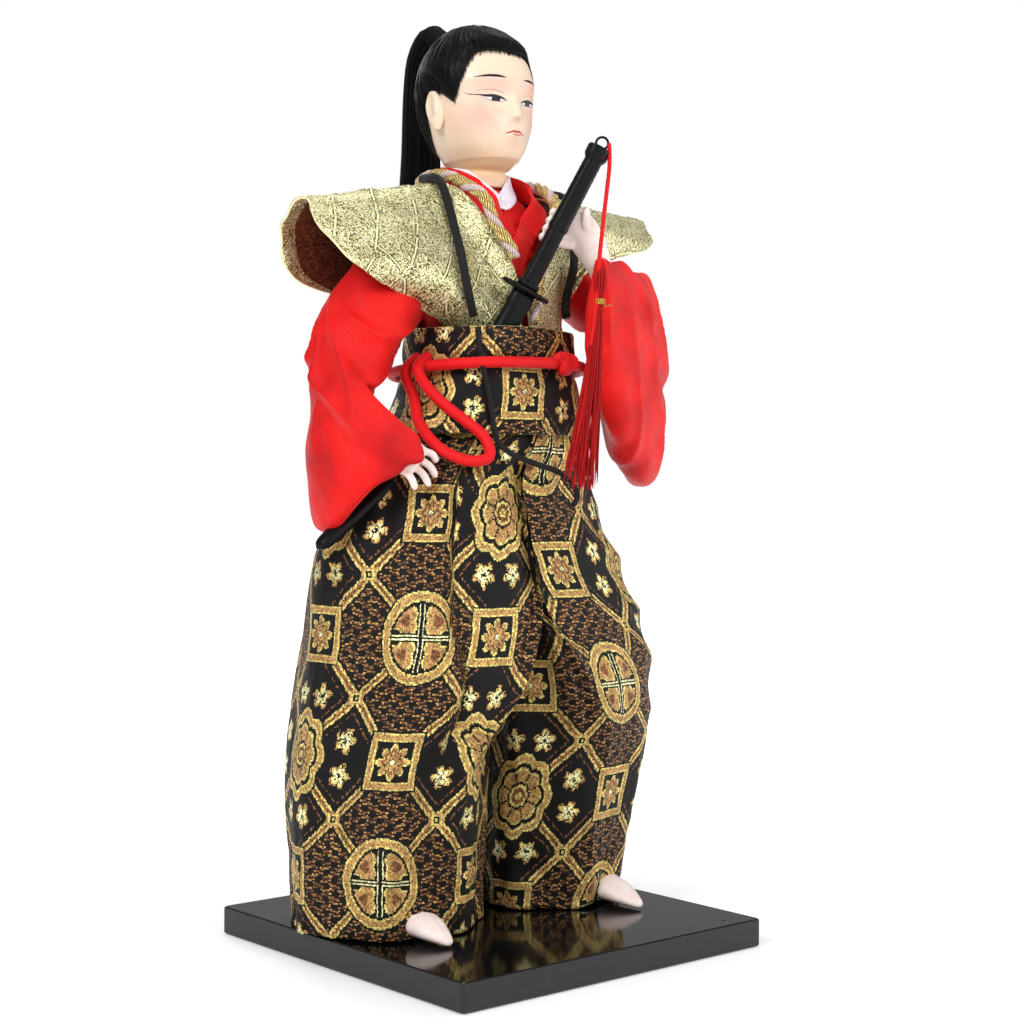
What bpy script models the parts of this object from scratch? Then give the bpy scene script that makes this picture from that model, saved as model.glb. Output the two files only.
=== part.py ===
"""Display doll of a samurai on a square plate, one named object for each physical piece."""
import math

import bmesh
import bpy
from mathutils import Vector

# Driving dimensions, in metres. The doll faces -Y, its left hand is on +X, +Z is up.
figure_height = 0.289
base_side = 0.125
base_thickness = 0.009
base_corner_radius = 0.0012
base_pin_diameter = 0.0012
seat_gap = 0.0003
leg_post_diameter = 0.005
leg_post_depth = 0.006
foot_width = 0.0145
foot_height = 0.011
neck_diameter = 0.0186
neck_peg_diameter = 0.006
head_width = 0.0336
nose_height = 0.0026
hair_thickness = 0.0022
hair_tie_radius = 0.0046
ponytail_width = 0.0150
collar_thickness = 0.0008
inner_collar_width = 0.0060
red_collar_width = 0.0080
vest_thickness = 0.0010
rope_diameter = 0.0042
rope_pitch = 0.0125
shoulder_cord_diameter = 0.0022
sash_thickness = 0.0016
belt_cord_diameter = 0.0030
knot_width = 0.0085
pleat_depth = 0.0011
finger_diameter = 0.0026
palm_thickness = 0.0056
hilt_width = 0.0062
hilt_depth = 0.0052
guard_length = 0.0172
guard_thickness = 0.0012
scabbard_width = 0.0078
scabbard_depth = 0.0054
ring_diameter = 0.0046
ring_wire = 0.0008
tassel_cord_diameter = 0.0014
tassel_fringe_width = 0.0072
tassel_band_diameter = 0.0034

scale = figure_height / 289
girth = scale * 1000
collar_lift = seat_gap + collar_thickness / 2
upper_lift = collar_lift + collar_thickness + seat_gap
vest_lift = upper_lift + collar_thickness * 1.5 + seat_gap + vest_thickness / 2
rope_lift = vest_lift + vest_thickness / 2 + seat_gap * 1.6 + rope_diameter / 2
strap_lift = vest_lift + vest_thickness / 2 + seat_gap * 2 + shoulder_cord_diameter / 2


def at(x, y, z):
    """Return a point of the figure, given in millimetres over the plate's underside."""
    return Vector((x * scale, y * scale, base_thickness + (z - 9) * scale))


for old in list(bpy.data.objects):
    bpy.data.objects.remove(old, do_unlink=True)


# Materials

def paint(name, colour, roughness=0.6, metallic=0.0):
    """Return a plain Principled material."""
    material = bpy.data.materials.new(name)
    material.use_nodes = True
    shader = material.node_tree.nodes["Principled BSDF"]
    shader.inputs["Base Color"].default_value = (*colour, 1)
    shader.inputs["Roughness"].default_value = roughness
    shader.inputs["Metallic"].default_value = metallic
    return material


lacquer = paint("black_lacquer", (0.015, 0.015, 0.017), 0.18)
satin_black = paint("satin_black", (0.02, 0.02, 0.022), 0.42)
black_cord = paint("black_cord", (0.018, 0.018, 0.02), 0.8)
timber = paint("plain_timber", (0.62, 0.45, 0.27), 0.7)
straw = paint("bound_straw", (0.66, 0.55, 0.33), 0.9)
skin = paint("ivory_skin", (0.93, 0.84, 0.74), 0.45)
porcelain = paint("pale_hand", (0.93, 0.86, 0.83), 0.4)
white_cloth = paint("white_cloth", (0.9, 0.88, 0.9), 0.8)
red_cloth = paint("red_cloth", (0.80, 0.015, 0.012), 0.75)
red_cord = paint("red_cord", (0.72, 0.01, 0.015), 0.6)
gold_cloth = paint("gold_lame", (0.62, 0.56, 0.30), 0.45, 0.3)
gold_rope = paint("gold_rope", (0.80, 0.60, 0.22), 0.4, 0.4)
gold_wire = paint("gold_wire", (0.85, 0.62, 0.2), 0.3, 0.9)
brocade = paint("black_brocade", (0.13, 0.09, 0.05), 0.6, 0.2)
brocade_dark = paint("black_brocade_sash", (0.10, 0.07, 0.04), 0.6, 0.2)
hair = paint("black_hair", (0.012, 0.011, 0.012), 0.5)


# Mesh building

def solid(name, vertices, faces, material, smooth=True):
    """Make a closed mesh object from points and faces, with outward normals."""
    mesh = bpy.data.meshes.new(name)
    mesh.from_pydata([tuple(v) for v in vertices], [], faces)
    work = bmesh.new()
    work.from_mesh(mesh)
    bmesh.ops.remove_doubles(work, verts=work.verts, dist=1e-6)
    bmesh.ops.recalc_face_normals(work, faces=work.faces)
    bmesh.ops.triangulate(work, faces=work.faces)
    for face in work.faces:
        face.smooth = smooth
    work.to_mesh(mesh)
    work.free()
    mesh.materials.append(material)
    thing = bpy.data.objects.new(name, mesh)
    bpy.context.collection.objects.link(thing)
    return thing


def loft(name, rings, material, smooth=True):
    """Skin a row of rings with equal counts and close both ends with a fan."""
    count = len(rings[0])
    vertices = [point for ring in rings for point in ring]
    faces = []
    for row in range(len(rings) - 1):
        for i in range(count):
            j = (i + 1) % count
            low, high = row * count, (row + 1) * count
            faces.append((low + i, low + j, high + j, high + i))
    for row, end in ((0, rings[0]), (len(rings) - 1, rings[-1])):
        middle = sum((Vector(p) for p in end), Vector()) / count
        vertices.append(middle)
        for i in range(count):
            j = (i + 1) % count
            faces.append((len(vertices) - 1, row * count + i, row * count + j))
    return solid(name, vertices, faces, material, smooth)


def loop(name, rings, material, smooth=True):
    """Skin a closed circuit of rings, as for a hoop."""
    count, total = len(rings[0]), len(rings)
    vertices = [point for ring in rings for point in ring]
    faces = []
    for row in range(total):
        for i in range(count):
            j = (i + 1) % count
            low, high = row * count, ((row + 1) % total) * count
            faces.append((low + i, low + j, high + j, high + i))
    return solid(name, vertices, faces, material, smooth)


def combine(thing, others, operation):
    """Apply one exact boolean with each other object, which is then removed."""
    for other in others:
        change = thing.modifiers.new(operation.lower(), "BOOLEAN")
        change.operation = operation
        change.solver = "EXACT"
        change.object = other
        graph = bpy.context.evaluated_depsgraph_get()
        result = bpy.data.meshes.new_from_object(thing.evaluated_get(graph))
        thing.modifiers.clear()
        thing.data = result
        bpy.data.objects.remove(other, do_unlink=True)
    work = bmesh.new()
    work.from_mesh(thing.data)
    bmesh.ops.remove_doubles(work, verts=work.verts, dist=4e-5)
    bmesh.ops.dissolve_degenerate(work, edges=work.edges, dist=2e-5)
    bmesh.ops.triangulate(work, faces=work.faces)
    for face in work.faces:
        face.smooth = True
    work.to_mesh(thing.data)
    work.free()
    return thing


def cut(thing, *others):
    """Take the other objects out of this one."""
    return combine(thing, others, "DIFFERENCE")


def join(thing, *others):
    """Fuse the other objects into this one."""
    return combine(thing, others, "UNION")


def largest(thing):
    """Keep only the biggest connected piece of an object."""
    work = bmesh.new()
    work.from_mesh(thing.data)
    left = set(work.verts)
    pieces = []
    while left:
        seed = left.pop()
        piece, edge = {seed}, [seed]
        while edge:
            for link in edge.pop().link_edges:
                for vertex in link.verts:
                    if vertex in left:
                        left.discard(vertex)
                        piece.add(vertex)
                        edge.append(vertex)
        pieces.append(piece)
    pieces.sort(key=len)
    spare = [vertex for piece in pieces[:-1] for vertex in piece]
    bmesh.ops.delete(work, geom=spare, context="VERTS")
    work.to_mesh(thing.data)
    work.free()
    return thing


def curve_between(stations, amount):
    """Return one Catmull-Rom sample, amount from 0 to 1, of a row of equal vectors or rows."""
    spans = len(stations) - 1
    place = min(max(amount, 0.0), 1.0) * spans
    i = min(int(place), spans - 1)
    f = place - i
    quad = [stations[max(i - 1, 0)], stations[i], stations[i + 1], stations[min(i + 2, spans)]]
    weights = (
        -0.5 * f + f * f - 0.5 * f ** 3,
        1 - 2.5 * f * f + 1.5 * f ** 3,
        0.5 * f + 2 * f * f - 1.5 * f ** 3,
        -0.5 * f * f + 0.5 * f ** 3,
    )
    return [sum(w * row[k] for w, row in zip(weights, quad)) for k in range(len(quad[0]))]


def smooth_path(points, count):
    """Return count points spread along the curve through the given points."""
    return [Vector(curve_between(points, i / (count - 1))) for i in range(count)]


def row_at(rows, height):
    """Read a table of rows that starts with a height, in millimetres, at one height."""
    rows = sorted(rows)
    if height <= rows[0][0]:
        return rows[0][1:]
    for i in range(len(rows) - 1):
        if height <= rows[i + 1][0]:
            f = (height - rows[i][0]) / (rows[i + 1][0] - rows[i][0])
            return curve_between(rows, (i + f) / (len(rows) - 1))[1:]
    return rows[-1][1:]


def frames(points, guide):
    """Return tangent, side and outward vectors along a path; guide gives the outward hint."""
    result = []
    for i, point in enumerate(points):
        before, after = points[max(i - 1, 0)], points[min(i + 1, len(points) - 1)]
        tangent = (after - before).normalized()
        hint = guide(point)
        outward = (hint - tangent * hint.dot(tangent)).normalized()
        result.append((tangent, tangent.cross(outward), outward))
    return result


def oval(centre, across, along, count, turn=0.0):
    """Return a ring of points on an ellipse with the given half-axis vectors."""
    return [
        centre + across * math.cos(turn + 2 * math.pi * i / count)
        + along * math.sin(turn + 2 * math.pi * i / count)
        for i in range(count)
    ]


def bar(name, start, end, radius, material, count=16):
    """Make a round bar between two points."""
    tangent = (end - start).normalized()
    across = tangent.cross(Vector((0.2, 1, 0.1))).normalized()
    along = tangent.cross(across)
    rings = [oval(p, across * radius, along * radius, count) for p in (start, end)]
    return loft(name, rings, material)


def cord(name, points, diameter, material):
    """Make a round cord as a filled curve along the points."""
    data = bpy.data.curves.new(name, "CURVE")
    data.dimensions = "3D"
    data.bevel_depth = diameter / 2
    data.bevel_resolution = 2
    data.use_fill_caps = True
    data.resolution_u = 1
    spline = data.splines.new("POLY")
    spline.points.add(len(points) - 1)
    for slot, point in zip(spline.points, points):
        slot.co = (*point, 1)
    data.materials.append(material)
    thing = bpy.data.objects.new(name, data)
    bpy.context.collection.objects.link(thing)
    return thing


def radial(point):
    """Return the level direction out from the figure's upright axis."""
    return Vector((point.x, point.y - at(0, 6, 0).y, 0)).normalized()


# Body sections: height, centre x, centre y, half width, half depth, all in millimetres

torso_rows = [
    (178, 1, 3, 21.6, 18.5),
    (200, 0.5, 4, 22.0, 18.4),
    (215, 0, 5, 26, 17.9),
    (226, 0, 5.5, 27.0, 16.4),
    (234, 0, 6, 24.5, 14.4),
    (240, 0, 6.8, 17.0, 12.6),
    (244.4, 0, 8, 11.6, 11.0),
]
sash_rows = [
    (164.8, -1.2, 4, 36.5, 30.5),
    (170, 0, 4, 34.5, 29),
    (178, 1, 3.5, 32, 27.5),
    (190, 1, 3.2, 30, 26),
    (198.5, 1, 3, 29.0, 25.2),
]
skirt_rows = [
    (60, 0, 8, 63, 45),
    (94, 0, 7.5, 62, 45.5),
    (110, -2, 7, 60, 43),
    (126, -4, 6.5, 55.5, 39.5),
    (138, -5, 6, 48.5, 36),
    (150, -5, 5.5, 44, 32.5),
    (160, -3, 4.5, 39.5, 30.8),
    (164.4, -1.4, 4, 34.6, 28.6),
    (178, 1, 3.5, 29.6, 25.2),
]
right_leg_rows = [
    (9.4, -34, 11, 31, 29),
    (40, -34, 11, 32.0, 31.5),
    (70, -33.2, 10, 31.8, 36),
    (94, -31, 8, 32, 41),
    (120, -28, 7, 31, 40),
]
left_leg_rows = [
    (9.4, 31.5, 9, 26.5, 25),
    (40, 32.5, 9, 29.2, 28.5),
    (70, 33.5, 8, 31.5, 34),
    (94, 32, 7, 32.5, 40),
    (120, 28, 7, 31, 40),
]


def torso_front(x, z, lift):
    """Return the point on the front of the torso at x and z (mm), lifted off by a length."""
    cx, cy, a, b = row_at(torso_rows, z)
    share = max(0.02, 1 - ((x - cx) / (a + lift / scale)) ** 2)
    return at(x, cy - (b + lift / scale) * math.sqrt(share), z)


# Sword line: hilt straight, scabbard a drooping curve under the sash

hilt_top = at(9.5, -40, 254.8)
guard_point = at(-7.4, -24.2, 210.0)
scabbard_tip = at(-67.5, 3, 129.2)
hilt_direction = (guard_point - hilt_top).normalized()
scabbard_bend = guard_point + hilt_direction * (scabbard_tip - guard_point).length * 0.505


def scabbard_line(t):
    """Return the centre of the scabbard, t from 0 at the guard to 1 at the tip."""
    return (guard_point * (1 - t) ** 2 + scabbard_bend * 2 * t * (1 - t)
            + scabbard_tip * t * t)


def scabbard_at_height(z):
    """Return the centre of the scabbard at a height in metres."""
    low, high = 0.0, 1.0
    for step in range(30):
        middle = (low + high) / 2
        if scabbard_line(middle).z > z:
            low = middle
        else:
            high = middle
    return scabbard_line((low + high) / 2)


def scabbard_part(name, grow, material):
    """Make the scabbard, or the cutter for its channel when grow is more than zero."""
    mouth = (guard_thickness / 2 + seat_gap) / (scabbard_tip - guard_point).length
    stations = [mouth + (1 - mouth) * i / 13 for i in range(14)]
    points = [scabbard_line(t) for t in stations]
    rings = []
    for i, (tangent, side, outward) in enumerate(frames(points, radial)):
        t = i / 13
        size = 1 - 0.28 * t
        if i == 13:
            size = 0.30
        wide = scabbard_width / 2 * size + grow
        deep = scabbard_depth / 2 * size + grow
        shift = tangent * (grow * (1 if i == 13 else -3 if i == 0 else 0))
        rings.append(oval(points[i] + shift, side * wide, outward * deep, 12))
    return loft(name, rings, material)


def sash_surface(z, angle, lift):
    """Return the sash's outer face at a height (mm) and angle, lifted out by a length."""
    cx, cy, a, b = row_at(sash_rows, z)
    centre = at(cx, cy, z)
    plain = scale / math.sqrt((math.cos(angle) / a) ** 2 + (math.sin(angle) / b) ** 2)
    sword = scabbard_at_height(centre.z) - centre
    bearing = math.atan2(sword.y, sword.x)
    need = sword.xy.length + scabbard_depth / 2 + seat_gap * 2 + sash_thickness
    base = scale / math.sqrt((math.cos(bearing) / a) ** 2 + (math.sin(bearing) / b) ** 2)
    away = (angle - bearing + math.pi) % (2 * math.pi) - math.pi
    bump = max(0.0, need - base) * math.exp(-(away / 0.42) ** 2)
    reach = plain + bump + lift
    return centre + Vector((math.cos(angle), math.sin(angle), 0)) * reach


def make_base():
    """Make the square plate with rounded uprights, post holes and two pin dimples."""
    half, r = base_side / 2, base_corner_radius
    outline = []
    for quarter, (sx, sy) in enumerate(((1, 1), (-1, 1), (-1, -1), (1, -1))):
        for step in range(4):
            angle = math.pi / 2 * (quarter + step / 3)
            outline.append((sx * (half - r) + r * math.cos(angle),
                            sy * (half - r) + r * math.sin(angle)))
    edge = r * 0.4
    rings = []
    for z, inset in ((0, edge), (edge, 0), (base_thickness - edge, 0), (base_thickness, edge)):
        factor = (half - inset) / half
        rings.append([Vector((x * factor, y * factor, z)) for x, y in outline])
    plate = loft("base_plate", rings, lacquer, smooth=False)
    pins = []
    for sx, sy in ((-1, 1), (1, -1)):
        x, y = sx * (half - base_side * 0.093), sy * (half - base_side * 0.044)
        pins.append(bar("pin", Vector((x, y, base_thickness - 0.0006)),
                        Vector((x, y, base_thickness + 0.002)), base_pin_diameter / 2, lacquer, 8))
    cut(plate, leg_post("a", -1, seat_gap), leg_post("b", 1, seat_gap), *pins)
    for face in plate.data.polygons:
        face.use_smooth = False
    return plate


def leg_post(name, side, grow, material=timber):
    """Make one slanted leg post, or its cutter."""
    foot = at(side * 39, 3, 9)
    top = at(side * 9, 6, 117)
    direction = (top - foot).normalized()
    start = foot - direction * (leg_post_depth + grow)
    end = top + direction * grow
    return bar(name, start, end, leg_post_diameter / 2 + grow, material)


def foot(name, side, grow, material=porcelain):
    """Make one split-toe sock foot, or its cutter."""
    rings = []
    stations = [(17.5, 0.36, 0.50), (12, 0.80, 0.90), (-4, 0.94, 1.0),
                (-19, 1.0, 0.76), (-27, 0.86, 0.60), (-30.6, 0.55, 0.42)]
    for y, wide, high in stations:
        half_width = foot_width / 2 * wide + grow
        half_height = foot_height / 2 * high + grow
        centre = at(side * 40.5, y, 9) + Vector((0, 0, seat_gap + foot_height / 2 * high))
        end = grow * (1 if y > 17 else -1 if y < -30 else 0)
        rings.append(oval(centre + Vector((0, end, 0)), Vector((half_width, 0, 0)),
                          Vector((0, 0, half_height)), 12))
    return loft(name, rings, material)


def core(name, grow, material=straw):
    """Make the bound straw body with its neck peg, or its cutter."""
    rows = [(100, 0, 6, 17, 13), (130, 0, 6, 17, 13), (175, 0, 5, 14, 11.5),
            (215, 0, 6, 15, 11), (228, 0, 7, 12, 9)]
    rings = []
    for i, (z, cx, cy, a, b) in enumerate(rows):
        lift = grow * (-1 if i == 0 else 1 if i == len(rows) - 1 else 0)
        rings.append(oval(at(cx, cy, z) + Vector((0, 0, lift)),
                          Vector((a * scale + grow, 0, 0)), Vector((0, b * scale + grow, 0)), 14))
    body = loft(name, rings, material)
    peg = bar("peg", at(0, 8, 222), at(0, 8, 262) + Vector((0, 0, grow)),
              neck_peg_diameter / 2 + grow, material, 14)
    return join(body, peg)


def scalp_rows():
    """Return the head's sections: height, half width, front and back, in millimetres."""
    neck = neck_diameter / 2 / scale
    wide = head_width / 2 / scale
    return [
        (245.8, neck, 8 - neck, 8 + neck),
        (250, neck * 1.02, 7.4 - neck, 8.4 + neck),
        (252.2, wide * 0.60, -4.6, 18.6),
        (253.2, wide * 0.68, -8.0, 19.4),
        (256, wide * 0.78, -10.4, 21),
        (260.5, wide * 0.87, -11.0, 24),
        (265, wide * 0.93, -10.8, 26),
        (270, wide * 0.975, -10.0, 27.6),
        (274, wide * 0.99, -10.2, 28.4),
        (279, wide, -11.0, 28.6),
        (284, wide * 0.95, -10.2, 27.8),
        (288, wide * 0.86, -7.9, 25.8),
        (291.5, wide * 0.71, -4.2, 22.6),
        (294.2, wide * 0.51, 0.2, 18.8),
        (295.9, wide * 0.27, 4.2, 14.0),
    ]


def head_point(z, angle, lift=0.0):
    """Return a point of the bare head at a height (mm) and angle, lifted out by a length."""
    half, front, back = row_at(scalp_rows(), z)
    x, y = math.cos(angle), math.sin(angle)
    squareness = 0.92 if z > 254 else 1.0
    px = math.copysign(abs(x) ** squareness, x) * half
    middle = 8
    reach = (back - middle) if y > 0 else (middle - front)
    py = middle + math.copysign(abs(y) ** squareness, y) * reach
    if y < 0 and z > 250:
        bump = nose_height / scale * math.exp(-(px / 1.9) ** 2) * nose_profile(z)
        bump += 0.8 * math.exp(-(px / 3.6) ** 2 - ((z - 261.4) / 1.9) ** 2)
        bump += 0.7 * math.exp(-(px / 5.0) ** 2 - ((z - 254.8) / 2.6) ** 2)
        bump -= 0.9 * math.exp(-((abs(px) - 6.6) / 4.2) ** 2 - ((z - 271.6) / 2.8) ** 2)
        py -= bump
    point = at(px, py, z)
    outward = Vector((px, py - middle, (z - 272) * (0.9 if z > 279 else 0.25))).normalized()
    return point + outward * lift


def nose_profile(z):
    """Return the nose's share of its full height at a height in millimetres."""
    if z < 266.3:
        return math.exp(-((z - 266.3) / 1.5) ** 2)
    return math.exp(-((z - 266.3) / 6.4) ** 2)


def bare_head(name, grow):
    """Make the head and neck without ears, or the cutter that clears the hair from it."""
    levels = [245.8, 251.2, 253.2, 255, 257.5, 260, 261.6, 263.4, 265, 266.4, 268, 270.4,
              273, 276, 279.5, 283.5, 287.5, 291, 294, 295.9]
    rings = []
    for z in levels:
        angles = [2 * math.pi * i / 26 for i in range(26)]
        rings.append([head_point(z, -math.pi / 2 + a + 0.2 * math.sin(2 * a), grow) for a in angles])
    return loft(name, rings, skin)


def ear(side, grow):
    """Make one ear, or the cutter that clears the hair from it."""
    rings = []
    for i in range(5):
        f = i / 4
        size = math.sin(math.pi * (0.14 + 0.72 * f))
        centre = at(side * (head_width / 2 / scale + 0.2), 10.2 + 1.8 * f, 264.6 + 11.6 * f)
        end = Vector((0, 0, grow * (-1 if i == 0 else 1 if i == 4 else 0)))
        rings.append(oval(centre + end, Vector((side * (0.0017 * size + grow), 0.0009 * size, 0)),
                          Vector((0, 0.0030 * size * (0.75 + 0.4 * f) + grow, 0)), 8))
    return loft("ear", rings, skin)


def make_head():
    """Make the head and neck in one, with ears, and the socket of the neck peg."""
    head = bare_head("head", 0)
    join(head, ear(-1, 0), ear(1, 0))
    peg = bar("peg_hole", at(0, 8, 240), at(0, 8, 262) + Vector((0, 0, seat_gap * 2)),
              neck_peg_diameter / 2 + seat_gap, skin, 14)
    return cut(head, peg)


def hairline(angle):
    """Return the height of the hair's lower edge (mm) at an angle round the head."""
    from_front = abs((angle + math.pi / 2 + math.pi) % (2 * math.pi) - math.pi)
    marks = [(0.0, 287.4), (0.45, 287.2), (0.8, 285.2), (1.02, 279.0), (1.17, 271.6),
             (1.32, 274.5), (1.48, 278.2), (1.75, 277.8), (2.0, 266.0), (2.4, 259.5), (3.2, 257.8)]
    for (a, low), (b, high) in zip(marks, marks[1:]):
        if from_front <= b:
            f = (from_front - a) / (b - a)
            return low + (high - low) * f
    return marks[-1][1]


def make_hair_cap():
    """Make the swept-back hair as one shell that sits on the bare head."""
    columns, rows = 26, 6
    vertices, faces = [], []
    for lift in (-0.0012, hair_thickness):
        for i in range(columns):
            angle = 2 * math.pi * i / columns
            low = hairline(angle)
            for j in range(rows):
                z = low + (295.6 - low) * (j / rows) ** 0.8
                grow = lift
                if lift > 0:
                    edge = seat_gap + 0.0006
                    grow = edge + (lift - edge) * min(1.0, 2.5 * j / rows)
                vertices.append(head_point(z, angle, grow))
    shell = columns * rows
    crown = at(0, 8.6, 296.0)
    vertices += [crown - Vector((0, 0, 0.0012)), crown + Vector((0, 0, hair_thickness))]
    for layer in (0, 1):
        for i in range(columns):
            k = (i + 1) % columns
            a, b = layer * shell + i * rows, layer * shell + k * rows
            for j in range(rows - 1):
                faces.append((a + j, b + j, b + j + 1, a + j + 1))
            faces.append((a + rows - 1, b + rows - 1, 2 * shell + layer))
    for i in range(columns):
        k = (i + 1) % columns
        faces.append((i * rows, k * rows, shell + k * rows, shell + i * rows))
    return cut(solid("hair_cap", vertices, faces, hair), bare_head("clear", seat_gap),
               ear(-1, seat_gap), ear(1, seat_gap))


tie_bottom = at(0, 24.6, 291.4)
tie_top = at(0, 27.6, 296.4)


def hair_hoop(name, grow):
    """Make the bound hoop that gathers the hair, or its cutter."""
    axis = (tie_top - tie_bottom).normalized()
    across = Vector((1, 0, 0))
    along = axis.cross(across)
    rings = []
    for f, size in ((0.0, 0.86), (0.18, 1.0), (0.82, 1.0), (1.0, 0.86)):
        centre = tie_bottom.lerp(tie_top, f)
        reach = hair_tie_radius * size + grow
        end = axis * grow * (-1 if f == 0 else 1 if f == 1 else 0)
        rings.append(oval(centre + end, across * reach, along * reach, 16))
    return loft(name, rings, black_cord)


def grown_cap():
    """Return a plain solid of the hair cap's outer face, a seat gap bigger."""
    rings = []
    for z in (268, 276, 282, 287, 291, 294, 295.6):
        rings.append([head_point(z, 2 * math.pi * i / 36, hair_thickness + seat_gap)
                      for i in range(36)])
    return loft("cap_cutter", rings, hair)


def make_ponytail():
    """Make the thick tail of hair that stands up from the tie and falls behind the back."""
    axis = (tie_top - tie_bottom).normalized()
    start = tie_top + axis * seat_gap
    wide = ponytail_width / 2 * girth
    knots = [start, at(0, 32.4, 299.6), at(0, 37.4, 293), at(0, 38.8, 280), at(0, 38.8, 262),
             at(0, 39.0, 246), at(0, 38.6, 228), at(0, 38.0, 212)]
    sizes = [(0.52, 0.50), (0.66, 0.56), (0.80, 0.64), (0.86, 0.70), (0.92, 0.74), (1.0, 0.78),
             (0.88, 0.62), (0.30, 0.22)]
    count = 14
    points = smooth_path(knots, count)
    rings = []
    for i, (tangent, side, outward) in enumerate(frames(points, lambda p: Vector((1, 0, 0)))):
        across, deep = curve_between(sizes, i / (count - 1))
        ring = []
        for k in range(12):
            angle = 2 * math.pi * k / 12
            lock = 1 + 0.05 * math.cos(5 * angle + 0.25 * i)
            ring.append(points[i] + outward * wide * across * lock * math.cos(angle)
                        + side * wide * deep * lock * math.sin(angle))
        rings.append(ring)
    return cut(loft("ponytail", rings, hair), hair_hoop("tie_cutter", seat_gap))


def torso(name, grow, material=red_cloth):
    """Make the red robe's body, or its cutter."""
    levels = [178.6, 190, 202, 214, 224, 231, 236, 240, 244.4]
    rings = []
    for i, z in enumerate(levels):
        cx, cy, a, b = row_at(torso_rows, z)
        lift = grow * (-1 if i == 0 else 1 if i == len(levels) - 1 else 0)
        rings.append(oval(at(cx, cy, z) + Vector((0, 0, lift)),
                          Vector((a * scale + grow, 0, 0)), Vector((0, b * scale + grow, 0)), 22))
    return loft(name, rings, material)


def strip(name, points, normals, width, thickness, material, closed=False):
    """Make a flat band along points that lies square to the given normals."""
    rings = []
    total = len(points)
    for i in range(total):
        if closed:
            tangent = (points[(i + 1) % total] - points[i - 1]).normalized()
        else:
            tangent = (points[min(i + 1, total - 1)] - points[max(i - 1, 0)]).normalized()
        normal = (normals[i] - tangent * normals[i].dot(tangent)).normalized()
        across = tangent.cross(normal)
        w, n = across * width / 2, normal * thickness / 2
        rings.append([points[i] + w + n, points[i] - w + n, points[i] - w - n, points[i] + w - n])
    return (loop if closed else loft)(name, rings, material)


def make_inner_collar():
    """Make the white under-collar, a hoop that dips to a point in front."""
    neck = neck_diameter / 2 / scale
    knots = []
    for angle, reach, z in ((-90, 18.4, 239.6), (-62, 15.0, 242.8), (-30, 11.8, 246.4),
                            (10, 10.7, 248.2), (50, 10.6, 248.6), (90, 10.7, 248.6)):
        knots.append((angle, reach - 9.3 + neck, z))
    path, normals = [], []
    count = 26
    for i in range(count):
        turn = 360 * i / count
        angle = -90 + turn if turn <= 180 else -90 + (360 - turn)
        for (a, r0, z0), (b, r1, z1) in zip(knots, knots[1:]):
            if a <= angle <= b:
                f = (angle - a) / (b - a)
                reach, z = r0 + (r1 - r0) * f, z0 + (z1 - z0) * f
        sign = 1 if turn <= 180 else -1
        x, y = sign * reach * math.cos(math.radians(angle)), 8 + reach * math.sin(math.radians(angle))
        path.append(at(x, y, z))
        front = max(0.0, -math.sin(math.radians(angle)))
        normals.append(Vector((x, y - 8, 0)).normalized() + Vector((0, 0, 0.10 + 0.75 * front ** 2)))
    band = strip("inner_collar", path, normals, inner_collar_width, collar_thickness,
                 white_cloth, closed=True)
    return cut(band, torso("clear", seat_gap), bare_head("clear", seat_gap))


def make_red_collar():
    """Make the red collar, one band round the neck whose left end crosses over the right."""
    neck = neck_diameter / 2 / scale - 9.3
    upper = [(-11.0, -9.6, 239.0), (-13.3, -2.4, 244.2), (-13.2, 8.0, 247.6), (-10.0, 16.6, 249.0),
             (0, 20.9, 249.4)]
    upper = [(x * (1 + neck / 14), 8 + (y - 8) * (1 + neck / 14), z) for x, y, z in upper]
    right = [torso_front(x, z, collar_lift + 0.0002) for x, z in ((3.2, 221), (-1, 226.4), (-6, 232.4))]
    left = [torso_front(x, z, upper_lift + 0.0002) for x, z in ((6, 232.4), (1, 226.4), (-2.6, 221.2),
                                                            (-4.6, 216.5))]
    knots = right + [at(*p) for p in upper]
    knots += [at(-x, y, z) for x, y, z in reversed(upper[:-1])] + left
    path = smooth_path(knots, 46)
    normals = []
    for point in path:
        height = (point.z - base_thickness) / scale + 9
        tilt = 0.75 if 231 < height < 243 else 0.25
        normals.append(Vector((point.x, point.y - at(0, 8, 0).y, 0)).normalized()
                       + Vector((0, 0, tilt * (1.0 if height > 228 else 0.0))))
    band = strip("red_collar", path, normals, red_collar_width, collar_thickness, red_cloth)
    return cut(band, torso("clear", seat_gap * 0.8))


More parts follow.
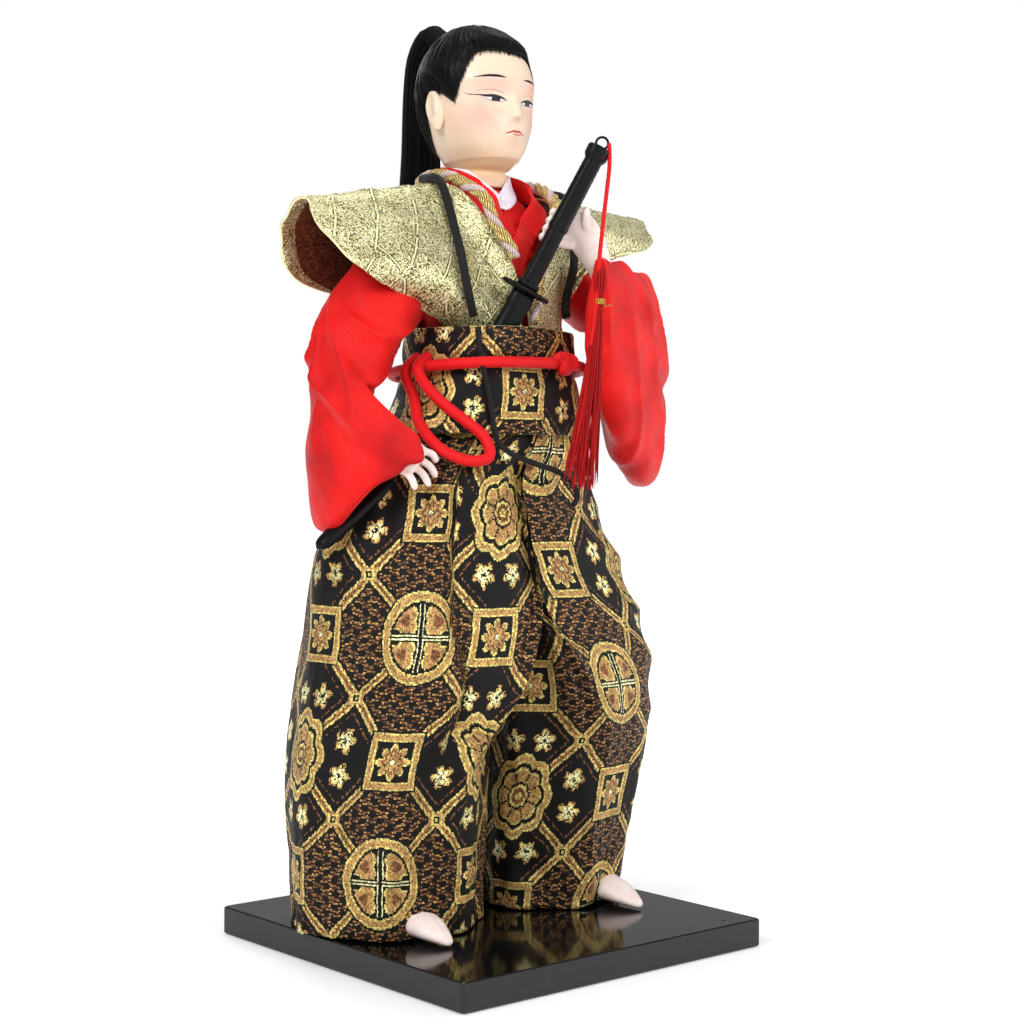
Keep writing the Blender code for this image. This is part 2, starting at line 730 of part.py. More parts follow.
def vest_knots(side):
    """Return the control net of one half of the vest: rows front to back, inner edge to wing."""
    rise = 6.5 if side > 0 else 0.0
    reach = 72 if side > 0 else 71
    inner = -0.5 if side > 0 else 3.6
    rows = []
    for z, stations in ((192.5, (inner + 0.4, 9, 16.5)), (200.5, (inner, 10.5, 18)),
                        (213, (inner + 0.3, 13.5, 23))):
        rows.append([torso_front(side * x, z, vest_lift) for x in stations])
    rows[0].append(at(side * 23.2, -2, 192.5))
    rows[1].append(at(side * 24.6, -2.5, 200.5))
    if side > 0:
        rows[2].append(at(30.5, -13.6, 221))
        rows.append([torso_front(8.6, 226, vest_lift), torso_front(20, 227.5, vest_lift),
                     at(38, -12, 232), at(65, -6, 231)])
    else:
        rows[2][2] = at(-38, -16, 214.5)
        rows[2].append(at(-62, -11, 214))
        rows.append([torso_front(-8.6, 226, vest_lift), torso_front(-20, 227.5, vest_lift),
                     at(-44, -8, 229), at(-70, 0, 227.5)])
    rows.append([at(side * 18.0, -7.4, 240.6), at(side * 27, -4.5, 241.0),
                 at(side * 48, -1, 238.5 + rise * 0.5), at(side * reach, 3, 234 + rise)])
    rows.append([at(side * 18.4, 4, 244.6), at(side * 28.5, 5.5, 243.4),
                 at(side * 48, 7, 239.6 + rise * 0.5), at(side * reach, 8, 236 + rise)])
    rows.append([at(side * 15.8, 15.5, 245.2), at(side * 27, 15.5, 242.0),
                 at(side * 47, 16, 237.5 + rise * 0.5), at(side * (reach - 1), 16, 232 + rise)])
    rows.append([at(0, 27.4, 243.8), at(side * 22, 25.4, 236.5),
                 at(side * 44, 23.8, 231.5 + rise * 0.5), at(side * (reach - 3), 22.5, 226 + rise)])
    rows.append([at(0, 28.4, 226), at(side * 20, 27.6, 222),
                 at(side * 39, 26.4, 219 + rise * 0.5), at(side * (reach - 9), 25, 214 + rise)])
    rows.append([at(0, 27.2, 209), at(side * 15, 26.0, 208), at(side * 27, 24.6, 208),
                 at(side * 42, 24, 208)])
    rows.append([at(0, 25.2, 200.5), at(side * 12, 22.8, 200.5), at(side * 18.8, 18.0, 200.5),
                 at(side * 23.6, 12.5, 200.5)])
    rows.append([at(0, 25.2, 192.5), at(side * 10, 23.4, 192.5), at(side * 16.4, 19.6, 192.5),
                 at(side * 21.4, 14.0, 192.5)])
    return rows


def sheet_point(rows, p, f):
    """Return a point of the vest's middle surface, p from neck to wing, f from front to back."""
    stations = [curve_between([row[k] for row in rows], f) for k in range(4)]
    point = Vector(curve_between(stations, p))
    if p == 0 and f >= 6.98 / 11:
        point.x = 0
    return point


def on_vest(rows, p, f, lift):
    """Return a point lifted off the vest's outer side."""
    point = sheet_point(rows, p, f)
    run = sheet_point(rows, p, f + 0.01) - sheet_point(rows, p, f - 0.01)
    out = run.cross(sheet_point(rows, p + 0.02, f) - sheet_point(rows, p - 0.02, f)).normalized()
    if out.dot(radial(point) + Vector((0, 0, 0.4))) < 0:
        out = -out
    return point + out * lift


def winged_vest(name, grow):
    """Make the stiff winged vest as one sheet with a thickness, or its cutter."""
    across, along = 6, 28
    vertices, faces = [], []
    for side in (-1, 1):
        rows = vest_knots(side)
        start = len(vertices)
        for j in range(along):
            for i in range(across):
                vertices.append(sheet_point(rows, i / (across - 1), j / (along - 1)))
        for j in range(along - 1):
            for i in range(across - 1):
                a = start + j * across + i
                quad = (a, a + 1, a + across + 1, a + across)
                faces.append(quad if side > 0 else tuple(reversed(quad)))
    mesh = bpy.data.meshes.new(name)
    mesh.from_pydata([tuple(v) for v in vertices], [], faces)
    work = bmesh.new()
    work.from_mesh(mesh)
    bmesh.ops.remove_doubles(work, verts=work.verts, dist=1e-5)
    for face in work.faces:
        face.smooth = True
    work.to_mesh(mesh)
    work.free()
    mesh.materials.append(gold_cloth)
    vest = bpy.data.objects.new(name, mesh)
    bpy.context.collection.objects.link(vest)
    thick = vest.modifiers.new("cloth", "SOLIDIFY")
    thick.thickness = vest_thickness + 2 * grow
    thick.offset = 0
    thick.use_even_offset = True
    graph = bpy.context.evaluated_depsgraph_get()
    result = bpy.data.meshes.new_from_object(vest.evaluated_get(graph))
    vest.modifiers.clear()
    vest.data = result
    work = bmesh.new()
    work.from_mesh(result)
    bmesh.ops.triangulate(work, faces=work.faces)
    bmesh.ops.recalc_face_normals(work, faces=work.faces)
    work.to_mesh(result)
    work.free()
    return vest


def twisted_rope(name, knots, taper, spin):
    """Make a rope of three strands wound round each other along the knots."""
    length = sum((b - a).length for a, b in zip(knots, knots[1:]))
    count = int(length / 0.0027) + 2
    points = smooth_path(knots, count)
    walked = 0.0
    rings = []
    for i, (tangent, side, outward) in enumerate(frames(points, radial)):
        if i:
            walked += (points[i] - points[i - 1]).length
        size = rope_diameter / 2 * (1 + (taper - 1) * i / (count - 1))
        if i in (0, count - 1):
            size *= 0.7
        phase = spin * 2 * math.pi * walked / rope_pitch
        ring = []
        for k in range(9):
            angle = 2 * math.pi * k / 9 + phase
            reach = size * (0.86 + 0.14 * math.cos(3 * (angle - phase)))
            ring.append(points[i] + side * reach * math.cos(angle) + outward * reach * math.sin(angle))
        rings.append(ring)
    return loft(name, rings, gold_rope)


def make_ropes():
    """Make the rope trims that edge the vest's neck opening."""
    def shoulder(side):
        return [at(side * 4.5, 27.6, 247.2), at(side * 13.0, 22.0, 247.9), at(side * 17.6, 12, 248.6),
                at(side * 18.8, 2, 247.8), at(side * 18.2, -6.4, 244.4), at(side * 15.4, -13.4, 239.4)]
    right = shoulder(-1) + [torso_front(x, z, rope_lift) for x, z in ((-12, 231.5), (-8.6, 225.5),
                                                                     (-6.6, 220.8))]
    left = shoulder(1) + [torso_front(x, z, rope_lift) for x, z in ((11.5, 231.5), (7, 224),
                                                                   (3.2, 216.5), (0.4, 208.5),
                                                                   (-0.6, 200.5))]
    return twisted_rope("rope_right", right, 0.86, 1), twisted_rope("rope_left", left, 0.80, -1)


def make_shoulder_cords():
    """Make the black cords that run over the vest's shoulders into the sash."""
    made = []
    for side, name in ((-1, "shoulder_cord_right"), (1, "shoulder_cord_left")):
        rows = vest_knots(side)
        points = []
        for i in range(14):
            f = 0.50 - 0.385 * i / 13
            p = 0.13 + 0.46 * (i / 13) ** 1.15
            points.append(on_vest(rows, p, f, strap_lift - vest_lift))
        made.append(cord(name, points, shoulder_cord_diameter, black_cord))
    return made


def make_sash():
    """Make the wide waist sash, a hoop that bulges over the scabbard."""
    levels = [164.8, 172, 186, 198.5]
    count = 32
    rings = []
    for k in range(count):
        angle = 2 * math.pi * k / count
        outer = [sash_surface(z, angle, 0) for z in levels]
        inner = [sash_surface(z, angle, -sash_thickness) for z in reversed(levels)]
        rings.append(outer + inner)
    sash = loop("waist_sash", rings, brocade_dark)
    return cut(sash, scabbard_part("channel", seat_gap, satin_black))


def skirt(name, grow, material=brocade):
    """Make the wide divided skirt as one closed soft solid, or its cutter."""
    halves = []
    count = 20
    levels = [9.0 + seat_gap / scale, 26, 46, 64, 80, 96, 112, 126, 140, 152, 162.8, 164.4, 178]
    for side, rows in ((-1, right_leg_rows), (1, left_leg_rows)):
        rings = []
        for i, z in enumerate(levels):
            cx, cy, a, b = row_at(skirt_rows, z)
            lx, ly, la, lb = row_at(rows, z)
            split = min(1.0, max(0.0, (122 - z) / 62))
            split = split * split * (3 - 2 * split)
            depth = pleat_depth / scale * min(1.0, max(0.0, (150 - z) / 60))
            lift = grow * (-1 if i == 0 else 1 if i == len(levels) - 1 else 0)
            ring = []
            for k in range(count):
                angle = 2 * math.pi * k / count
                c, s = math.cos(angle), math.sin(angle)
                whole_x = cx + side * max(c * a, -0.8)
                valley = 0.09 * max(0.0, 1 - abs(c) * 4) * min(1.0, max(0.0, (163 - z) / 8))
                whole_y = cy + b * s * (1 - valley)
                leg_x, leg_y = lx + side * la * c, ly + lb * s
                fold = depth * math.cos(7 * angle)
                x = whole_x * (1 - split) + leg_x * split + side * c * fold
                y = whole_y * (1 - split) + leg_y * split + s * fold
                ring.append(at(x, y, z) + Vector((side * c * grow, s * grow, lift)))
            rings.append(ring)
        halves.append(loft(name, rings, material))
    return join(halves[0], halves[1])


def sleeve(name, side, grow, material=red_cloth):
    """Make one hanging robe sleeve: the upper arm fused with the bag below the forearm."""
    if side < 0:
        arm = [(-26, 6, 221, 11.5, 11.5), (-39, 6, 210, 14, 14.5), (-51, 6, 196, 14, 17),
               (-58, 6, 182, 11, 16), (-61, 7, 172, 7, 9)]
        bag = [(22, -60, 190, 156, 3.5), (18, -62.5, 196, 142, 6), (10, -65, 198, 134.5, 7.6),
               (1, -66, 192, 134.5, 7.6), (-7, -64, 184, 141, 7.2), (-13, -59, 176, 147.5, 6.8),
               (-17, -53, 170.5, 151, 6.2)]
        path = [at(cx, y, (top + low) / 2) for y, cx, top, low, thick in bag]
    else:
        arm = [(26, 6, 225, 11.5, 11), (39, 5, 219, 13.5, 13), (52, 1, 211, 13, 14),
               (58, -4, 203, 10, 12), (60, -6, 196, 6, 8)]
        bag = [(3.0, 68.0, 212, 172, 3.5), (-2.5, 65.5, 218, 154, 6.5), (-9, 59.5, 222, 148, 8.5),
               (-16, 50, 222, 150, 9.0), (-22.5, 39, 221, 158, 8.6), (-28.5, 28.5, 222, 165, 7.4),
               (-31.5, 21, 223, 176, 6.4), (-32.8, 15.5, 222.5, 190, 5.4)]
        path = [at(cx, y, (top + low) / 2) for y, cx, top, low, thick in bag]
    arm_points = [at(x, y, z) for x, y, z, wide, deep in arm]
    rings = []
    for i, (tangent, across, outward) in enumerate(frames(arm_points, lambda p: Vector((0, -1, 0)))):
        wide = arm[i][3] * scale + grow
        deep = arm[i][4] * scale + grow
        rings.append(oval(arm_points[i], across * wide, outward * deep, 14))
    upper = loft(name, rings, material)
    rings = []
    for i, (y, cx, top, low, thick) in enumerate(bag):
        before, after = path[max(i - 1, 0)], path[min(i + 1, len(path) - 1)]
        heading = Vector((after.x - before.x, after.y - before.y, 0)).normalized()
        across = Vector((-heading.y, heading.x, 0))
        end = heading * grow * (-1 if i == 0 else 1 if i == len(bag) - 1 else 0)
        ring = []
        for k in range(16):
            angle = 2 * math.pi * k / 16
            c, s = math.cos(angle), math.sin(angle)
            tall = (top - low) / 2 * scale + grow
            flat = (thick * (1 - 0.25 * s)) * scale + grow
            ring.append(path[i] + end + across * math.copysign(abs(c) ** 0.8, c) * flat
                        + Vector((0, 0, math.copysign(abs(s) ** 0.8, s) * tall)))
        rings.append(ring)
    return join(upper, loft("bag", rings, material))


def finger(knots, radius, material):
    """Make one finger as a tapering round solid through its knots."""
    count = 5
    points = smooth_path(knots, count)
    rings = []
    for i, (tangent, side, outward) in enumerate(frames(points, lambda p: Vector((0.3, -1, 0.4)))):
        size = radius * (1.0 - 0.12 * i / (count - 1))
        if i == count - 1:
            size *= 0.55
        rings.append(oval(points[i], side * size, outward * size, 8))
    return loft("finger", rings, material)


def palm(stations, thickness_hint, grow=0.0):
    """Make the palm and wrist as a flattened round solid through stations."""
    points = [at(*station[:3]) for station in stations]
    rings = []
    for i, (tangent, side, outward) in enumerate(frames(points, lambda p: thickness_hint)):
        wide = stations[i][3] * scale + grow
        thick = palm_thickness / 2 * stations[i][4] + grow
        end = tangent * grow * (-1 if i == 0 else 1 if i == len(points) - 1 else 0)
        rings.append(oval(points[i] + end, side * wide, outward * thick, 12))
    return loft("palm", rings, porcelain)


def right_hand(name, grow):
    """Make the right hand laid on the scabbard with its four fingers together."""
    hint = Vector((-0.35, -0.75, 0.5))
    hand = palm([(-60.5, -4, 170, 3.2, 1.0), (-57.5, -8, 166, 3.6, 1.0), (-52, -13, 161, 5.4, 1.05),
                 (-46.6, -16.4, 156.4, 6.2, 0.95), (-44.6, -17.4, 154.6, 5.0, 0.6)], hint, grow)
    roots = [(-50.4, -16.4, 153.6), (-47.2, -16.9, 155.0), (-44.2, -17.0, 156.8), (-41.6, -16.6, 159.2)]
    tips = [(-47.6, -20.4, 147.2), (-42.4, -20.6, 148.2), (-39.2, -19.8, 151.0), (-38.0, -18.4, 155.6)]
    for (rx, ry, rz), (tx, ty, tz) in zip(roots, tips):
        knots = [at(rx - 1.8, ry + 1.4, rz + 2.0), at(rx, ry, rz),
                 at((rx + tx) / 2 + 0.3, (ry + ty) / 2 - 0.9, (rz + tz) / 2 + 0.6), at(tx, ty, tz)]
        join(hand, finger(knots, finger_diameter / 2 * girth + grow, porcelain))
    hand.name = name
    return hand


def left_hand(name, grow):
    """Make the left hand closed round the hilt from behind."""
    hint = Vector((0.45, 0.45, 0.75))
    hand = palm([(25.5, -26.5, 211, 3.4, 1.05), (21, -28.5, 218, 4.0, 1.1), (15.4, -29, 225.6, 5.6, 1.15),
                 (9.8, -29, 231.4, 6.2, 1.0), (6.6, -28.8, 234.2, 4.6, 0.7)], hint, grow)
    hand.name = name
    for step in range(4):
        lift = 2.55 * step
        base = [at(10.6 - 0.5 * step, -27.0 - 0.9 * step, 225.4 + lift),
                at(6.0 + 0.1 * step, -23.6 - 0.9 * step, 226.2 + lift),
                at(0.4 + 0.5 * step, -24.0 - 0.9 * step, 227.0 + lift),
                at(-3.4 + 0.9 * step, -27.6 - 0.9 * step, 227.2 + lift),
                at(-3.4 + 0.9 * step, -31.0 - 0.9 * step, 227.4 + lift)]
        join(hand, finger(base, finger_diameter / 2 * girth + grow, porcelain))
    thumb = [at(14.5, -29.5, 227.5), at(9.6, -33.4, 231.5), at(7.6, -36.2, 236.2)]
    join(hand, finger(thumb, finger_diameter / 2 * 1.1 * girth + grow, porcelain))
    return hand


def hilt(name, grow, material=satin_black):
    """Make the grip with its flared end cap and mid collar, or its cutter."""
    start = guard_point - hilt_direction * (guard_thickness / 2 + seat_gap)
    length = (start - hilt_top).length
    stations = [(0.0, 1.16), (0.03, 1.16), (0.06, 0.98), (0.40, 0.96), (0.44, 1.04), (0.46, 1.06),
                (0.90, 1.04), (0.93, 1.30), (0.985, 1.34), (1.0, 1.10)]
    points = [start - hilt_direction * length * f for f, size in stations]
    rings = []
    for i, (tangent, side, outward) in enumerate(frames(points, radial)):
        size = stations[i][1]
        end = hilt_direction * grow * (1 if i == 0 else -1 if i == len(points) - 1 else 0)
        rings.append(oval(points[i] + end, side * (hilt_width / 2 * size + grow),
                          outward * (hilt_depth / 2 * size + grow), 12))
    return loft(name, rings, material)


def make_guard():
    """Make the oval guard plate between the hilt and the scabbard."""
    (tangent, side, outward), = frames([guard_point, guard_point + hilt_direction], radial)[:1]
    rings = []
    for f, size in ((-1, 0.94), (-0.6, 1.0), (0.6, 1.0), (1, 0.94)):
        centre = guard_point + hilt_direction * guard_thickness / 2 * f
        rings.append(oval(centre, side * guard_length / 2 * size,
                          outward * guard_length * 0.31 * size, 24))
    return loft("sword_guard", rings, satin_black)


ring_centre = hilt_top - hilt_direction * ring_diameter * 0.24 + Vector((0, 0, 0.0002))


def hoop(name, centre, across, along, radius, wire, material, count=16, sides=6):
    """Make a round wire hoop in the plane of two unit vectors."""
    normal = across.cross(along)
    rings = []
    for i in range(count):
        angle = 2 * math.pi * i / count
        out = across * math.cos(angle) + along * math.sin(angle)
        rings.append(oval(centre + out * radius, out * wire, normal * wire, sides))
    return loop(name, rings, material)


def pommel_hoop(name, grow):
    """Make the wire ring through the end cap, or its cutter."""
    across = Vector((0.755, -0.656, 0)).normalized()
    along = -hilt_direction
    along = (along - across * along.dot(across)).normalized()
    return hoop(name, ring_centre, across, along, (ring_diameter - ring_wire) / 2,
                ring_wire / 2 + grow, satin_black)


def make_tassel():
    """Make the hanging cord, its wire-bound head and the fringe below."""
    across = Vector((0.755, -0.656, 0)).normalized()
    hang = ring_centre + across * (ring_diameter / 2 + tassel_cord_diameter / 2 + seat_gap * 0.6)
    drop = [(0.0, 0.4), (0.5, 2.6), (0.9, 8), (0.4, 16), (-0.2, 24), (-0.6, 31), (-0.9, 36.6)]
    knots = [hang + Vector((x * scale, 0, 0.0003 - z * scale)) for x, z in drop]
    cord("tassel_cord", smooth_path(knots, 14), tassel_cord_diameter, red_cord)
    top = knots[-1] - Vector((0, 0, seat_gap))
    head_length, band_length, fringe_length = 0.0095, 0.0022, 0.060
    rings = []
    for f, size in ((0, 0.35), (0.10, 0.42), (0.4, 0.60), (0.75, 0.55), (1.0, 0.40)):
        centre = top - Vector((0.0004 * f, 0, head_length * f))
        rings.append(oval(centre, Vector((tassel_fringe_width / 2 * size, 0, 0)),
                          Vector((0, tassel_fringe_width / 2 * size * 0.8, 0)), 14))
    neck = top - Vector((0.0004, 0, head_length))
    for f, size in ((0.05, 0.36), (0.20, 0.36), (0.30, 0.52), (0.6, 0.86), (0.96, 1.0), (1.0, 0.9)):
        centre = neck + Vector((-0.0078 * f ** 1.2, 0, -(band_length + fringe_length) * f * 0.98))
        if f < 0.25:
            centre = neck - Vector((0, 0, band_length * (f - 0.05) / 0.15))
        rings.append(oval(centre, Vector((tassel_fringe_width / 2 * size, 0, 0)),
                          Vector((0, tassel_fringe_width / 2 * size * 0.62, 0)), 14))
    loft("tassel_fringe", rings, red_cord)
    neck_radius = tassel_fringe_width / 2 * 0.42
    middle = neck - Vector((0, 0, band_length * 0.5))
    wire = (tassel_band_diameter / 2 - neck_radius) / 2
    wire = max(wire, 0.00022)
    hoop("tassel_binding", middle, Vector((1, 0, 0)), Vector((0, 1, 0)),
         neck_radius + seat_gap + wire, wire, gold_wire, 14, 6)


knot_angle = math.atan2(-27.5, 7)
knot_centre = sash_surface(187.6, knot_angle, knot_width * 0.34 + seat_gap)


def make_belt():
    """Make the cord round the sash, its knot and the loop that hangs from it."""
    lift = belt_cord_diameter / 2 + seat_gap * 1.6
    turn = (knot_width / 2 + seat_gap + belt_cord_diameter * 0.1) / (knot_centre.xy.length)
    points = []
    for i in range(36):
        f = i / 35
        angle = knot_angle + turn + (2 * math.pi - 2 * turn) * f
        height = 187.6 - 3.6 * math.sin(math.pi * f) ** 2
        points.append(sash_surface(height, angle, lift))
    cord("belt_cord", points, belt_cord_diameter, red_cord)
    outward = Vector((math.cos(knot_angle), math.sin(knot_angle), 0))
    across = Vector((-outward.y, outward.x, 0))
    rings = []
    for f, size in ((-1, 0.62), (-0.72, 0.92), (-0.25, 0.94), (0, 0.80), (0.25, 0.94), (0.72, 0.92),
                    (1, 0.62)):
        rings.append(oval(knot_centre + across * knot_width / 2 * f,
                          outward * knot_width * 0.32 * size,
                          Vector((0, 0, knot_width * 0.38 * size)), 14))
    loft("belt_knot", rings, red_cord)
    depth = belt_cord_diameter * 1.5 + seat_gap * 2
    knots = []
    for degrees, z, more in ((-178, 189.5, 0), (-175, 184, 0), (-169, 176, 0), (-160, 168, 0),
                             (-149, 160.6, 0.0022), (-137, 156.4, 0.0046), (-127, 157.4, 0.0050),
                             (-129, 163.6, 0.0020), (-140, 169.0, 0), (-151, 174.0, 0),
                             (-161, 180.0, 0), (-167, 185.4, 0), (-168, 189.5, 0)):
        z_held = max(z, 165.0)
        point = sash_surface(z_held, math.radians(degrees), 0)
        reach = depth if z > 181 else max(lift, depth * (z - 172) / 9 if z > 172 else lift)
        out = Vector((math.cos(math.radians(degrees)), math.sin(math.radians(degrees)), 0))
        knots.append(point + out * (reach + more) + Vector((0, 0, (z - z_held) * scale)))
    cord("belt_loop", smooth_path(knots, 32), belt_cord_diameter, red_cord)


# The pieces, from the plate up

make_base()
leg_post("leg_post_right", -1, 0)
leg_post("leg_post_left", 1, 0)
for side, name in ((-1, "foot_right"), (1, "foot_left")):
    cut(foot(name, side, 0), leg_post("hole", side, seat_gap))
cut(core("body_core", 0), leg_post("a", -1, seat_gap), leg_post("b", 1, seat_gap))
make_head()
make_hair_cap()
cut(hair_hoop("hair_tie", 0), grown_cap())
make_ponytail()
cut(torso("kimono_body", 0), core("core_hole", seat_gap))
make_inner_collar()
make_red_collar()
cut(winged_vest("vest", 0), scabbard_part("channel", seat_gap, satin_black))
make_ropes()
make_shoulder_cords()
make_sash()
cut(skirt("hakama", 0), core("core_hole", seat_gap), leg_post("a", -1, seat_gap),
    leg_post("b", 1, seat_gap), foot("c", -1, seat_gap), foot("d", 1, seat_gap),
    scabbard_part("channel", seat_gap, satin_black))
cut(right_hand("right_hand", 0), scabbard_part("channel", seat_gap, satin_black),
    skirt("skirt_cutter", seat_gap))
cut(left_hand("left_hand", 0), hilt("hilt_cutter", seat_gap))
cut(hilt("sword_hilt", 0), pommel_hoop("ring_hole", seat_gap * 0.8))
make_guard()
scabbard_part("scabbard", 0, satin_black)
pommel_hoop("pommel_ring", 0)
make_tassel()
make_belt()
largest(cut(sleeve("right_sleeve", -1, 0), torso("clear", seat_gap), right_hand("clear", seat_gap),
            scabbard_part("channel", seat_gap, satin_black), skirt("clear", seat_gap),
            winged_vest("clear", seat_gap)))
largest(cut(sleeve("left_sleeve", 1, 0), torso("clear", seat_gap), left_hand("clear", seat_gap),
            winged_vest("clear", seat_gap)))
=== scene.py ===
"""Dress of the samurai display doll: the cloth, cords, strands and painted lines over its solids."""
import logging
import math
import random
from collections.abc import Callable, Sequence
from dataclasses import dataclass
from enum import Enum

import bmesh
import bpy
from mathutils import Matrix, Vector, noise


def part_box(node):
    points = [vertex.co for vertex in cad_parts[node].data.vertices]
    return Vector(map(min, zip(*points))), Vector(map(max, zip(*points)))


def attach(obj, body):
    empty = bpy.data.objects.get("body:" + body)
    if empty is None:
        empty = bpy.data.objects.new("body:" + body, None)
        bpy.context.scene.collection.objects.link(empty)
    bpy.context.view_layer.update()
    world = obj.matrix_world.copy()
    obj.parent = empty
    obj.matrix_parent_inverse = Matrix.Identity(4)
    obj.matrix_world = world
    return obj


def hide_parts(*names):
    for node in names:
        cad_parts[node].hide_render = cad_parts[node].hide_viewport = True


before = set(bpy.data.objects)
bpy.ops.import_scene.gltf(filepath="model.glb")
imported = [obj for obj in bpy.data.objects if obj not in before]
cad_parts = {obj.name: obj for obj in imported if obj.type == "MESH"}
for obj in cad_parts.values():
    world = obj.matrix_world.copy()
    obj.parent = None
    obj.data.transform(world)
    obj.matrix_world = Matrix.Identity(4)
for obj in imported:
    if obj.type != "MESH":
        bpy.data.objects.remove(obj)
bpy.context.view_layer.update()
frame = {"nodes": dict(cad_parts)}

log = logging.getLogger("samurai_doll")
Section = tuple[float, ...]
Point = tuple[float, float, float]

PLATE_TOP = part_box("base_plate")[1].z
FIGURE_RISE = 0.2945
PLATE_HEIGHT = 9
SCALE = (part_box("ponytail")[1].z - PLATE_TOP) / FIGURE_RISE
SEAT_GAP = 0.0003
FIGURE_AXIS_Y = 6.0
MM = 0.001
CREASE_WIDE, CREASE_TALL = 13.5, 19.0
TO_THE_RIGHT = (0.755, -0.656, 0.0)


# Places and curves

def at(x: float, y: float, z: float) -> Vector:
    """Return a point of the figure from millimetres over the plate's underside."""
    return Vector((x * SCALE * MM, y * SCALE * MM, PLATE_TOP + (z - PLATE_HEIGHT) * SCALE * MM))


def height_of(point: Vector) -> float:
    """Return a point's height over the plate's underside in millimetres of the figure."""
    return (point.z - PLATE_TOP) / MM / SCALE + PLATE_HEIGHT


def blend_rows(stations: Sequence[Sequence[float]], amount: float) -> list[float]:
    """Sample a row of equal vectors along a Catmull-Rom curve.

    Args:
        stations: The vectors that the curve passes through.
        amount: The place along them, from 0 to 1.

    Returns:
        The vector at that place.
    """
    spans = len(stations) - 1
    place = min(max(amount, 0.0), 1.0) * spans
    i = min(int(place), spans - 1)
    f = place - i
    quad = (stations[max(i - 1, 0)], stations[i], stations[i + 1], stations[min(i + 2, spans)])
    weights = (-0.5 * f + f * f - 0.5 * f ** 3, 1 - 2.5 * f * f + 1.5 * f ** 3,
               0.5 * f + 2 * f * f - 1.5 * f ** 3, -0.5 * f * f + 0.5 * f ** 3)
    return [sum(w * row[k] for w, row in zip(weights, quad)) for k in range(len(quad[0]))]


def smooth_path(points: Sequence[Sequence[float]], count: int) -> list[Vector]:
    """Return count points along the curve through the given points."""
    return [Vector(blend_rows(points, i / (count - 1))) for i in range(count)]


def even_path(points: Sequence[Sequence[float]], step: float) -> list[Vector]:
    """Return points a fixed step apart along the curve through the given points.

    Args:
        points: The knots.
        step: The distance in metres.

    Returns:
        The points, three or more.
    """
    fine = smooth_path(points, len(points) * 24)
    walked = [0.0]
    for a, b in zip(fine, fine[1:]):
        walked.append(walked[-1] + (b - a).length)
    count = max(3, round(walked[-1] / step) + 1)
    result, k = [], 0
    for i in range(count):
        target = walked[-1] * i / (count - 1)
        while k < len(fine) - 2 and walked[k + 1] < target:
            k += 1
        span = max(walked[k + 1] - walked[k], 1e-9)
        result.append(fine[k].lerp(fine[k + 1], (target - walked[k]) / span))
    return result


def path_length(path: Sequence[Vector]) -> float:
    """Return the length of a path in metres."""
    return sum((b - a).length for a, b in zip(path, path[1:]))


def section_at(rows: Sequence[Section], height: float) -> list[float]:
    """Read a table of sections, each led by its height, at one height.

    Args:
        rows: The sections.
        height: The height to read.

    Returns:
        The section without its height.
    """
    rows = sorted(rows)
    if height <= rows[0][0]:
        return list(rows[0][1:])
    for i in range(len(rows) - 1):
        if height <= rows[i + 1][0]:
            f = (height - rows[i][0]) / (rows[i + 1][0] - rows[i][0])
            return blend_rows(rows, (i + f) / (len(rows) - 1))[1:]
    return list(rows[-1][1:])


def outward(point: Vector) -> Vector:
    """Return the level direction out from the figure's upright axis."""
    return Vector((point.x, point.y - at(0, FIGURE_AXIS_Y, 0).y, 0)).normalized()


def path_frames(points: Sequence[Vector],
                guide: Callable[[Vector], Vector]) -> list[tuple[Vector, Vector, Vector]]:
    """Return tangent, side and outward vectors along a path.

    Args:
        points: The path.
        guide: Gives the wanted outward direction at a point.

    Returns:
        Three unit vectors for each point.
    """
    made = []
    for i in range(len(points)):
        tangent = (points[min(i + 1, len(points) - 1)] - points[max(i - 1, 0)]).normalized()
        hint = guide(points[i])
        out = (hint - tangent * hint.dot(tangent)).normalized()
        made.append((tangent, tangent.cross(out), out))
    return made


def ease(value: float) -> float:
    """Return a smooth step of a value held between 0 and 1."""
    t = min(1.0, max(0.0, value))
    return t * t * (3 - 2 * t)


def ripple(x: float, y: float, z: float, size: float) -> float:
    """Return smooth noise from about -1 to 1 with features of a size in the inputs' unit."""
    return noise.noise(Vector((x / size, y / size, z / size)))


# Mesh making

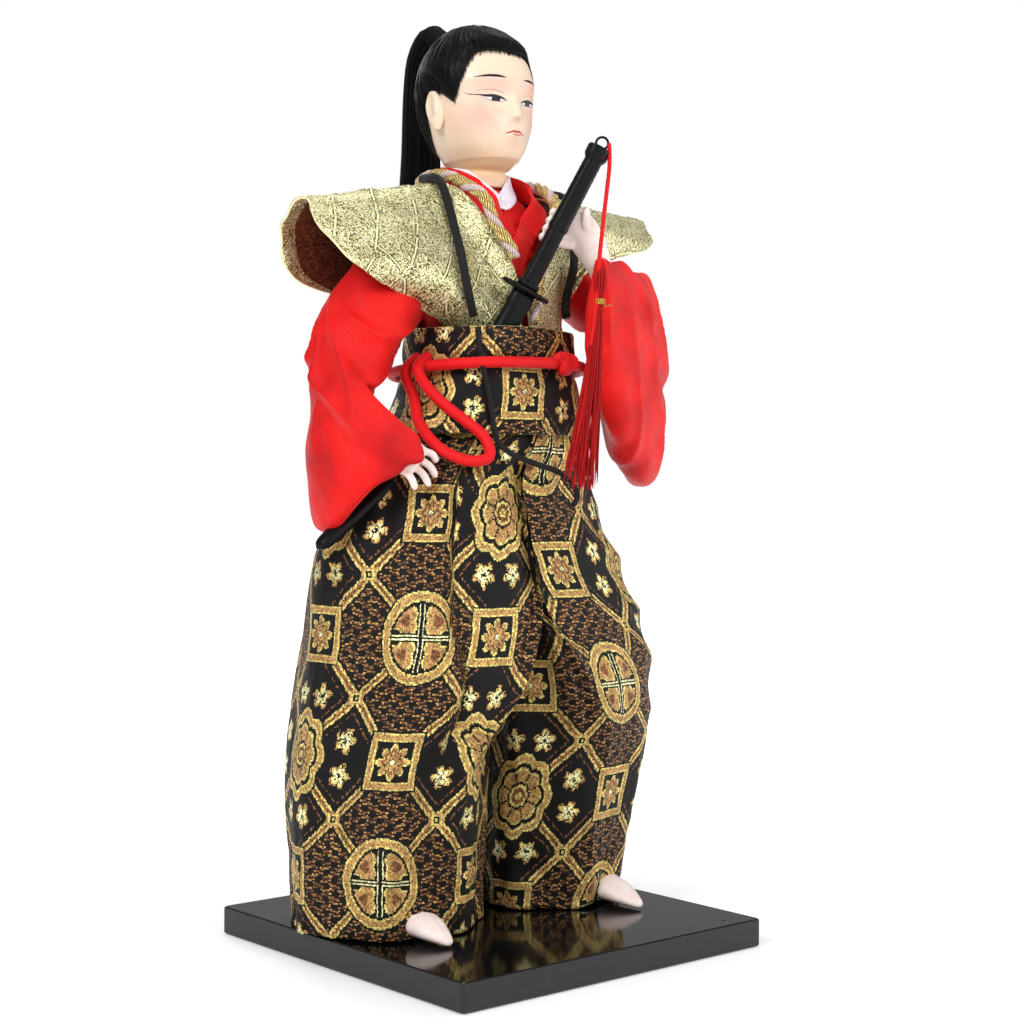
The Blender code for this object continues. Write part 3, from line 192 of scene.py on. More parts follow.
class Skin:
    """A mesh in the making: points, faces, texture places in metres, and finishes by index."""

    def __init__(self) -> None:
        """Start empty."""
        self.points: list[Vector] = []
        self.faces: list[tuple[int, ...]] = []
        self.places: list[tuple[tuple[float, float], ...]] = []
        self.finish: list[int] = []

    def sheet(self, rows: Sequence[Sequence[Vector]], places: Sequence[Sequence[tuple]] | None = None,
              closed: bool = False, finish: int = 0, flip: bool = False) -> "Skin":
        """Add a grid of points as quads.

        Args:
            rows: Equal rows of points.
            places: The texture place of each point, with one more column when closed.
            closed: Whether each row joins its own start.
            finish: The index of the material.
            flip: Whether to turn the faces over.

        Returns:
            This skin.
        """
        start, wide = len(self.points), len(rows[0])
        self.points += [p for row in rows for p in row]
        for j in range(len(rows) - 1):
            for i in range(wide if closed else wide - 1):
                k = (i + 1) % wide
                quad = (start + j * wide + i, start + j * wide + k,
                        start + (j + 1) * wide + k, start + (j + 1) * wide + i)
                if places:
                    spot = (places[j][i], places[j][i + 1], places[j + 1][i + 1], places[j + 1][i])
                else:
                    spot = ((0.0, 0.0),) * 4
                self.faces.append(quad[::-1] if flip else quad)
                self.places.append(tuple(spot[::-1]) if flip else tuple(spot))
                self.finish.append(finish)
        return self

    def cap(self, row: Sequence[Vector], finish: int = 0, flip: bool = False) -> "Skin":
        """Close a ring with a fan.

        Args:
            row: The ring.
            finish: The index of the material.
            flip: Whether to turn the faces over.

        Returns:
            This skin.
        """
        start, count = len(self.points), len(row)
        self.points += list(row) + [sum(row, Vector()) / count]
        for i in range(count):
            face = (start + i, start + (i + 1) % count, start + count)
            self.faces.append(face[::-1] if flip else face)
            self.places.append(((0.0, 0.0),) * 3)
            self.finish.append(finish)
        return self

    def loft(self, rows: Sequence[Sequence[Vector]],
             places: Sequence[Sequence[tuple]] | None = None) -> "Skin":
        """Add rings as a closed form with a cap at both ends, and return this skin."""
        self.sheet(rows, places, closed=True)
        return self.cap(rows[0], flip=True).cap(rows[-1])

    def tube(self, points: Sequence[Vector], radius: Callable[[float, float], float] | float,
             sides: int = 12, guide: Callable[[Vector], Vector] = outward, finish: int = 0,
             flat: float = 1.0, caps: bool = True) -> "Skin":
        """Add a closed tube along a path.

        Args:
            points: The centre line.
            radius: The radius, or a function of the angle and the walked length.
            sides: Points around.
            guide: Gives the outward direction.
            finish: The index of the material.
            flat: The share of the radius kept along the outward direction.
            caps: Whether the ends are closed.

        Returns:
            This skin.
        """
        rows, places, walked = [], [], 0.0
        mean = radius if isinstance(radius, float) else radius(0.0, 0.0)
        for i, (_, side, out) in enumerate(path_frames(points, guide)):
            walked += (points[i] - points[i - 1]).length if i else 0.0
            ring = []
            for k in range(sides):
                angle = 2 * math.pi * k / sides
                reach = radius if isinstance(radius, float) else radius(angle, walked)
                ring.append(points[i] + side * reach * math.cos(angle)
                            + out * reach * flat * math.sin(angle))
            rows.append(ring)
            places.append([(2 * math.pi * k / sides * mean, walked) for k in range(sides + 1)])
        self.sheet(rows, places, closed=True, finish=finish)
        if caps:
            self.cap(rows[0], finish, flip=True)
            self.cap(rows[-1], finish)
        return self

    def build(self, name: str, *finishes: bpy.types.Material, weld: float = 1e-6) -> bpy.types.Object:
        """Make the object.

        Args:
            name: The piece's name.
            finishes: Its materials in the order of the indices.
            weld: The distance within which points join.

        Returns:
            The new object, linked and smooth.
        """
        mesh = bpy.data.meshes.new(name)
        mesh.from_pydata([tuple(p) for p in self.points], [], self.faces)
        layer = mesh.uv_layers.new(name="cloth")
        spots = [spot for face in self.places for spot in face]
        for slot, spot in zip(layer.data, spots):
            slot.uv = spot
        for polygon, index in zip(mesh.polygons, self.finish):
            polygon.material_index = index
            polygon.use_smooth = True
        work = bmesh.new()
        work.from_mesh(mesh)
        bmesh.ops.remove_doubles(work, verts=work.verts, dist=weld)
        work.to_mesh(mesh)
        work.free()
        for finish in finishes:
            mesh.materials.append(finish)
        piece = bpy.data.objects.new(name, mesh)
        bpy.context.scene.collection.objects.link(piece)
        return piece


def remesh(piece: bpy.types.Object, voxel: float, rounds: int) -> bpy.types.Object:
    """Fuse a piece's parts by voxels and smooth the result, both applied.

    Args:
        piece: The object.
        voxel: The voxel's size in metres.
        rounds: Smoothing rounds.

    Returns:
        The same object.
    """
    fuse = piece.modifiers.new("fuse", "REMESH")
    fuse.mode, fuse.voxel_size, fuse.use_smooth_shade = "VOXEL", voxel, True
    soften = piece.modifiers.new("soften", "SMOOTH")
    soften.factor, soften.iterations = 0.5, rounds
    graph = bpy.context.evaluated_depsgraph_get()
    made = bpy.data.meshes.new_from_object(piece.evaluated_get(graph))
    piece.modifiers.clear()
    piece.data = made
    return piece


def strands(name: str, lines: Sequence[tuple[Sequence[Vector], float]],
            finish: bpy.types.Material, resolution: int = 1) -> bpy.types.Object:
    """Make many fine tapered strands as one curve object.

    Args:
        name: The piece's name.
        lines: A path and a radius for each strand.
        finish: The material.
        resolution: The roundness of the strands.

    Returns:
        The curve object.
    """
    data = bpy.data.curves.new(name, "CURVE")
    data.dimensions = "3D"
    data.bevel_depth, data.bevel_resolution, data.resolution_u = 0.001, resolution, 1
    data.use_fill_caps = True
    for path, radius in lines:
        spline = data.splines.new("POLY")
        spline.points.add(len(path) - 1)
        for i, (slot, point) in enumerate(zip(spline.points, path)):
            slot.co = (*point, 1)
            slot.radius = radius * 1000 * (1.0 if i < len(path) - 1 else 0.35)
    data.materials.append(finish)
    piece = bpy.data.objects.new(name, data)
    bpy.context.scene.collection.objects.link(piece)
    return piece


def seat(piece: bpy.types.Object, slot: str, *nodes: str) -> bpy.types.Object:
    """Let a piece ride on the doll and hide the solids it stands for.

    Args:
        piece: The object.
        slot: The record's material slot; not used.
        nodes: The solids that it replaces.

    Returns:
        The same object.
    """
    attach(piece, "root")
    if nodes:
        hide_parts(*nodes)
    log.info("%s made for %s", piece.name, ", ".join(nodes) or "its neighbours")
    return piece


# Node arithmetic and finishes

class Field:
    """A number in a node tree that plain arithmetic builds on."""

    def __init__(self, tree: bpy.types.NodeTree, socket: bpy.types.NodeSocket) -> None:
        """Hold the socket that gives the number."""
        self.tree, self.socket = tree, socket

    def math(self, operation: str, *others: "Field | float", clamp: bool = False) -> "Field":
        """Join this number with others by one Math node.

        Args:
            operation: The node's operation.
            others: The further inputs.
            clamp: Whether the result is held between 0 and 1.

        Returns:
            The result.
        """
        node = self.tree.nodes.new("ShaderNodeMath")
        node.operation, node.use_clamp = operation, clamp
        for slot, value in zip(node.inputs, (self, *others)):
            if isinstance(value, Field):
                self.tree.links.new(value.socket, slot)
            else:
                slot.default_value = value
        return Field(self.tree, node.outputs[0])

    def __add__(self, other: "Field | float") -> "Field":
        """Return the sum."""
        return self.math("ADD", other)

    def __sub__(self, other: "Field | float") -> "Field":
        """Return the difference."""
        return self.math("SUBTRACT", other)

    def __rsub__(self, other: float) -> "Field":
        """Return another number less this one."""
        return (self * -1.0).math("ADD", other)

    def __mul__(self, other: "Field | float") -> "Field":
        """Return the product."""
        return self.math("MULTIPLY", other)

    __radd__, __rmul__ = __add__, __mul__

    def __truediv__(self, other: "Field | float") -> "Field":
        """Return the quotient."""
        return self.math("DIVIDE", other)

    def __abs__(self) -> "Field":
        """Return the size without its sign."""
        return self.math("ABSOLUTE")

    def below(self, edge: "Field | float") -> "Field":
        """Return 1 where this number is under the edge, and 0 elsewhere."""
        return self.math("LESS_THAN", edge)

    def above(self, edge: "Field | float") -> "Field":
        """Return 1 where this number is over the edge, and 0 elsewhere."""
        return self.math("GREATER_THAN", edge)

    def least(self, other: "Field | float") -> "Field":
        """Return the smaller number."""
        return self.math("MINIMUM", other)

    def most(self, other: "Field | float") -> "Field":
        """Return the larger number."""
        return self.math("MAXIMUM", other)

    def wave(self, period: float) -> "Field":
        """Return a sine of this number with a period."""
        return (self * (2 * math.pi / period)).math("SINE")

    def near(self, middle: float, width: float) -> "Field":
        """Return a bell of 1 at middle that fades over width."""
        part = (self - middle) / width
        return Field(self.tree, (part * part * -1.0).math("EXPONENT").socket)

    def hypot(self, other: "Field") -> "Field":
        """Return the length of the vector of both."""
        return (self * self + other * other).math("SQRT")


Colour = tuple[int, int, int]
Socket = bpy.types.NodeSocket


def linear(colour: Colour) -> tuple[float, float, float, float]:
    """Return a screen colour of 0 to 255 as a shader's linear colour.

    Args:
        colour: Its three parts.

    Returns:
        The linear colour with its alpha.
    """
    parts = []
    for part in colour:
        share = part / 255
        parts.append(share / 12.92 if share <= 0.04045 else ((share + 0.055) / 1.055) ** 2.4)
    return (*parts, 1.0)


class Places(Enum):
    """Where a finish reads its place from."""

    BODY = "Object"
    CLOTH = "UV"


class Dye:
    """One procedural material in the making."""

    def __init__(self, name: str, roughness: float, metallic: float = 0.0, sheen: float = 0.0,
                 coat: float = 0.0, specular: float = 0.5) -> None:
        """Start a material with a Principled shader.

        Args:
            name: The material's name.
            roughness: The shader's roughness.
            metallic: Its metallic share.
            sheen: Its sheen weight.
            coat: Its coat weight.
            specular: Its specular level.
        """
        self.material = bpy.data.materials.new(name)
        self.material.use_nodes = True
        self.tree = self.material.node_tree
        self.shader = self.tree.nodes["Principled BSDF"]
        for key, value in (("Roughness", roughness), ("Metallic", metallic), ("Sheen Weight", sheen),
                           ("Coat Weight", coat), ("Specular IOR Level", specular)):
            self.shader.inputs[key].default_value = value
        self.normal: Socket | None = None

    def place(self, kind: Places) -> tuple[Field, Field, Field]:
        """Return the three parts of the place, in millimetres.

        Args:
            kind: Where the place is read from.

        Returns:
            Its parts across, along and up.
        """
        source = self.tree.nodes.new("ShaderNodeTexCoord")
        grow = self.tree.nodes.new("ShaderNodeVectorMath")
        grow.operation = "SCALE"
        grow.inputs["Scale"].default_value = 1 / MM
        self.tree.links.new(source.outputs[kind.value], grow.inputs[0])
        split = self.tree.nodes.new("ShaderNodeSeparateXYZ")
        self.tree.links.new(grow.outputs[0], split.inputs[0])
        return tuple(Field(self.tree, socket) for socket in split.outputs)

    def vector(self, x: Field, y: Field, z: Field | float = 0.0) -> Socket:
        """Join three numbers into a vector.

        Args:
            x: The first number.
            y: The second.
            z: The third.

        Returns:
            The vector's socket.
        """
        node = self.tree.nodes.new("ShaderNodeCombineXYZ")
        for slot, value in zip(node.inputs, (x, y, z)):
            if isinstance(value, Field):
                self.tree.links.new(value.socket, slot)
            else:
                slot.default_value = value
        return node.outputs[0]

    def noise(self, where: Socket, size: float, detail: float = 2.0) -> Field:
        """Return smooth noise of 0 to 1 with features of a size in millimetres.

        Args:
            where: The place, as a vector.
            size: The features' size.
            detail: The layers of finer noise.

        Returns:
            The noise.
        """
        node = self.tree.nodes.new("ShaderNodeTexNoise")
        node.inputs["Scale"].default_value = 1.0 / size
        node.inputs["Detail"].default_value = detail
        self.tree.links.new(where, node.inputs["Vector"])
        return Field(self.tree, node.outputs["Fac"])

    def cells(self, where: Socket) -> Field:
        """Return one random number for each whole place.

        Args:
            where: The place, as a vector.

        Returns:
            The number, 0 to 1.
        """
        node = self.tree.nodes.new("ShaderNodeTexWhiteNoise")
        self.tree.links.new(where, node.inputs["Vector"])
        return Field(self.tree, node.outputs["Value"])

    def ramp(self, value: Field, stops: Sequence[tuple[float, Colour]], span: float = 1.0,
             hard: bool = False) -> Socket:
        """Turn a number into a colour.

        Args:
            value: The number.
            stops: Pairs of a number and a colour.
            span: The number at the ramp's end.
            hard: Whether the colours change at once.

        Returns:
            The colour's socket.
        """
        node = self.tree.nodes.new("ShaderNodeValToRGB")
        table = node.color_ramp
        table.interpolation = "CONSTANT" if hard else "LINEAR"
        table.elements.remove(table.elements[1])
        table.elements[0].position, table.elements[0].color = stops[0][0] / span, linear(stops[0][1])
        for where, colour in stops[1:]:
            table.elements.new(where / span).color = linear(colour)
        self.tree.links.new((value / span).socket, node.inputs[0])
        return node.outputs[0]

    def over(self, under: Socket | Colour, colour: Socket | Colour, share: Field | float,
             blend: str = "MIX") -> Socket:
        """Lay one colour over another by a share.

        Args:
            under: The colour below.
            colour: The colour laid on it.
            share: How much of it shows.
            blend: How they mix.

        Returns:
            The new colour.
        """
        node = self.tree.nodes.new("ShaderNodeMix")
        node.data_type, node.blend_type = "RGBA", blend
        for slot, value in ((node.inputs[6], under), (node.inputs[7], colour)):
            if isinstance(value, tuple):
                slot.default_value = linear(value)
            else:
                self.tree.links.new(value, slot)
        if isinstance(share, Field):
            self.tree.links.new(share.math("ADD", 0.0, clamp=True).socket, node.inputs[0])
        else:
            node.inputs[0].default_value = share
        return node.outputs[2]

    def shade(self, colour: Socket, factor: Field) -> Socket:
        """Multiply a colour by a number.

        Args:
            colour: The colour.
            factor: The number.

        Returns:
            The new colour.
        """
        node = self.tree.nodes.new("ShaderNodeVectorMath")
        node.operation = "SCALE"
        self.tree.links.new(colour, node.inputs[0])
        self.tree.links.new(factor.socket, node.inputs["Scale"])
        return node.outputs[0]

    def relief(self, height: Field, depth: float, strength: float = 1.0) -> None:
        """Add a bump of a depth in millimetres over what is there.

        Args:
            height: What the bump follows.
            depth: Its depth.
            strength: The bump's strength.
        """
        node = self.tree.nodes.new("ShaderNodeBump")
        node.inputs["Distance"].default_value = depth * MM
        node.inputs["Strength"].default_value = strength
        self.tree.links.new(height.socket, node.inputs["Height"])
        if self.normal:
            self.tree.links.new(self.normal, node.inputs["Normal"])
        self.normal = node.outputs[0]

    def wear(self, value: Field, key: str) -> None:
        """Let a number drive one of the shader's inputs."""
        self.tree.links.new(value.socket, self.shader.inputs[key])

    def done(self, colour: Socket) -> bpy.types.Material:
        """Join the colour and relief to the shader.

        Args:
            colour: The base colour.

        Returns:
            The finished material.
        """
        self.tree.links.new(colour, self.shader.inputs["Base Color"])
        if self.normal:
            self.tree.links.new(self.normal, self.shader.inputs["Normal"])
        return self.material


@dataclass(frozen=True)
class Brocade:
    """Black cloth woven with gold and copper medallions on a square net."""

    name: str
    shift: tuple[float, float] = (0.0, 0.0)
    wide: float = 69.0
    tall: float = 75.0
    thread: float = 0.40
    black: Colour = (9, 7, 6)
    copper: Colour = (132, 86, 54)
    tan: Colour = (200, 156, 96)
    gold: Colour = (234, 212, 126)
    bright: Colour = (255, 250, 184)

    def fill(self, dye: Dye, u: Field, v: Field, drift: Field, cell: Field) -> Socket:
        """Return the brick-like copper dashes round black diamonds that fill the wide cells.

        Args:
            dye: The material in the making.
            u: The place across the cloth.
            v: The place along it.
            drift: Slow noise of 0 to 1.
            cell: A random number for each thread.

        Returns:
            The colour.
        """
        slope = v + (u.wave(6.1) * 0.35)
        net = (u * (2 * math.pi / 6.1)).math("COSINE") + (v * (2 * math.pi / 4.2)).math("COSINE")
        diamond = abs(net).above(drift * 0.4 + 0.80)
        dash = (slope / 1.3).math("FRACT").above(0.50)
        rim = abs(abs(net) - 0.72).below(0.26)
        ground = dye.over(self.black, (44, 28, 18), cell.above(0.45))
        ground = dye.over(ground, self.copper, dash * drift.above(0.36))
        ground = dye.over(ground, self.tan, dash * rim * drift.above(0.30))
        return dye.over(ground, self.black, diamond)

    def flower(self, dye: Dye, under: Socket, x: Field, y: Field, petals: int, reach: float) -> Socket:
        """Lay a flower with outlined petals over a colour.

        Args:
            dye: The material in the making.
            under: The colour below.
            x: The distance from its middle across.
            y: The distance from its middle along.
            petals: The number of petals.
            reach: The petals' length in millimetres.

        Returns:
            The new colour.
        """
        radius = x.hypot(y)
        angle = y.math("ARCTAN2", x)
        lobe = abs((angle * (petals / 2)).math("COSINE"))
        share = radius / (lobe * (0.50 * reach) + 0.62 * reach)
        petal = dye.ramp(share, [(0.0, self.bright), (0.13, self.black), (0.20, self.tan),
                                 (0.50, self.copper), (0.60, self.tan), (0.78, self.gold),
                                 (0.92, self.black)], 1.4, hard=True)
        gap = dye.over(petal, self.black, lobe.below(0.14) * radius.above(reach * 0.30))
        return dye.over(under, gap, share.below(0.99))

    def make(self) -> bpy.types.Material:
        """Make the material.

        Returns:
            The finished material.
        """
        dye = Dye(self.name, 0.5, specular=0.22)
        raw_u, raw_v, _ = dye.place(Places.CLOTH)
        raw = dye.vector(raw_u, raw_v)
        sway = dye.noise(raw, 9.0) - 0.5
        jag = dye.noise(raw, 0.9) - 0.5
        u = (raw_u * (self.tall / self.wide) + (self.shift[0] + self.tall * 40) + sway * 1.6 + jag * 0.9)
        u = u.math("SNAP", self.thread)
        v = (raw_v + (self.shift[1] + self.tall * 40) + sway * 1.2 + jag * 0.5)
        v = v.math("SNAP", self.thread * 1.25)
        cell = dye.cells(dye.vector(u, v))
        drift = dye.noise(raw, 1.9)
        half = self.tall / 2
        x = abs(u - (u / self.tall).math("ROUND") * self.tall)
        y = abs(v - (v / self.tall).math("ROUND") * self.tall)
        wide, tight = x.most(y), x.least(y)
        colour = self.fill(dye, u, v, drift, cell)
        sprig_x, sprig_y = wide - 32.0, tight - 18.75
        lobes = (sprig_y.math("ARCTAN2", sprig_x) * 2.5 + 0.8).math("COSINE")
        sprig = sprig_x.hypot(sprig_y) / (abs(lobes) * 2.2 + 1.1 + drift * 2.6)
        dark = dye.ramp(sprig, [(0.0, self.black), (0.16, self.bright), (0.55, self.gold),
                                (0.74, self.tan), (0.90, self.black)], 1.6, hard=True)
        dark = dye.over(dark, self.black, cell.below(0.24))
        colour = dye.over(colour, dark, (x + y).above(half))
        net = abs(x - y).least(abs(x + y - half)) * 0.7071
        inner = (net.above(3.0) * net.below(3.5)) * cell.above(0.45) * (x + y).above(half)
        colour = dye.over(colour, self.copper, inner)
        band = dye.ramp(net, [(0.0, self.copper), (0.30, self.tan), (0.75, self.gold),
                              (1.30, self.black)], 4.0, hard=True)
        band = dye.over(band, self.copper, cell.below(0.22) * net.below(0.9))
        colour = dye.over(colour, band, net.below(2.2))
        eyelet = abs(x - half / 2).most(abs(y - half / 2) * 1.25)
        loop = dye.ramp(eyelet, [(0.0, self.gold), (0.4, self.black), (1.1, self.gold),
                                 (1.7, self.tan)], 4.0, hard=True)
        colour = dye.over(colour, loop, eyelet.below(2.5))
        colour = self.square(dye, colour, half - wide, tight)
        colour = self.disc(dye, colour, x, y, drift)
        colour = self.rosette(dye, colour, half - x, half - y)
        glint = (cell - 0.5) * 1.15 + 0.84 + sway * 0.6
        colour = dye.shade(colour, glint)
        light = dye.tree.nodes.new("ShaderNodeRGBToBW")
        dye.tree.links.new(colour, light.inputs[0])
        shine = Field(dye.tree, light.outputs[0])
        dye.wear(shine * 0.8 + 0.02, "Metallic")
        dye.wear(cell * 0.2 + 0.52 - shine * 0.30, "Roughness")
        weave = raw_u.wave(self.thread * 2) * raw_v.wave(self.thread * 2)
        dye.relief(weave * 0.3 + shine * 1.6 + cell * 0.8, 0.12, 0.9)
        dye.relief(dye.noise(raw, 3.5), 0.35, 0.4)
        return dye.done(colour)

    def square(self, dye: Dye, colour: Socket, x: Field, y: Field) -> Socket:
        """Lay the framed square with its flower of eight petals.

        Args:
            dye: The material in the making.
            colour: The colour below.
            x: The distance from its middle across, in millimetres.
            y: The distance from its middle along, in millimetres.

        Returns:
            The new colour.
        """
        edge = x.most(y)
        frame_ring = dye.ramp(edge, [(0.0, self.black), (6.3, self.gold), (6.9, self.tan),
                                     (8.0, self.gold), (8.7, self.black)], 12.0, hard=True)
        colour = dye.over(colour, frame_ring, edge.below(9.3))
        return self.flower(dye, colour, x, y, 8, 5.6)

    def disc(self, dye: Dye, colour: Socket, x: Field, y: Field, drift: Field) -> Socket:
        """Lay the ringed disc with its cross and four leaves.

        Args:
            dye: The material in the making.
            colour: The colour below.
            x: The distance from its middle across, in millimetres.
            y: The distance from its middle along, in millimetres.
            drift: Slow noise of 0 to 1.

        Returns:
            The new colour.
        """
        radius = x.hypot(y * 0.94)
        ring = dye.ramp(radius, [(0.0, self.black), (10.4, self.gold), (11.0, self.tan),
                                 (12.6, self.gold), (13.3, self.black)], 18.0, hard=True)
        colour = dye.over(colour, ring, radius.below(13.9))
        leaf = (x - 5.6).hypot(y - 5.0) / (abs(((y - 5.0).math("ARCTAN2", x - 5.6) * 1.5)
                                               .math("COSINE")) * 2.0 + 3.3)
        leaves = dye.ramp(leaf, [(0.0, self.copper), (0.35, self.tan), (0.85, self.gold),
                                 (1.0, self.black)], 1.6, hard=True)
        colour = dye.over(colour, leaves, leaf.below(1.05) * radius.below(9.6))
        cross = x.least(y)
        arms = dye.ramp(cross, [(0.0, self.black), (0.45, self.bright), (0.95, self.black)], 2.0, hard=True)
        return dye.over(colour, arms, cross.below(1.5) * radius.below(9.8) * drift.above(0.34))

    def rosette(self, dye: Dye, colour: Socket, x: Field, y: Field) -> Socket:
        """Lay the scalloped rosette with its inner flower.

        Args:
            dye: The material in the making.
            colour: The colour below.
            x: The distance from its middle across, in millimetres.
            y: The distance from its middle along, in millimetres.

        Returns:
            The new colour.
        """
        radius = (x * 1.12).hypot(y * 0.92)
        lobe = abs(((y * 0.92).math("ARCTAN2", x * 1.12) * 4.0).math("COSINE"))
        reach = radius / (lobe * 1.7 + 10.6)
        petals = dye.ramp(reach, [(0.0, self.gold), (0.10, self.copper), (0.22, self.gold),
                                  (0.29, self.black), (0.36, self.tan), (0.66, self.gold),
                                  (0.73, self.black), (0.84, self.gold), (0.91, self.tan),
                                  (1.02, self.gold), (1.09, self.black)], 1.4, hard=True)
        colour = dye.over(colour, petals, reach.below(1.16))
        vein = lobe.below(0.20) * reach.above(0.33) * reach.below(0.68)
        return dye.over(colour, self.black, vein)


@dataclass(frozen=True)
class Lame:
    """Pale gold speckled cloth with pinched diamond creases, painted highlights along them and painted
    shadows beside them, or its rusty lining.
    """

    name: str
    lining: bool = False
    cell_wide: float = CREASE_WIDE
    cell_tall: float = CREASE_TALL

    def make(self) -> bpy.types.Material:
        """Make the material.

        Returns:
            The finished material.
        """
        dye = Dye(self.name, 0.40, metallic=0.5, specular=0.3)
        u, v, _ = dye.place(Places.CLOTH)
        flat = dye.vector(u, v)
        fleck = dye.noise(flat, 0.42, 3.0)
        cloud = dye.noise(flat, 7.0)
        grain = dye.cells(dye.vector(u.math("SNAP", 0.3), v.math("SNAP", 0.3)))
        tones = [(0.0, (24, 18, 8)), (0.38, (84, 74, 36)), (0.45, (182, 172, 108)),
                 (0.52, (228, 220, 156)), (0.64, (253, 250, 210))]
        if self.lining:
            tones = [(0.0, (26, 12, 8)), (0.42, (86, 46, 30)), (0.54, (128, 78, 60)),
                     (0.66, (160, 104, 84)), (0.8, (216, 176, 96))]
        colour = dye.ramp(fleck * 0.55 + grain * 0.45 + (cloud - 0.5) * 0.25, tones)
        if not self.lining:
            a = u / self.cell_wide + v / self.cell_tall
            b = u / self.cell_wide - v / self.cell_tall
            fold_a, fold_b = abs(a - a.math("ROUND")), abs(b - b.math("ROUND"))
            near = fold_a.least(fold_b)
            patch = dye.noise(flat, 4.5)
            # Painted highlight along the crease ridges, then painted shadow in a thin line beside them.
            colour = dye.over(colour, (255, 246, 190), near.below(0.024) * patch.above(0.48))
            colour = dye.over(colour, (30, 22, 10), (near.above(0.028) * near.below(0.056))
                              * patch.above(0.50) * 0.9)
        dye.relief(fleck + grain * 0.6, 0.12, 0.6)
        dye.relief(dye.noise(flat, 2.2), 0.4, 0.3)
        return dye.done(colour)


@dataclass(frozen=True)
class Gauze:
    """Bright red cloth with a fine dotted weave."""

    name: str
    red: Colour = (240, 18, 18)
    deep: Colour = (186, 4, 8)
    pitch: float = 1.55

    def make(self) -> bpy.types.Material:
        """Make the material.

        Returns:
            The finished material.
        """
        dye = Dye(self.name, 0.50, sheen=0.04, specular=0.22)
        x, y, z = dye.place(Places.BODY)
        spot = dye.vector(x, y, z)
        along = x * 0.8 - y * 0.6
        row = (z / (self.pitch * 0.5)).math("FLOOR")
        slip = (row * 0.5).math("FRACT")
        dot_x = (along / self.pitch + slip).math("FRACT") - 0.5
        dot_z = (z / (self.pitch * 0.5)).math("FRACT") - 0.5
        dot = (dot_x * 2.0).hypot(dot_z)
        hole = dot.near(0.0, 0.34)
        cloud = dye.noise(spot, 16.0)
        colour = dye.ramp(cloud, [(0.25, self.deep), (0.6, self.red), (0.85, (250, 34, 30))])
        colour = dye.over(colour, self.deep, hole * 0.55)
        thread = along.wave(0.42) * z.wave(0.42)
        dye.relief(thread * 0.4 - hole * 1.2, 0.09, 0.55)
        dye.relief(dye.noise(spot, 5.0), 0.5, 0.25)
        return dye.done(colour)


@dataclass(frozen=True)
class Thread:
    """Twisted or braided thread of one colour, painted lighter on its ridges and darker in its grooves as
    light and shade.
    """

    name: str
    light: Colour
    dark: Colour
    roughness: float = 0.6
    pitch: float = 1.5
    braided: bool = False
    metallic: float = 0.0

    def make(self) -> bpy.types.Material:
        """Make the material.

        Returns:
            The finished material.
        """
        dye = Dye(self.name, self.roughness, metallic=self.metallic, sheen=0.03, specular=0.22)
        u, v, _ = dye.place(Places.CLOTH)
        x, y, z = dye.place(Places.BODY)
        spot = dye.vector(x, y, z)
        rib = (v + u * 0.9).wave(self.pitch)
        if self.braided:
            rib = abs(rib).most(abs((v - u * 0.9).wave(self.pitch)))
        hairs = dye.noise(spot, 0.35, 3.0)
        # Painted light and shade: lighter on the twist's ridges, darker in its grooves, with fine noise for
        # painted glints on metal thread and uneven fibres on the rest.
        fibre_tone_and_painted_light = rib * 0.30 + hairs * 0.6 + 0.15
        colour = dye.ramp(fibre_tone_and_painted_light, [(0.1, self.dark), (0.7, self.light)])
        dye.relief(rib + hairs * 0.5, 0.16, 0.8)
        return dye.done(colour)


@dataclass(frozen=True)
class BlushAndShade:
    """A soft tint round one place of the face, used for blush and for painted shade."""

    x: float
    z: float
    wide: float
    tall: float
    share: float


@dataclass(frozen=True)
class Porcelain:
    """Satin skin, with blush and painted shade where places are given, and then painted shade under the
    chin too.
    """

    name: str
    base: Colour = (237, 213, 188)
    warm: Colour = (244, 180, 168)
    shade: Colour = (236, 196, 148)
    blush_and_shade_spots: tuple[BlushAndShade, ...] = ()
    roughness: float = 0.38

    def make(self) -> bpy.types.Material:
        """Make the material.

        Returns:
            The finished material.
        """
        dye = Dye(self.name, self.roughness, coat=0.12, specular=0.4)
        dye.shader.inputs["Subsurface Weight"].default_value = 0.12
        dye.shader.inputs["Subsurface Radius"].default_value = (0.004, 0.0015, 0.0008)
        dye.shader.inputs["Subsurface Scale"].default_value = 0.6
        x, y, z = dye.place(Places.BODY)
        spot = dye.vector(x, y, z)
        cloud = dye.noise(spot, 9.0)
        colour = dye.ramp(cloud, [(0.3, self.base), (0.8, tuple(min(255, c + 6) for c in self.base))])
        if self.blush_and_shade_spots:
            # Painted shade: the shade colour under the chin and down the front of the neck.
            under = z.near(251.5, 6.0) * y.near(-1.0, 14.0)
            colour = dye.over(colour, self.shade, under * 0.75)
            front = y.below(6.0)
            # The tints are blush, and painted shade under the nose and under the lower lip.
            for spot_at in self.blush_and_shade_spots:
                bell = (abs(x).near(spot_at.x, spot_at.wide) * z.near(spot_at.z, spot_at.tall)
                        * front * spot_at.share)
                colour = dye.over(colour, self.warm, bell)
        else:
            crease = dye.noise(spot, 3.0)
            colour = dye.over(colour, self.warm, (crease - 0.45) * 0.9)
        dye.relief(dye.noise(spot, 0.5), 0.02, 0.25)
        return dye.done(colour)


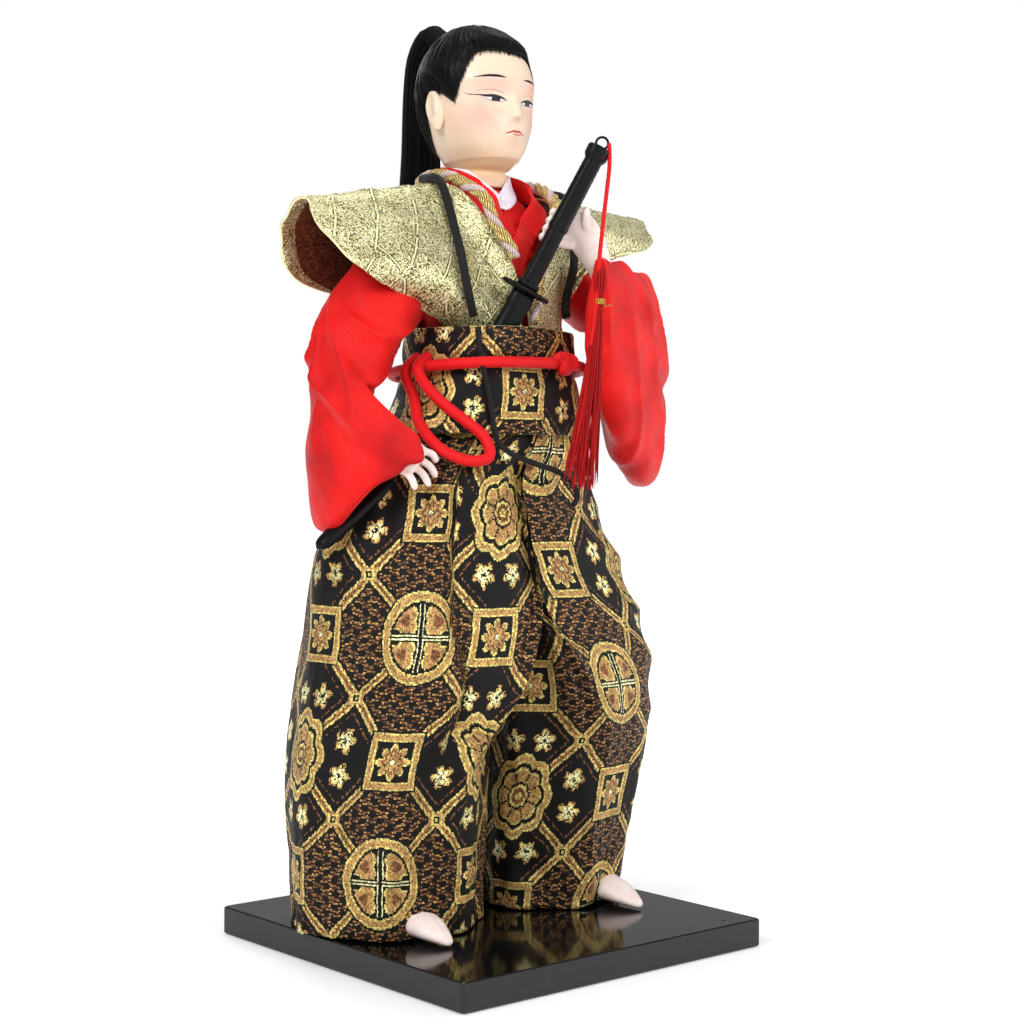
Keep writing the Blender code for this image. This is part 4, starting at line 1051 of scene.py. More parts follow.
@dataclass(frozen=True)
class Lacquer:
    """Black coated wood or plastic, faintly scratched."""

    name: str
    top_roughness: float
    side_roughness: float
    top: Colour = (12, 12, 13)
    side: Colour = (38, 38, 40)
    plate: bool = False
    specular: float = 0.35

    def make(self) -> bpy.types.Material:
        """Make the material.

        Returns:
            The finished material.
        """
        dye = Dye(self.name, self.top_roughness, specular=self.specular)
        x, y, z = dye.place(Places.BODY)
        spot = dye.vector(x, y, z)
        streak = dye.noise(dye.vector(x * 0.12 + y * 0.12, y * 0.1, z * 3.0), 0.9, 4.0)
        cloud = dye.noise(spot, 12.0, 4.0)
        if self.plate:
            upper = z.above(PLATE_TOP / MM - 0.35)
            colour = dye.over(self.side, self.top, upper)
            scratch = streak.above(0.66) * (upper * -1.0 + 1.0)
            colour = dye.over(colour, (74, 74, 76), scratch * 0.5)
            dye.wear(upper * (self.top_roughness - self.side_roughness) + self.side_roughness
                     + (cloud - 0.5) * 0.08, "Roughness")
        else:
            colour = dye.over(self.top, self.side, cloud.above(0.52) * 0.4)
            dye.wear(cloud * 0.12 + self.top_roughness, "Roughness")
        dye.relief(streak * 0.5 + cloud, 0.03, 0.4)
        return dye.done(colour)


@dataclass(frozen=True)
class Strand:
    """Fine black hair."""

    name: str
    dark: Colour = (5, 4, 4)
    light: Colour = (22, 19, 18)
    roughness: float = 0.36

    def make(self) -> bpy.types.Material:
        """Make the material.

        Returns:
            The finished material.
        """
        dye = Dye(self.name, self.roughness, specular=0.13)
        u, v, _ = dye.place(Places.CLOTH)
        x, y, z = dye.place(Places.BODY)
        streak = dye.noise(dye.vector(u * 3.2, v * 0.10), 1.0, 4.0)
        cloud = dye.noise(dye.vector(x, y, z), 3.0, 3.0)
        colour = dye.ramp(streak * 0.6 + cloud * 0.4, [(0.42, self.dark), (0.85, self.light)])
        dye.relief(streak, 0.25, 0.7)
        return dye.done(colour)


@dataclass(frozen=True)
class Cotton:
    """Plain woven cloth of one colour, also used for painted lines and hidden straw or wood."""

    name: str
    light: Colour
    dark: Colour
    roughness: float = 0.8
    weave: float = 0.45
    metallic: float = 0.0

    def make(self) -> bpy.types.Material:
        """Make the material.

        Returns:
            The finished material.
        """
        dye = Dye(self.name, self.roughness, metallic=self.metallic, specular=0.3)
        x, y, z = dye.place(Places.BODY)
        spot = dye.vector(x, y, z)
        cloud = dye.noise(spot, 2.6, 3.0)
        colour = dye.ramp(cloud, [(0.3, self.dark), (0.65, self.light)])
        thread = (x - y).wave(self.weave) * z.wave(self.weave)
        dye.relief(thread * 0.5 + cloud, 0.06, 0.5)
        return dye.done(colour)


class Finishes:
    """Every finish of the doll, made once."""

    def __init__(self) -> None:
        """Make the materials."""
        # The first two tints are blush above the eyes and on the cheeks; the last two, under the nose and
        # under the lower lip, are painted shade.
        face = (BlushAndShade(8.0, 277.2, 6.0, 3.0, 0.70), BlushAndShade(10.5, 267.0, 5.0, 5.0, 0.80),
                BlushAndShade(0.0, 266.0, 1.6, 1.2, 0.35), BlushAndShade(0.0, 258.2, 3.0, 1.2, 0.3))
        self.skin = Porcelain("ivory_skin_finish", blush_and_shade_spots=face).make()
        self.hand = Porcelain("pale_hand_finish", base=(248, 232, 226), warm=(240, 176, 172)).make()
        self.brocade = Brocade("brocade_near_leg").make()
        self.brocade_far = Brocade("brocade_far_leg").make()
        self.brocade_sash = Brocade("brocade_sash", shift=(0.0, 37.5)).make()
        self.lame = Lame("lame_cloth").make()
        self.lining = Lame("lame_lining", lining=True).make()
        self.gauze = Gauze("red_gauze").make()
        self.braid = Thread("red_braid", (232, 18, 26), (104, 0, 4), 0.5, 1.45, braided=True).make()
        self.floss = Thread("red_floss", (250, 30, 32), (224, 12, 16), 0.5, 0.8).make()
        self.gold_strand = Thread("gold_satin_strand", (255, 230, 150), (96, 58, 16), 0.26, 0.9,
                                  metallic=0.45).make()
        self.pale_strand = Thread("pale_satin_strand", (255, 243, 244), (168, 118, 106), 0.32, 0.9).make()
        self.wire = Thread("gold_wire_finish", (238, 200, 96), (150, 100, 30), 0.3, 0.6,
                           metallic=0.9).make()
        self.black_cord = Thread("black_cord_finish", (20, 19, 20), (4, 4, 5), 0.6, 1.2,
                                 braided=True).make()
        self.white_cloth = Cotton("white_cloth_finish", (246, 240, 248), (226, 216, 232)).make()
        self.hair = Strand("black_hair_finish").make()
        self.lacquer = Lacquer("plate_lacquer", 0.10, 0.42, plate=True).make()
        self.satin = Lacquer("sword_black", 0.36, 0.36, top=(7, 7, 8), side=(15, 15, 17),
                             specular=0.14).make()
        self.timber = Cotton("post_timber", (190, 150, 105), (140, 104, 66)).make()
        self.straw = Cotton("core_straw", (200, 176, 120), (150, 124, 74)).make()
        self.ink = Cotton("brow_paint", (30, 24, 24), (16, 12, 12), 0.45).make()
        self.iris = Cotton("iris_paint", (22, 12, 12), (6, 4, 6), 0.15).make()
        self.eye_white = Cotton("eye_white_paint", (240, 236, 240), (222, 216, 224), 0.25).make()
        self.lip = Cotton("lip_paint", (222, 74, 52), (200, 52, 40), 0.35).make()
        self.lid = Cotton("lid_paint", (150, 92, 84), (120, 66, 62), 0.5).make()


# Head and hair

@dataclass
class Head:
    """The bare head with its ears, eyes, brows and mouth."""

    half_width: float = 16.8
    neck: float = 9.3
    nose_height: float = 2.6
    middle: float = 8.0
    brow: tuple[Point, ...] = ((3.7, 279.4, 0.10), (6.4, 279.6, 0.40), (9.8, 279.5, 0.36),
                               (13.0, 279.0, 0.05))
    lash: tuple[Point, ...] = ((3.0, 272.1, 0.12), (4.8, 272.9, 0.34), (7.4, 273.3, 0.46),
                               (9.8, 273.2, 0.38), (12.2, 273.6, 0.05))
    lower_lash: tuple[Point, ...] = ((3.3, 271.9, 0.05), (5.8, 271.7, 0.08), (8.6, 271.9, 0.09),
                                     (10.8, 272.9, 0.05))
    fold: tuple[Point, ...] = ((4.0, 274.2, 0.03), (7.2, 275.2, 0.06), (10.0, 275.1, 0.06),
                               (12.4, 274.6, 0.03))
    mouth: tuple[Point, ...] = ((-4.0, 261.6, 0.06), (-2.4, 262.0, 0.20), (-0.9, 262.5, 0.30),
                                (0.0, 262.2, 0.26), (0.9, 262.5, 0.30), (2.4, 262.0, 0.20),
                                (4.0, 261.6, 0.06))

    def sections(self) -> list[Section]:
        """List the sections of the head in millimetres.

        Returns:
            Height, half width, front and back of each.
        """
        w, n = self.half_width, self.neck
        return [(245.8, n, 8 - n, 8 + n), (250, n * 1.02, 7.4 - n, 8.4 + n),
                (251.0, w * 0.44, -1.4, 18.4), (251.8, w * 0.50, -4.4, 19.2),
                (254.2, w * 0.61, -7.6, 20.4), (258.6, w * 0.755, -9.7, 23.2),
                (264.5, w * 0.895, -10.5, 26), (270, w * 0.975, -10.0, 27.6),
                (274, w * 0.99, -10.0, 28.4), (279, w, -10.2, 28.6), (284, w * 0.95, -9.0, 27.8),
                (288.4, w * 0.86, -6.6, 25.8), (292.2, w * 0.71, -2.6, 22.6),
                (295.2, w * 0.51, 1.8, 18.8), (297.2, w * 0.27, 5.4, 14.0)]

    def nose(self, z: float) -> float:
        """Return the nose's share of its full height at a height."""
        return math.exp(-((z - 267.4) / (1.5 if z < 267.4 else 6.0)) ** 2)

    def relief(self, px: float, z: float) -> float:
        """Return how far the face stands forward of its plain section, in millimetres.

        Args:
            px: The distance from the middle of the face.
            z: The height in millimetres.

        Returns:
            The distance forward.
        """
        side = abs(px)
        rise = self.nose_height * math.exp(-(px / 1.9) ** 2) * self.nose(z)
        rise += 0.55 * math.exp(-((side - 1.9) / 0.8) ** 2 - ((z - 267.1) / 1.1) ** 2)
        rise += 0.8 * math.exp(-(px / 3.6) ** 2 - ((z - 261.4) / 1.9) ** 2)
        rise += 0.30 * math.exp(-(px / 2.4) ** 2 - ((z - 262.9) / 0.7) ** 2)
        rise += 0.34 * math.exp(-(px / 2.2) ** 2 - ((z - 261.0) / 0.8) ** 2)
        rise -= 0.36 * math.exp(-(px / 3.4) ** 2 - ((z - 262.0) / 0.35) ** 2)
        rise += 0.7 * math.exp(-(px / 5.0) ** 2 - ((z - 254.8) / 2.6) ** 2)
        rise -= 0.9 * math.exp(-((side - 6.6) / 4.2) ** 2 - ((z - 271.6) / 2.8) ** 2)
        rise += 0.45 * math.exp(-((side - 8.0) / 3.6) ** 2 - ((z - 272.4) / 1.5) ** 2)
        lid = 273.1 - 0.05 * (side - 8.0) ** 2
        rise -= 0.22 * math.exp(-((side - 8.0) / 3.8) ** 4 - ((z - lid - 1.5) / 0.35) ** 2)
        rise += 0.35 * math.exp(-((side - 9.0) / 4.5) ** 2 - ((z - 279.4) / 1.6) ** 2)
        return rise

    def point(self, z: float, angle: float, lift: float = 0.0, fine: bool = True) -> Vector:
        """Return a point of the head.

        Args:
            z: The height in millimetres.
            angle: The bearing round the head.
            lift: How far to stand off the skin, in metres.
            fine: Whether the face's own forms are included.

        Returns:
            The place.
        """
        half, front, back = section_at(self.sections(), z)
        x, y = math.cos(angle), math.sin(angle)
        power = 0.92 if z > 254 else 1.0
        px = math.copysign(abs(x) ** power, x) * half
        reach = (back - self.middle) if y > 0 else (self.middle - front)
        py = self.middle + math.copysign(abs(y) ** power, y) * reach
        if y < 0 and z > 250 and fine:
            py -= self.relief(px, z)
        out = Vector((px, py - self.middle, (z - 272) * (0.9 if z > 279 else 0.25))).normalized()
        return at(px, py, z) + out * lift

    def face(self, x: float, z: float, lift: float) -> Vector:
        """Return the point of the face at x and z, in millimetres, lifted by metres.

        Args:
            x: The distance from the middle of the face.
            z: The height in millimetres.
            lift: How far to stand off, in metres.

        Returns:
            The place.
        """
        half = section_at(self.sections(), z)[0]
        share = min(0.999, (abs(x) / half) ** (1 / 0.92))
        return self.point(z, math.copysign(math.asin(share), x) - math.pi / 2, lift)

    def line(self, skin: Skin, knots: Sequence[Point], side: float, lift: float, finish: int) -> None:
        """Paint a tapered line on the face.

        Args:
            skin: The mesh that takes it.
            knots: Points of x, z and half width.
            side: -1 or 1, the side of the face.
            lift: The paint's height over the skin in metres.
            finish: The index of the paint.
        """
        rows = []
        count = 30
        for i in range(count):
            x, z, half = blend_rows(knots, i / (count - 1))
            ahead = blend_rows(knots, min(1.0, (i + 0.5) / (count - 1)))
            behind = blend_rows(knots, max(0.0, (i - 0.5) / (count - 1)))
            run = Vector((ahead[0] - behind[0], ahead[1] - behind[1])).normalized()
            half = max(half, 0.02)
            rows.append([self.face(side * (x - run.y * half * k), z + run.x * half * k,
                                   lift * (1 - 0.8 * abs(k))) for k in (-1, -0.5, 0, 0.5, 1)])
        skin.sheet(rows, finish=finish, flip=side > 0)

    def patch(self, skin: Skin, low: Sequence[Point], high: Sequence[Point], side: float,
              lift: float, finish: int) -> None:
        """Paint the area between two lines of the face.

        Args:
            skin: The mesh that takes it.
            low: The lower line.
            high: The upper line.
            side: -1 or 1, the side of the face.
            lift: How far to stand off, in metres.
            finish: The index of the paint.
        """
        rows = []
        for i in range(24):
            a, b = blend_rows(low, i / 23), blend_rows(high, i / 23)
            rows.append([self.face(side * (a[0] + (b[0] - a[0]) * k / 6),
                                   a[1] + (b[1] - a[1]) * k / 6, lift) for k in range(7)])
        skin.sheet(rows, finish=finish, flip=side < 0)

    def ear(self, side: int) -> Skin:
        """Make one ear with its rim and hollow.

        Args:
            side: -1 for the doll's right, 1 for its left.

        Returns:
            The ear's mesh.
        """
        skin, rows = Skin(), []
        for i in range(41):
            f = i / 40
            size = math.sin(math.pi * (0.06 + 0.88 * f)) ** 0.7
            middle = at(side * (self.half_width + 0.2 + 0.5 * f), 8.4 + 1.9 * f, 263.4 + 12.6 * f)
            ring = []
            for k in range(40):
                angle = 2 * math.pi * k / 40
                c, s = math.cos(angle), math.sin(angle)
                hollow = 1 - 0.55 * math.exp(-((abs(s) / 0.55) ** 2)) * (0.3 < f < 0.9)
                ring.append(middle + Vector((side * 0.0023 * size * (c * hollow if c > 0 else c),
                                             0.0009 * size * c + 0.0036 * size * (0.70 + 0.4 * f) * s,
                                             0)))
            rows.append(ring)
        skin.sheet(rows, closed=True, flip=side < 0)
        skin.cap(rows[0], flip=side > 0)
        skin.cap(rows[-1], flip=side < 0)
        return skin

    def build(self, finishes: Finishes) -> None:
        """Make the head, the ears and the painted face.

        Args:
            finishes: The doll's materials.
        """
        rows, columns = [], 190
        for i in range(190):
            z = 245.8 + (297.2 - 245.8) * i / 189
            rows.append([self.point(z, -math.pi / 2 + 2 * math.pi * k / columns
                                    + 0.35 * math.sin(4 * math.pi * k / columns))
                         for k in range(columns)])
        skin = Skin().sheet(rows, closed=True)
        skin.cap(rows[-1])
        skin.cap(rows[0], flip=True)
        seat(skin.build("head_skin", finishes.skin), "ivory_skin", "head")
        for side, name in ((-1, "ear_right"), (1, "ear_left")):
            seat(self.ear(side).build(name, finishes.skin), "ivory_skin")
        paint = Skin()
        for side in (-1.0, 1.0):
            self.patch(paint, self.lower_lash, self.lash, side, 0.00003, 2)
            iris_low = ((5.2, 271.8, 0.0), (6.6, 271.6, 0.0), (8.0, 271.8, 0.0))
            iris_high = ((5.2, 273.0, 0.0), (6.6, 273.2, 0.0), (8.0, 273.2, 0.0))
            self.patch(paint, iris_low, iris_high, side, 0.00006, 1)
            self.line(paint, self.brow, side, 0.00008, 0)
            self.line(paint, self.lash, side, 0.00013, 0)
            self.line(paint, self.lower_lash, side, 0.00008, 4)
            self.line(paint, self.fold, side, 0.00004, 4)
            for k in range(5):
                x = 10.8 + 0.6 * k
                self.line(paint, ((x, 273.3, 0.08), (x + 0.7, 273.4 + 0.10 * k, 0.05),
                                  (x + 1.4, 273.4 + 0.25 * k, 0.01)), side, 0.00010, 0)
        self.line(paint, self.mouth, 1.0, 0.00010, 3)
        lower = ((-1.9, 261.4, 0.03), (-0.8, 261.3, 0.16), (0.8, 261.3, 0.16), (1.9, 261.4, 0.03))
        self.line(paint, lower, 1.0, 0.00010, 3)
        self.line(paint, tuple((x, z - 0.22, 0.04) for x, z, _ in self.mouth), 1.0, 0.00016, 4)
        piece = paint.build("face_paint", finishes.ink, finishes.iris, finishes.eye_white,
                            finishes.lip, finishes.lid, weld=1e-8)
        seat(piece, "ivory_skin")


@dataclass
class Hair:
    """The swept-back hair, its bound hoop and the thick tail behind the back."""

    head: Head
    thickness: float = 0.0022
    tie_radius: float = 0.0046
    tail_width: float = 0.0150
    locks: int = 450
    seed: int = 7

    def lower_edge(self, angle: float) -> float:
        """Return the height of the hair's edge at a bearing round the head.

        Args:
            angle: The bearing in radians.

        Returns:
            The height in millimetres.
        """
        turn = abs((angle + math.pi / 2 + math.pi) % (2 * math.pi) - math.pi)
        marks = [(0.0, 288.2), (0.45, 288.2), (0.80, 286.8), (0.92, 284.6), (1.10, 277.4), (1.24, 271.4),
                 (1.36, 273.0), (1.50, 274.8), (1.84, 274.2), (1.98, 264.0), (2.2, 258.5), (3.2, 257.0)]
        for (a, low), (b, high) in zip(marks, marks[1:]):
            if turn <= b:
                return low + (high - low) * (turn - a) / (b - a)
        return marks[-1][1]

    def tie(self) -> tuple[Vector, Vector]:
        """Return both ends of the bound hoop's axis."""
        return at(0, 24.6, 291.4), at(0, 27.6, 296.4)

    def surface(self, angle: float, share: float, lift: float) -> Vector:
        """Return a point of the hair from its edge, share 0, to the crown, share 1.

        Args:
            angle: The bearing in radians.
            share: The place from edge to crown.
            lift: How far to stand off, in metres.

        Returns:
            The place.
        """
        low = self.lower_edge(angle)
        z = low + (297.0 - low) * share ** 0.8
        front = ease(-math.sin(angle) * 1.4) * ease((291 - z) / 6)
        grow = 0.0005 + (lift * (1 - 0.55 * front) - 0.0005) * min(1.0, 3.0 * share + 0.1)
        return self.head.point(z, angle, grow, fine=False)

    def cap(self, finishes: Finishes) -> None:
        """Make the grooved cap.

        Args:
            finishes: The doll's materials.
        """
        columns, rows = 300, 46
        grid, places = [], []
        crown = at(0, 9.4, 297.3) + Vector((0, 0, self.thickness))
        for j in range(rows + 1):
            share = j / rows
            ring = []
            for k in range(columns):
                angle = 2 * math.pi * k / columns
                groove = 0.00022 * math.sin(angle * 46 + 2.2 * ripple(angle * 6, share * 3, 0, 1.0))
                groove += 0.00016 * ripple(angle * 30, share * 2, 5, 1.0)
                point = self.surface(angle, min(share, 0.999), self.thickness + groove)
                ring.append(point.lerp(crown, max(0.0, (share - 0.93) / 0.07)))
            grid.append(ring)
            places.append([(k / columns * 0.11, share * 0.03) for k in range(columns + 1)])
        skin = Skin().sheet(grid, places, closed=True)
        inner = [[self.surface(2 * math.pi * k / columns, share, 0.0002) for k in range(columns)]
                 for share in (0.0, 0.03)]
        skin.sheet([inner[1], inner[0], grid[0]], closed=True)
        seat(skin.build("hair_cap_swept", finishes.hair), "black_hair", "hair_cap")

    def swept(self, finishes: Finishes) -> None:
        """Make the separate locks that run from the hairline to the tie.

        Args:
            finishes: The doll's materials.
        """
        draw = random.Random(self.seed)
        bottom, top = self.tie()
        lines = []
        for n in range(self.locks):
            angle = 2 * math.pi * (n + draw.random()) / self.locks
            start = self.surface(angle, 0.012 + 0.02 * draw.random(), self.thickness * 0.5)
            path = []
            goal = bottom.lerp(top, 0.1) + Vector((math.cos(angle), 0, 0)) * self.tie_radius * 0.8
            goal_angle = math.atan2(1.0, math.cos(angle) * 0.30)
            turn = (goal_angle - angle + math.pi) % (2 * math.pi) - math.pi
            for i in range(15):
                f = i / 14
                bearing = angle + turn * ease(f) ** 1.2
                rise = 0.02 + 0.9 * f ** 0.9 if abs(turn) < 2.2 else 0.02 + 1.15 * math.sin(f * 2.1)
                low = self.lower_edge(angle)
                z = height_of(start)
                z = z + (292.5 - z) * f ** 0.9 + (3.4 * math.sin(math.pi * f)
                                                  if low > 283 else 0.0)
                bearing_low = self.lower_edge(bearing) + 0.8
                front = ease(-math.sin(bearing) * 1.4) * ease((291 - z) / 6)
                point = self.head.point(min(max(z, bearing_low), 297.0), bearing,
                                        self.thickness * min(1.0, 0.35 + 2.2 * rise) * (1 - 0.55 * front)
                                        + 0.00012 * draw.random(), fine=False)
                path.append(point)
            path[-1] = goal
            lines.append((smooth_path(path, 26), 0.00012 + 0.00006 * draw.random()))
        seat(strands("hair_locks", lines, finishes.hair), "black_hair")

    def edge_hairs(self, finishes: Finishes) -> None:
        """Make the fine painted-looking hairs that soften the hairline.

        Args:
            finishes: The doll's materials.
        """
        draw = random.Random(self.seed + 1)
        lines = []
        for _ in range(420):
            turn = draw.uniform(-1.24, 1.24)
            angle = -math.pi / 2 + turn
            low = self.lower_edge(angle)
            lean = 0.02 * math.copysign(1, turn) * draw.random()
            long = draw.uniform(0.8, 2.3)
            path = []
            for i in range(4):
                z = low + 0.9 - long * (i / 3)
                path.append(self.head.point(z, angle - lean * i / 3 * 2, 0.00018 - 0.00005 * i,
                                            fine=False))
            lines.append((path, draw.uniform(0.00003, 0.00006)))
        seat(strands("hairline_wisps", lines, finishes.hair, 0), "black_hair")

    def hoop(self, finishes: Finishes) -> None:
        """Make the bound hoop as a close winding.

        Args:
            finishes: The doll's materials.
        """
        bottom, top = self.tie()
        axis = (top - bottom).normalized()
        across = Vector((1, 0, 0))
        along = axis.cross(across)
        path = []
        for i in range(7 * 24 + 1):
            f = i / (7 * 24)
            angle = 2 * math.pi * 7 * f
            reach = self.tie_radius * (0.88 + 0.10 * math.sin(math.pi * f))
            path.append(bottom.lerp(top, 0.04 + 0.92 * f) + across * reach * math.cos(angle)
                        + along * reach * math.sin(angle))
        skin = Skin().tube(path, 0.00042, 10, guide=lambda p: axis)
        skin.tube([bottom.lerp(top, f) for f in (0.0, 0.3, 0.7, 1.0)], self.tie_radius * 0.86, 32,
                  guide=lambda p: across)
        seat(skin.build("hair_binding", finishes.black_cord), "black_hair", "hair_tie")

    def tail(self, finishes: Finishes) -> None:
        """Make the tail as a body under many long strands.

        Args:
            finishes: The doll's materials.
        """
        axis_low, axis_top = self.tie()
        axis = (axis_top - axis_low).normalized()
        wide = self.tail_width / 2
        knots = [axis_top - axis * 0.0006, at(0, 32.4, 299.6), at(0, 37.4, 293), at(0, 38.8, 280),
                 at(0, 38.8, 262), at(0, 39.0, 246), at(0, 38.6, 228), at(0, 38.0, 212)]
        sizes = [(0.52, 0.50), (0.66, 0.56), (0.80, 0.64), (0.86, 0.70), (0.92, 0.74), (1.0, 0.78),
                 (0.88, 0.62), (0.45, 0.30)]
        points = smooth_path(knots, 44)
        steps = path_frames(points, lambda p: Vector((1, 0, 0)))
        rows = []
        for i, (_, side, out) in enumerate(steps):
            a, b = blend_rows(sizes, i / 43)
            rows.append([points[i] + out * wide * 0.9 * a * math.cos(2 * math.pi * k / 48)
                         * (1 + 0.05 * math.cos(10 * math.pi * k / 48 + 0.1 * i))
                         + side * wide * 0.9 * b * math.sin(2 * math.pi * k / 48) for k in range(48)])
        body = Skin().loft(rows, [[(k / 48 * 0.04, i * 0.003) for k in range(49)] for i in range(44)])
        seat(body.build("ponytail_body", finishes.hair), "black_hair", "ponytail")
        draw = random.Random(self.seed + 2)
        lines = []
        for _ in range(420):
            angle, reach = draw.uniform(0, 2 * math.pi), draw.uniform(0.84, 1.02)
            drift, end = draw.uniform(-0.25, 0.25), draw.uniform(0.90, 1.0)
            count = 24
            path = []
            for i in range(count):
                f = end * i / (count - 1)
                place = f * 43
                k = min(int(place), 42)
                middle = points[k].lerp(points[k + 1], place - k)
                _, side, out = steps[k]
                a, b = blend_rows(sizes, f)
                path.append(middle + out * wide * a * reach * math.cos(angle + drift * f)
                            + side * wide * b * reach * math.sin(angle + drift * f))
            lines.append((path, draw.uniform(0.00010, 0.00018)))
        seat(strands("ponytail_strands", lines, finishes.hair), "black_hair")

    def build(self, finishes: Finishes) -> None:
        """Make all the hair.

        Args:
            finishes: The doll's materials.
        """
        self.cap(finishes)
        self.swept(finishes)
        self.edge_hairs(finishes)
        self.hoop(finishes)
        self.tail(finishes)


# Clothes

@dataclass(frozen=True)
class Sword:
    """Where the sword lies, with its grip, guard, scabbard and ring."""

    top: Point = (9.5, -40.0, 254.8)
    guard: Point = (-7.4, -24.2, 210.0)
    tip: Point = (-67.5, 3.0, 129.2)
    bend_share: float = 0.505
    hilt_width: float = 0.0062
    hilt_depth: float = 0.0052
    guard_length: float = 0.0172
    guard_thickness: float = 0.0012
    scabbard_width: float = 0.0078
    scabbard_depth: float = 0.0054
    ring_diameter: float = 0.0046
    ring_wire: float = 0.0008

    @property
    def heading(self) -> Vector:
        """Return the unit vector from the grip's top to the guard."""
        return (at(*self.guard) - at(*self.top)).normalized()

    @property
    def ring_centre(self) -> Vector:
        """Return the middle of the ring at the end cap."""
        return at(*self.top) - self.heading * self.ring_diameter * 0.24 + Vector((0, 0, 0.0002))

    def scabbard_point(self, t: float) -> Vector:
        """Return the scabbard's centre from the guard, 0, to the tip, 1.

        Args:
            t: The place along it.

        Returns:
            The place.
        """
        start, end = at(*self.guard), at(*self.tip)
        bend = start + self.heading * (end - start).length * self.bend_share
        return start * (1 - t) ** 2 + bend * 2 * t * (1 - t) + end * t * t

    def scabbard_at_height(self, z: float) -> Vector:
        """Return the scabbard's centre at a height in metres.

        Args:
            z: The height in metres.

        Returns:
            The place.
        """
        low, high = 0.0, 1.0
        for _ in range(30):
            middle = (low + high) / 2
            if self.scabbard_point(middle).z > z:
                low = middle
            else:
                high = middle
        return self.scabbard_point((low + high) / 2)

    def build(self, finishes: Finishes) -> None:
        """Make the grip, guard, scabbard and ring.

        Args:
            finishes: The doll's materials.
        """
        start = at(*self.guard) - self.heading * (self.guard_thickness / 2 + SEAT_GAP)
        length = (start - at(*self.top)).length
        profile = [(0.0, 1.10), (0.008, 1.18), (0.03, 1.18), (0.045, 1.0), (0.06, 0.96),
                   (0.40, 0.94), (0.415, 1.04), (0.425, 1.10), (0.445, 1.10), (0.455, 1.04),
                   (0.90, 1.02), (0.918, 1.22), (0.93, 1.33), (0.985, 1.36), (0.996, 1.22),
                   (1.0, 1.0)]
        points, sizes = [], []
        for (a, size_a), (b, size_b) in zip(profile, profile[1:]):
            steps = max(1, round((b - a) * 150))
            for k in range(steps):
                f = a + (b - a) * k / steps
                points.append(start - self.heading * length * f)
                sizes.append(size_a + (size_b - size_a) * k / steps)
        points.append(start - self.heading * length)
        sizes.append(profile[-1][1])
        rows = []
        for i, (_, side, out) in enumerate(path_frames(points, outward)):
            ring = []
            share = (points[i] - start).length / length
            for k in range(64):
                angle = 2 * math.pi * k / 64
                wrap = 0.0
                if 0.07 < share < 0.39 or 0.47 < share < 0.89:
                    turn = share * 26 * math.pi
                    wrap = 0.00007 * max(math.cos(2 * angle + turn), math.cos(2 * angle - turn)) ** 5
                ring.append(points[i] + side * (self.hilt_width / 2 * sizes[i] + wrap) * math.cos(angle)
                            + out * (self.hilt_depth / 2 * sizes[i] + wrap) * math.sin(angle))
            rows.append(ring)
        grip = Skin().loft(rows)
        seat(grip.build("sword_grip", finishes.satin), "satin_black", "sword_hilt")
        self.plate(finishes)
        self.sheath(finishes)
        across = Vector(TO_THE_RIGHT).normalized()
        along = (-self.heading - across * -self.heading.dot(across)).normalized()
        radius = (self.ring_diameter - self.ring_wire) / 2
        hoop = [self.ring_centre + (across * math.cos(a) + along * math.sin(a)) * radius
                for a in (2 * math.pi * i / 72 for i in range(73))]
        seat(Skin().tube(hoop, self.ring_wire / 2, 14, guide=lambda p: p - self.ring_centre,
                         caps=False).build("grip_ring", finishes.satin), "satin_black", "pommel_ring")

    def plate(self, finishes: Finishes) -> None:
        """Make the oval guard with its raised rim.

        Args:
            finishes: The doll's materials.
        """
        middle = at(*self.guard)
        _, side, out = path_frames([middle, middle + self.heading], outward)[0]
        rows = []
        outline = [(-0.30, 0.0), (-0.30, 0.82), (-0.50, 0.88), (-0.50, 0.96), (-0.25, 1.0),
                   (0.25, 1.0), (0.50, 0.96), (0.50, 0.88), (0.30, 0.82), (0.30, 0.0)]
        for f, size in outline:
            centre = middle + self.heading * self.guard_thickness * f
            reach = max(size, 0.02)
            rows.append([centre + side * self.guard_length / 2 * reach * math.cos(2 * math.pi * k / 72)
                         + out * self.guard_length * 0.31 * reach * math.sin(2 * math.pi * k / 72)
                         for k in range(72)])
        skin = Skin().loft(rows)
        seat(skin.build("guard_plate", finishes.satin), "satin_black", "sword_guard")

    def sheath(self, finishes: Finishes) -> None:
        """Make the scabbard with its mouth band.

        Args:
            finishes: The doll's materials.
        """
        mouth = (self.guard_thickness / 2 + SEAT_GAP) / (at(*self.tip) - at(*self.guard)).length
        count = 90
        points = [self.scabbard_point(mouth + (1 - mouth) * i / (count - 1)) for i in range(count)]
        rows = []
        for i, (_, side, out) in enumerate(path_frames(points, outward)):
            t = i / (count - 1)
            size = (1 - 0.28 * t) * (1.05 if 0.02 < t < 0.05 else 1.0)
            size *= math.sqrt(max(0.0, 1 - max(0.0, (t - 0.955) / 0.045) ** 2)) * 0.94 + 0.06
            rows.append([points[i] + side * self.scabbard_width / 2 * size * math.cos(2 * math.pi * k / 48)
                         + out * self.scabbard_depth / 2 * size * math.sin(2 * math.pi * k / 48)
                         for k in range(48)])
        skin = Skin().loft(rows)
        seat(skin.build("scabbard_shell", finishes.satin), "satin_black", "scabbard")


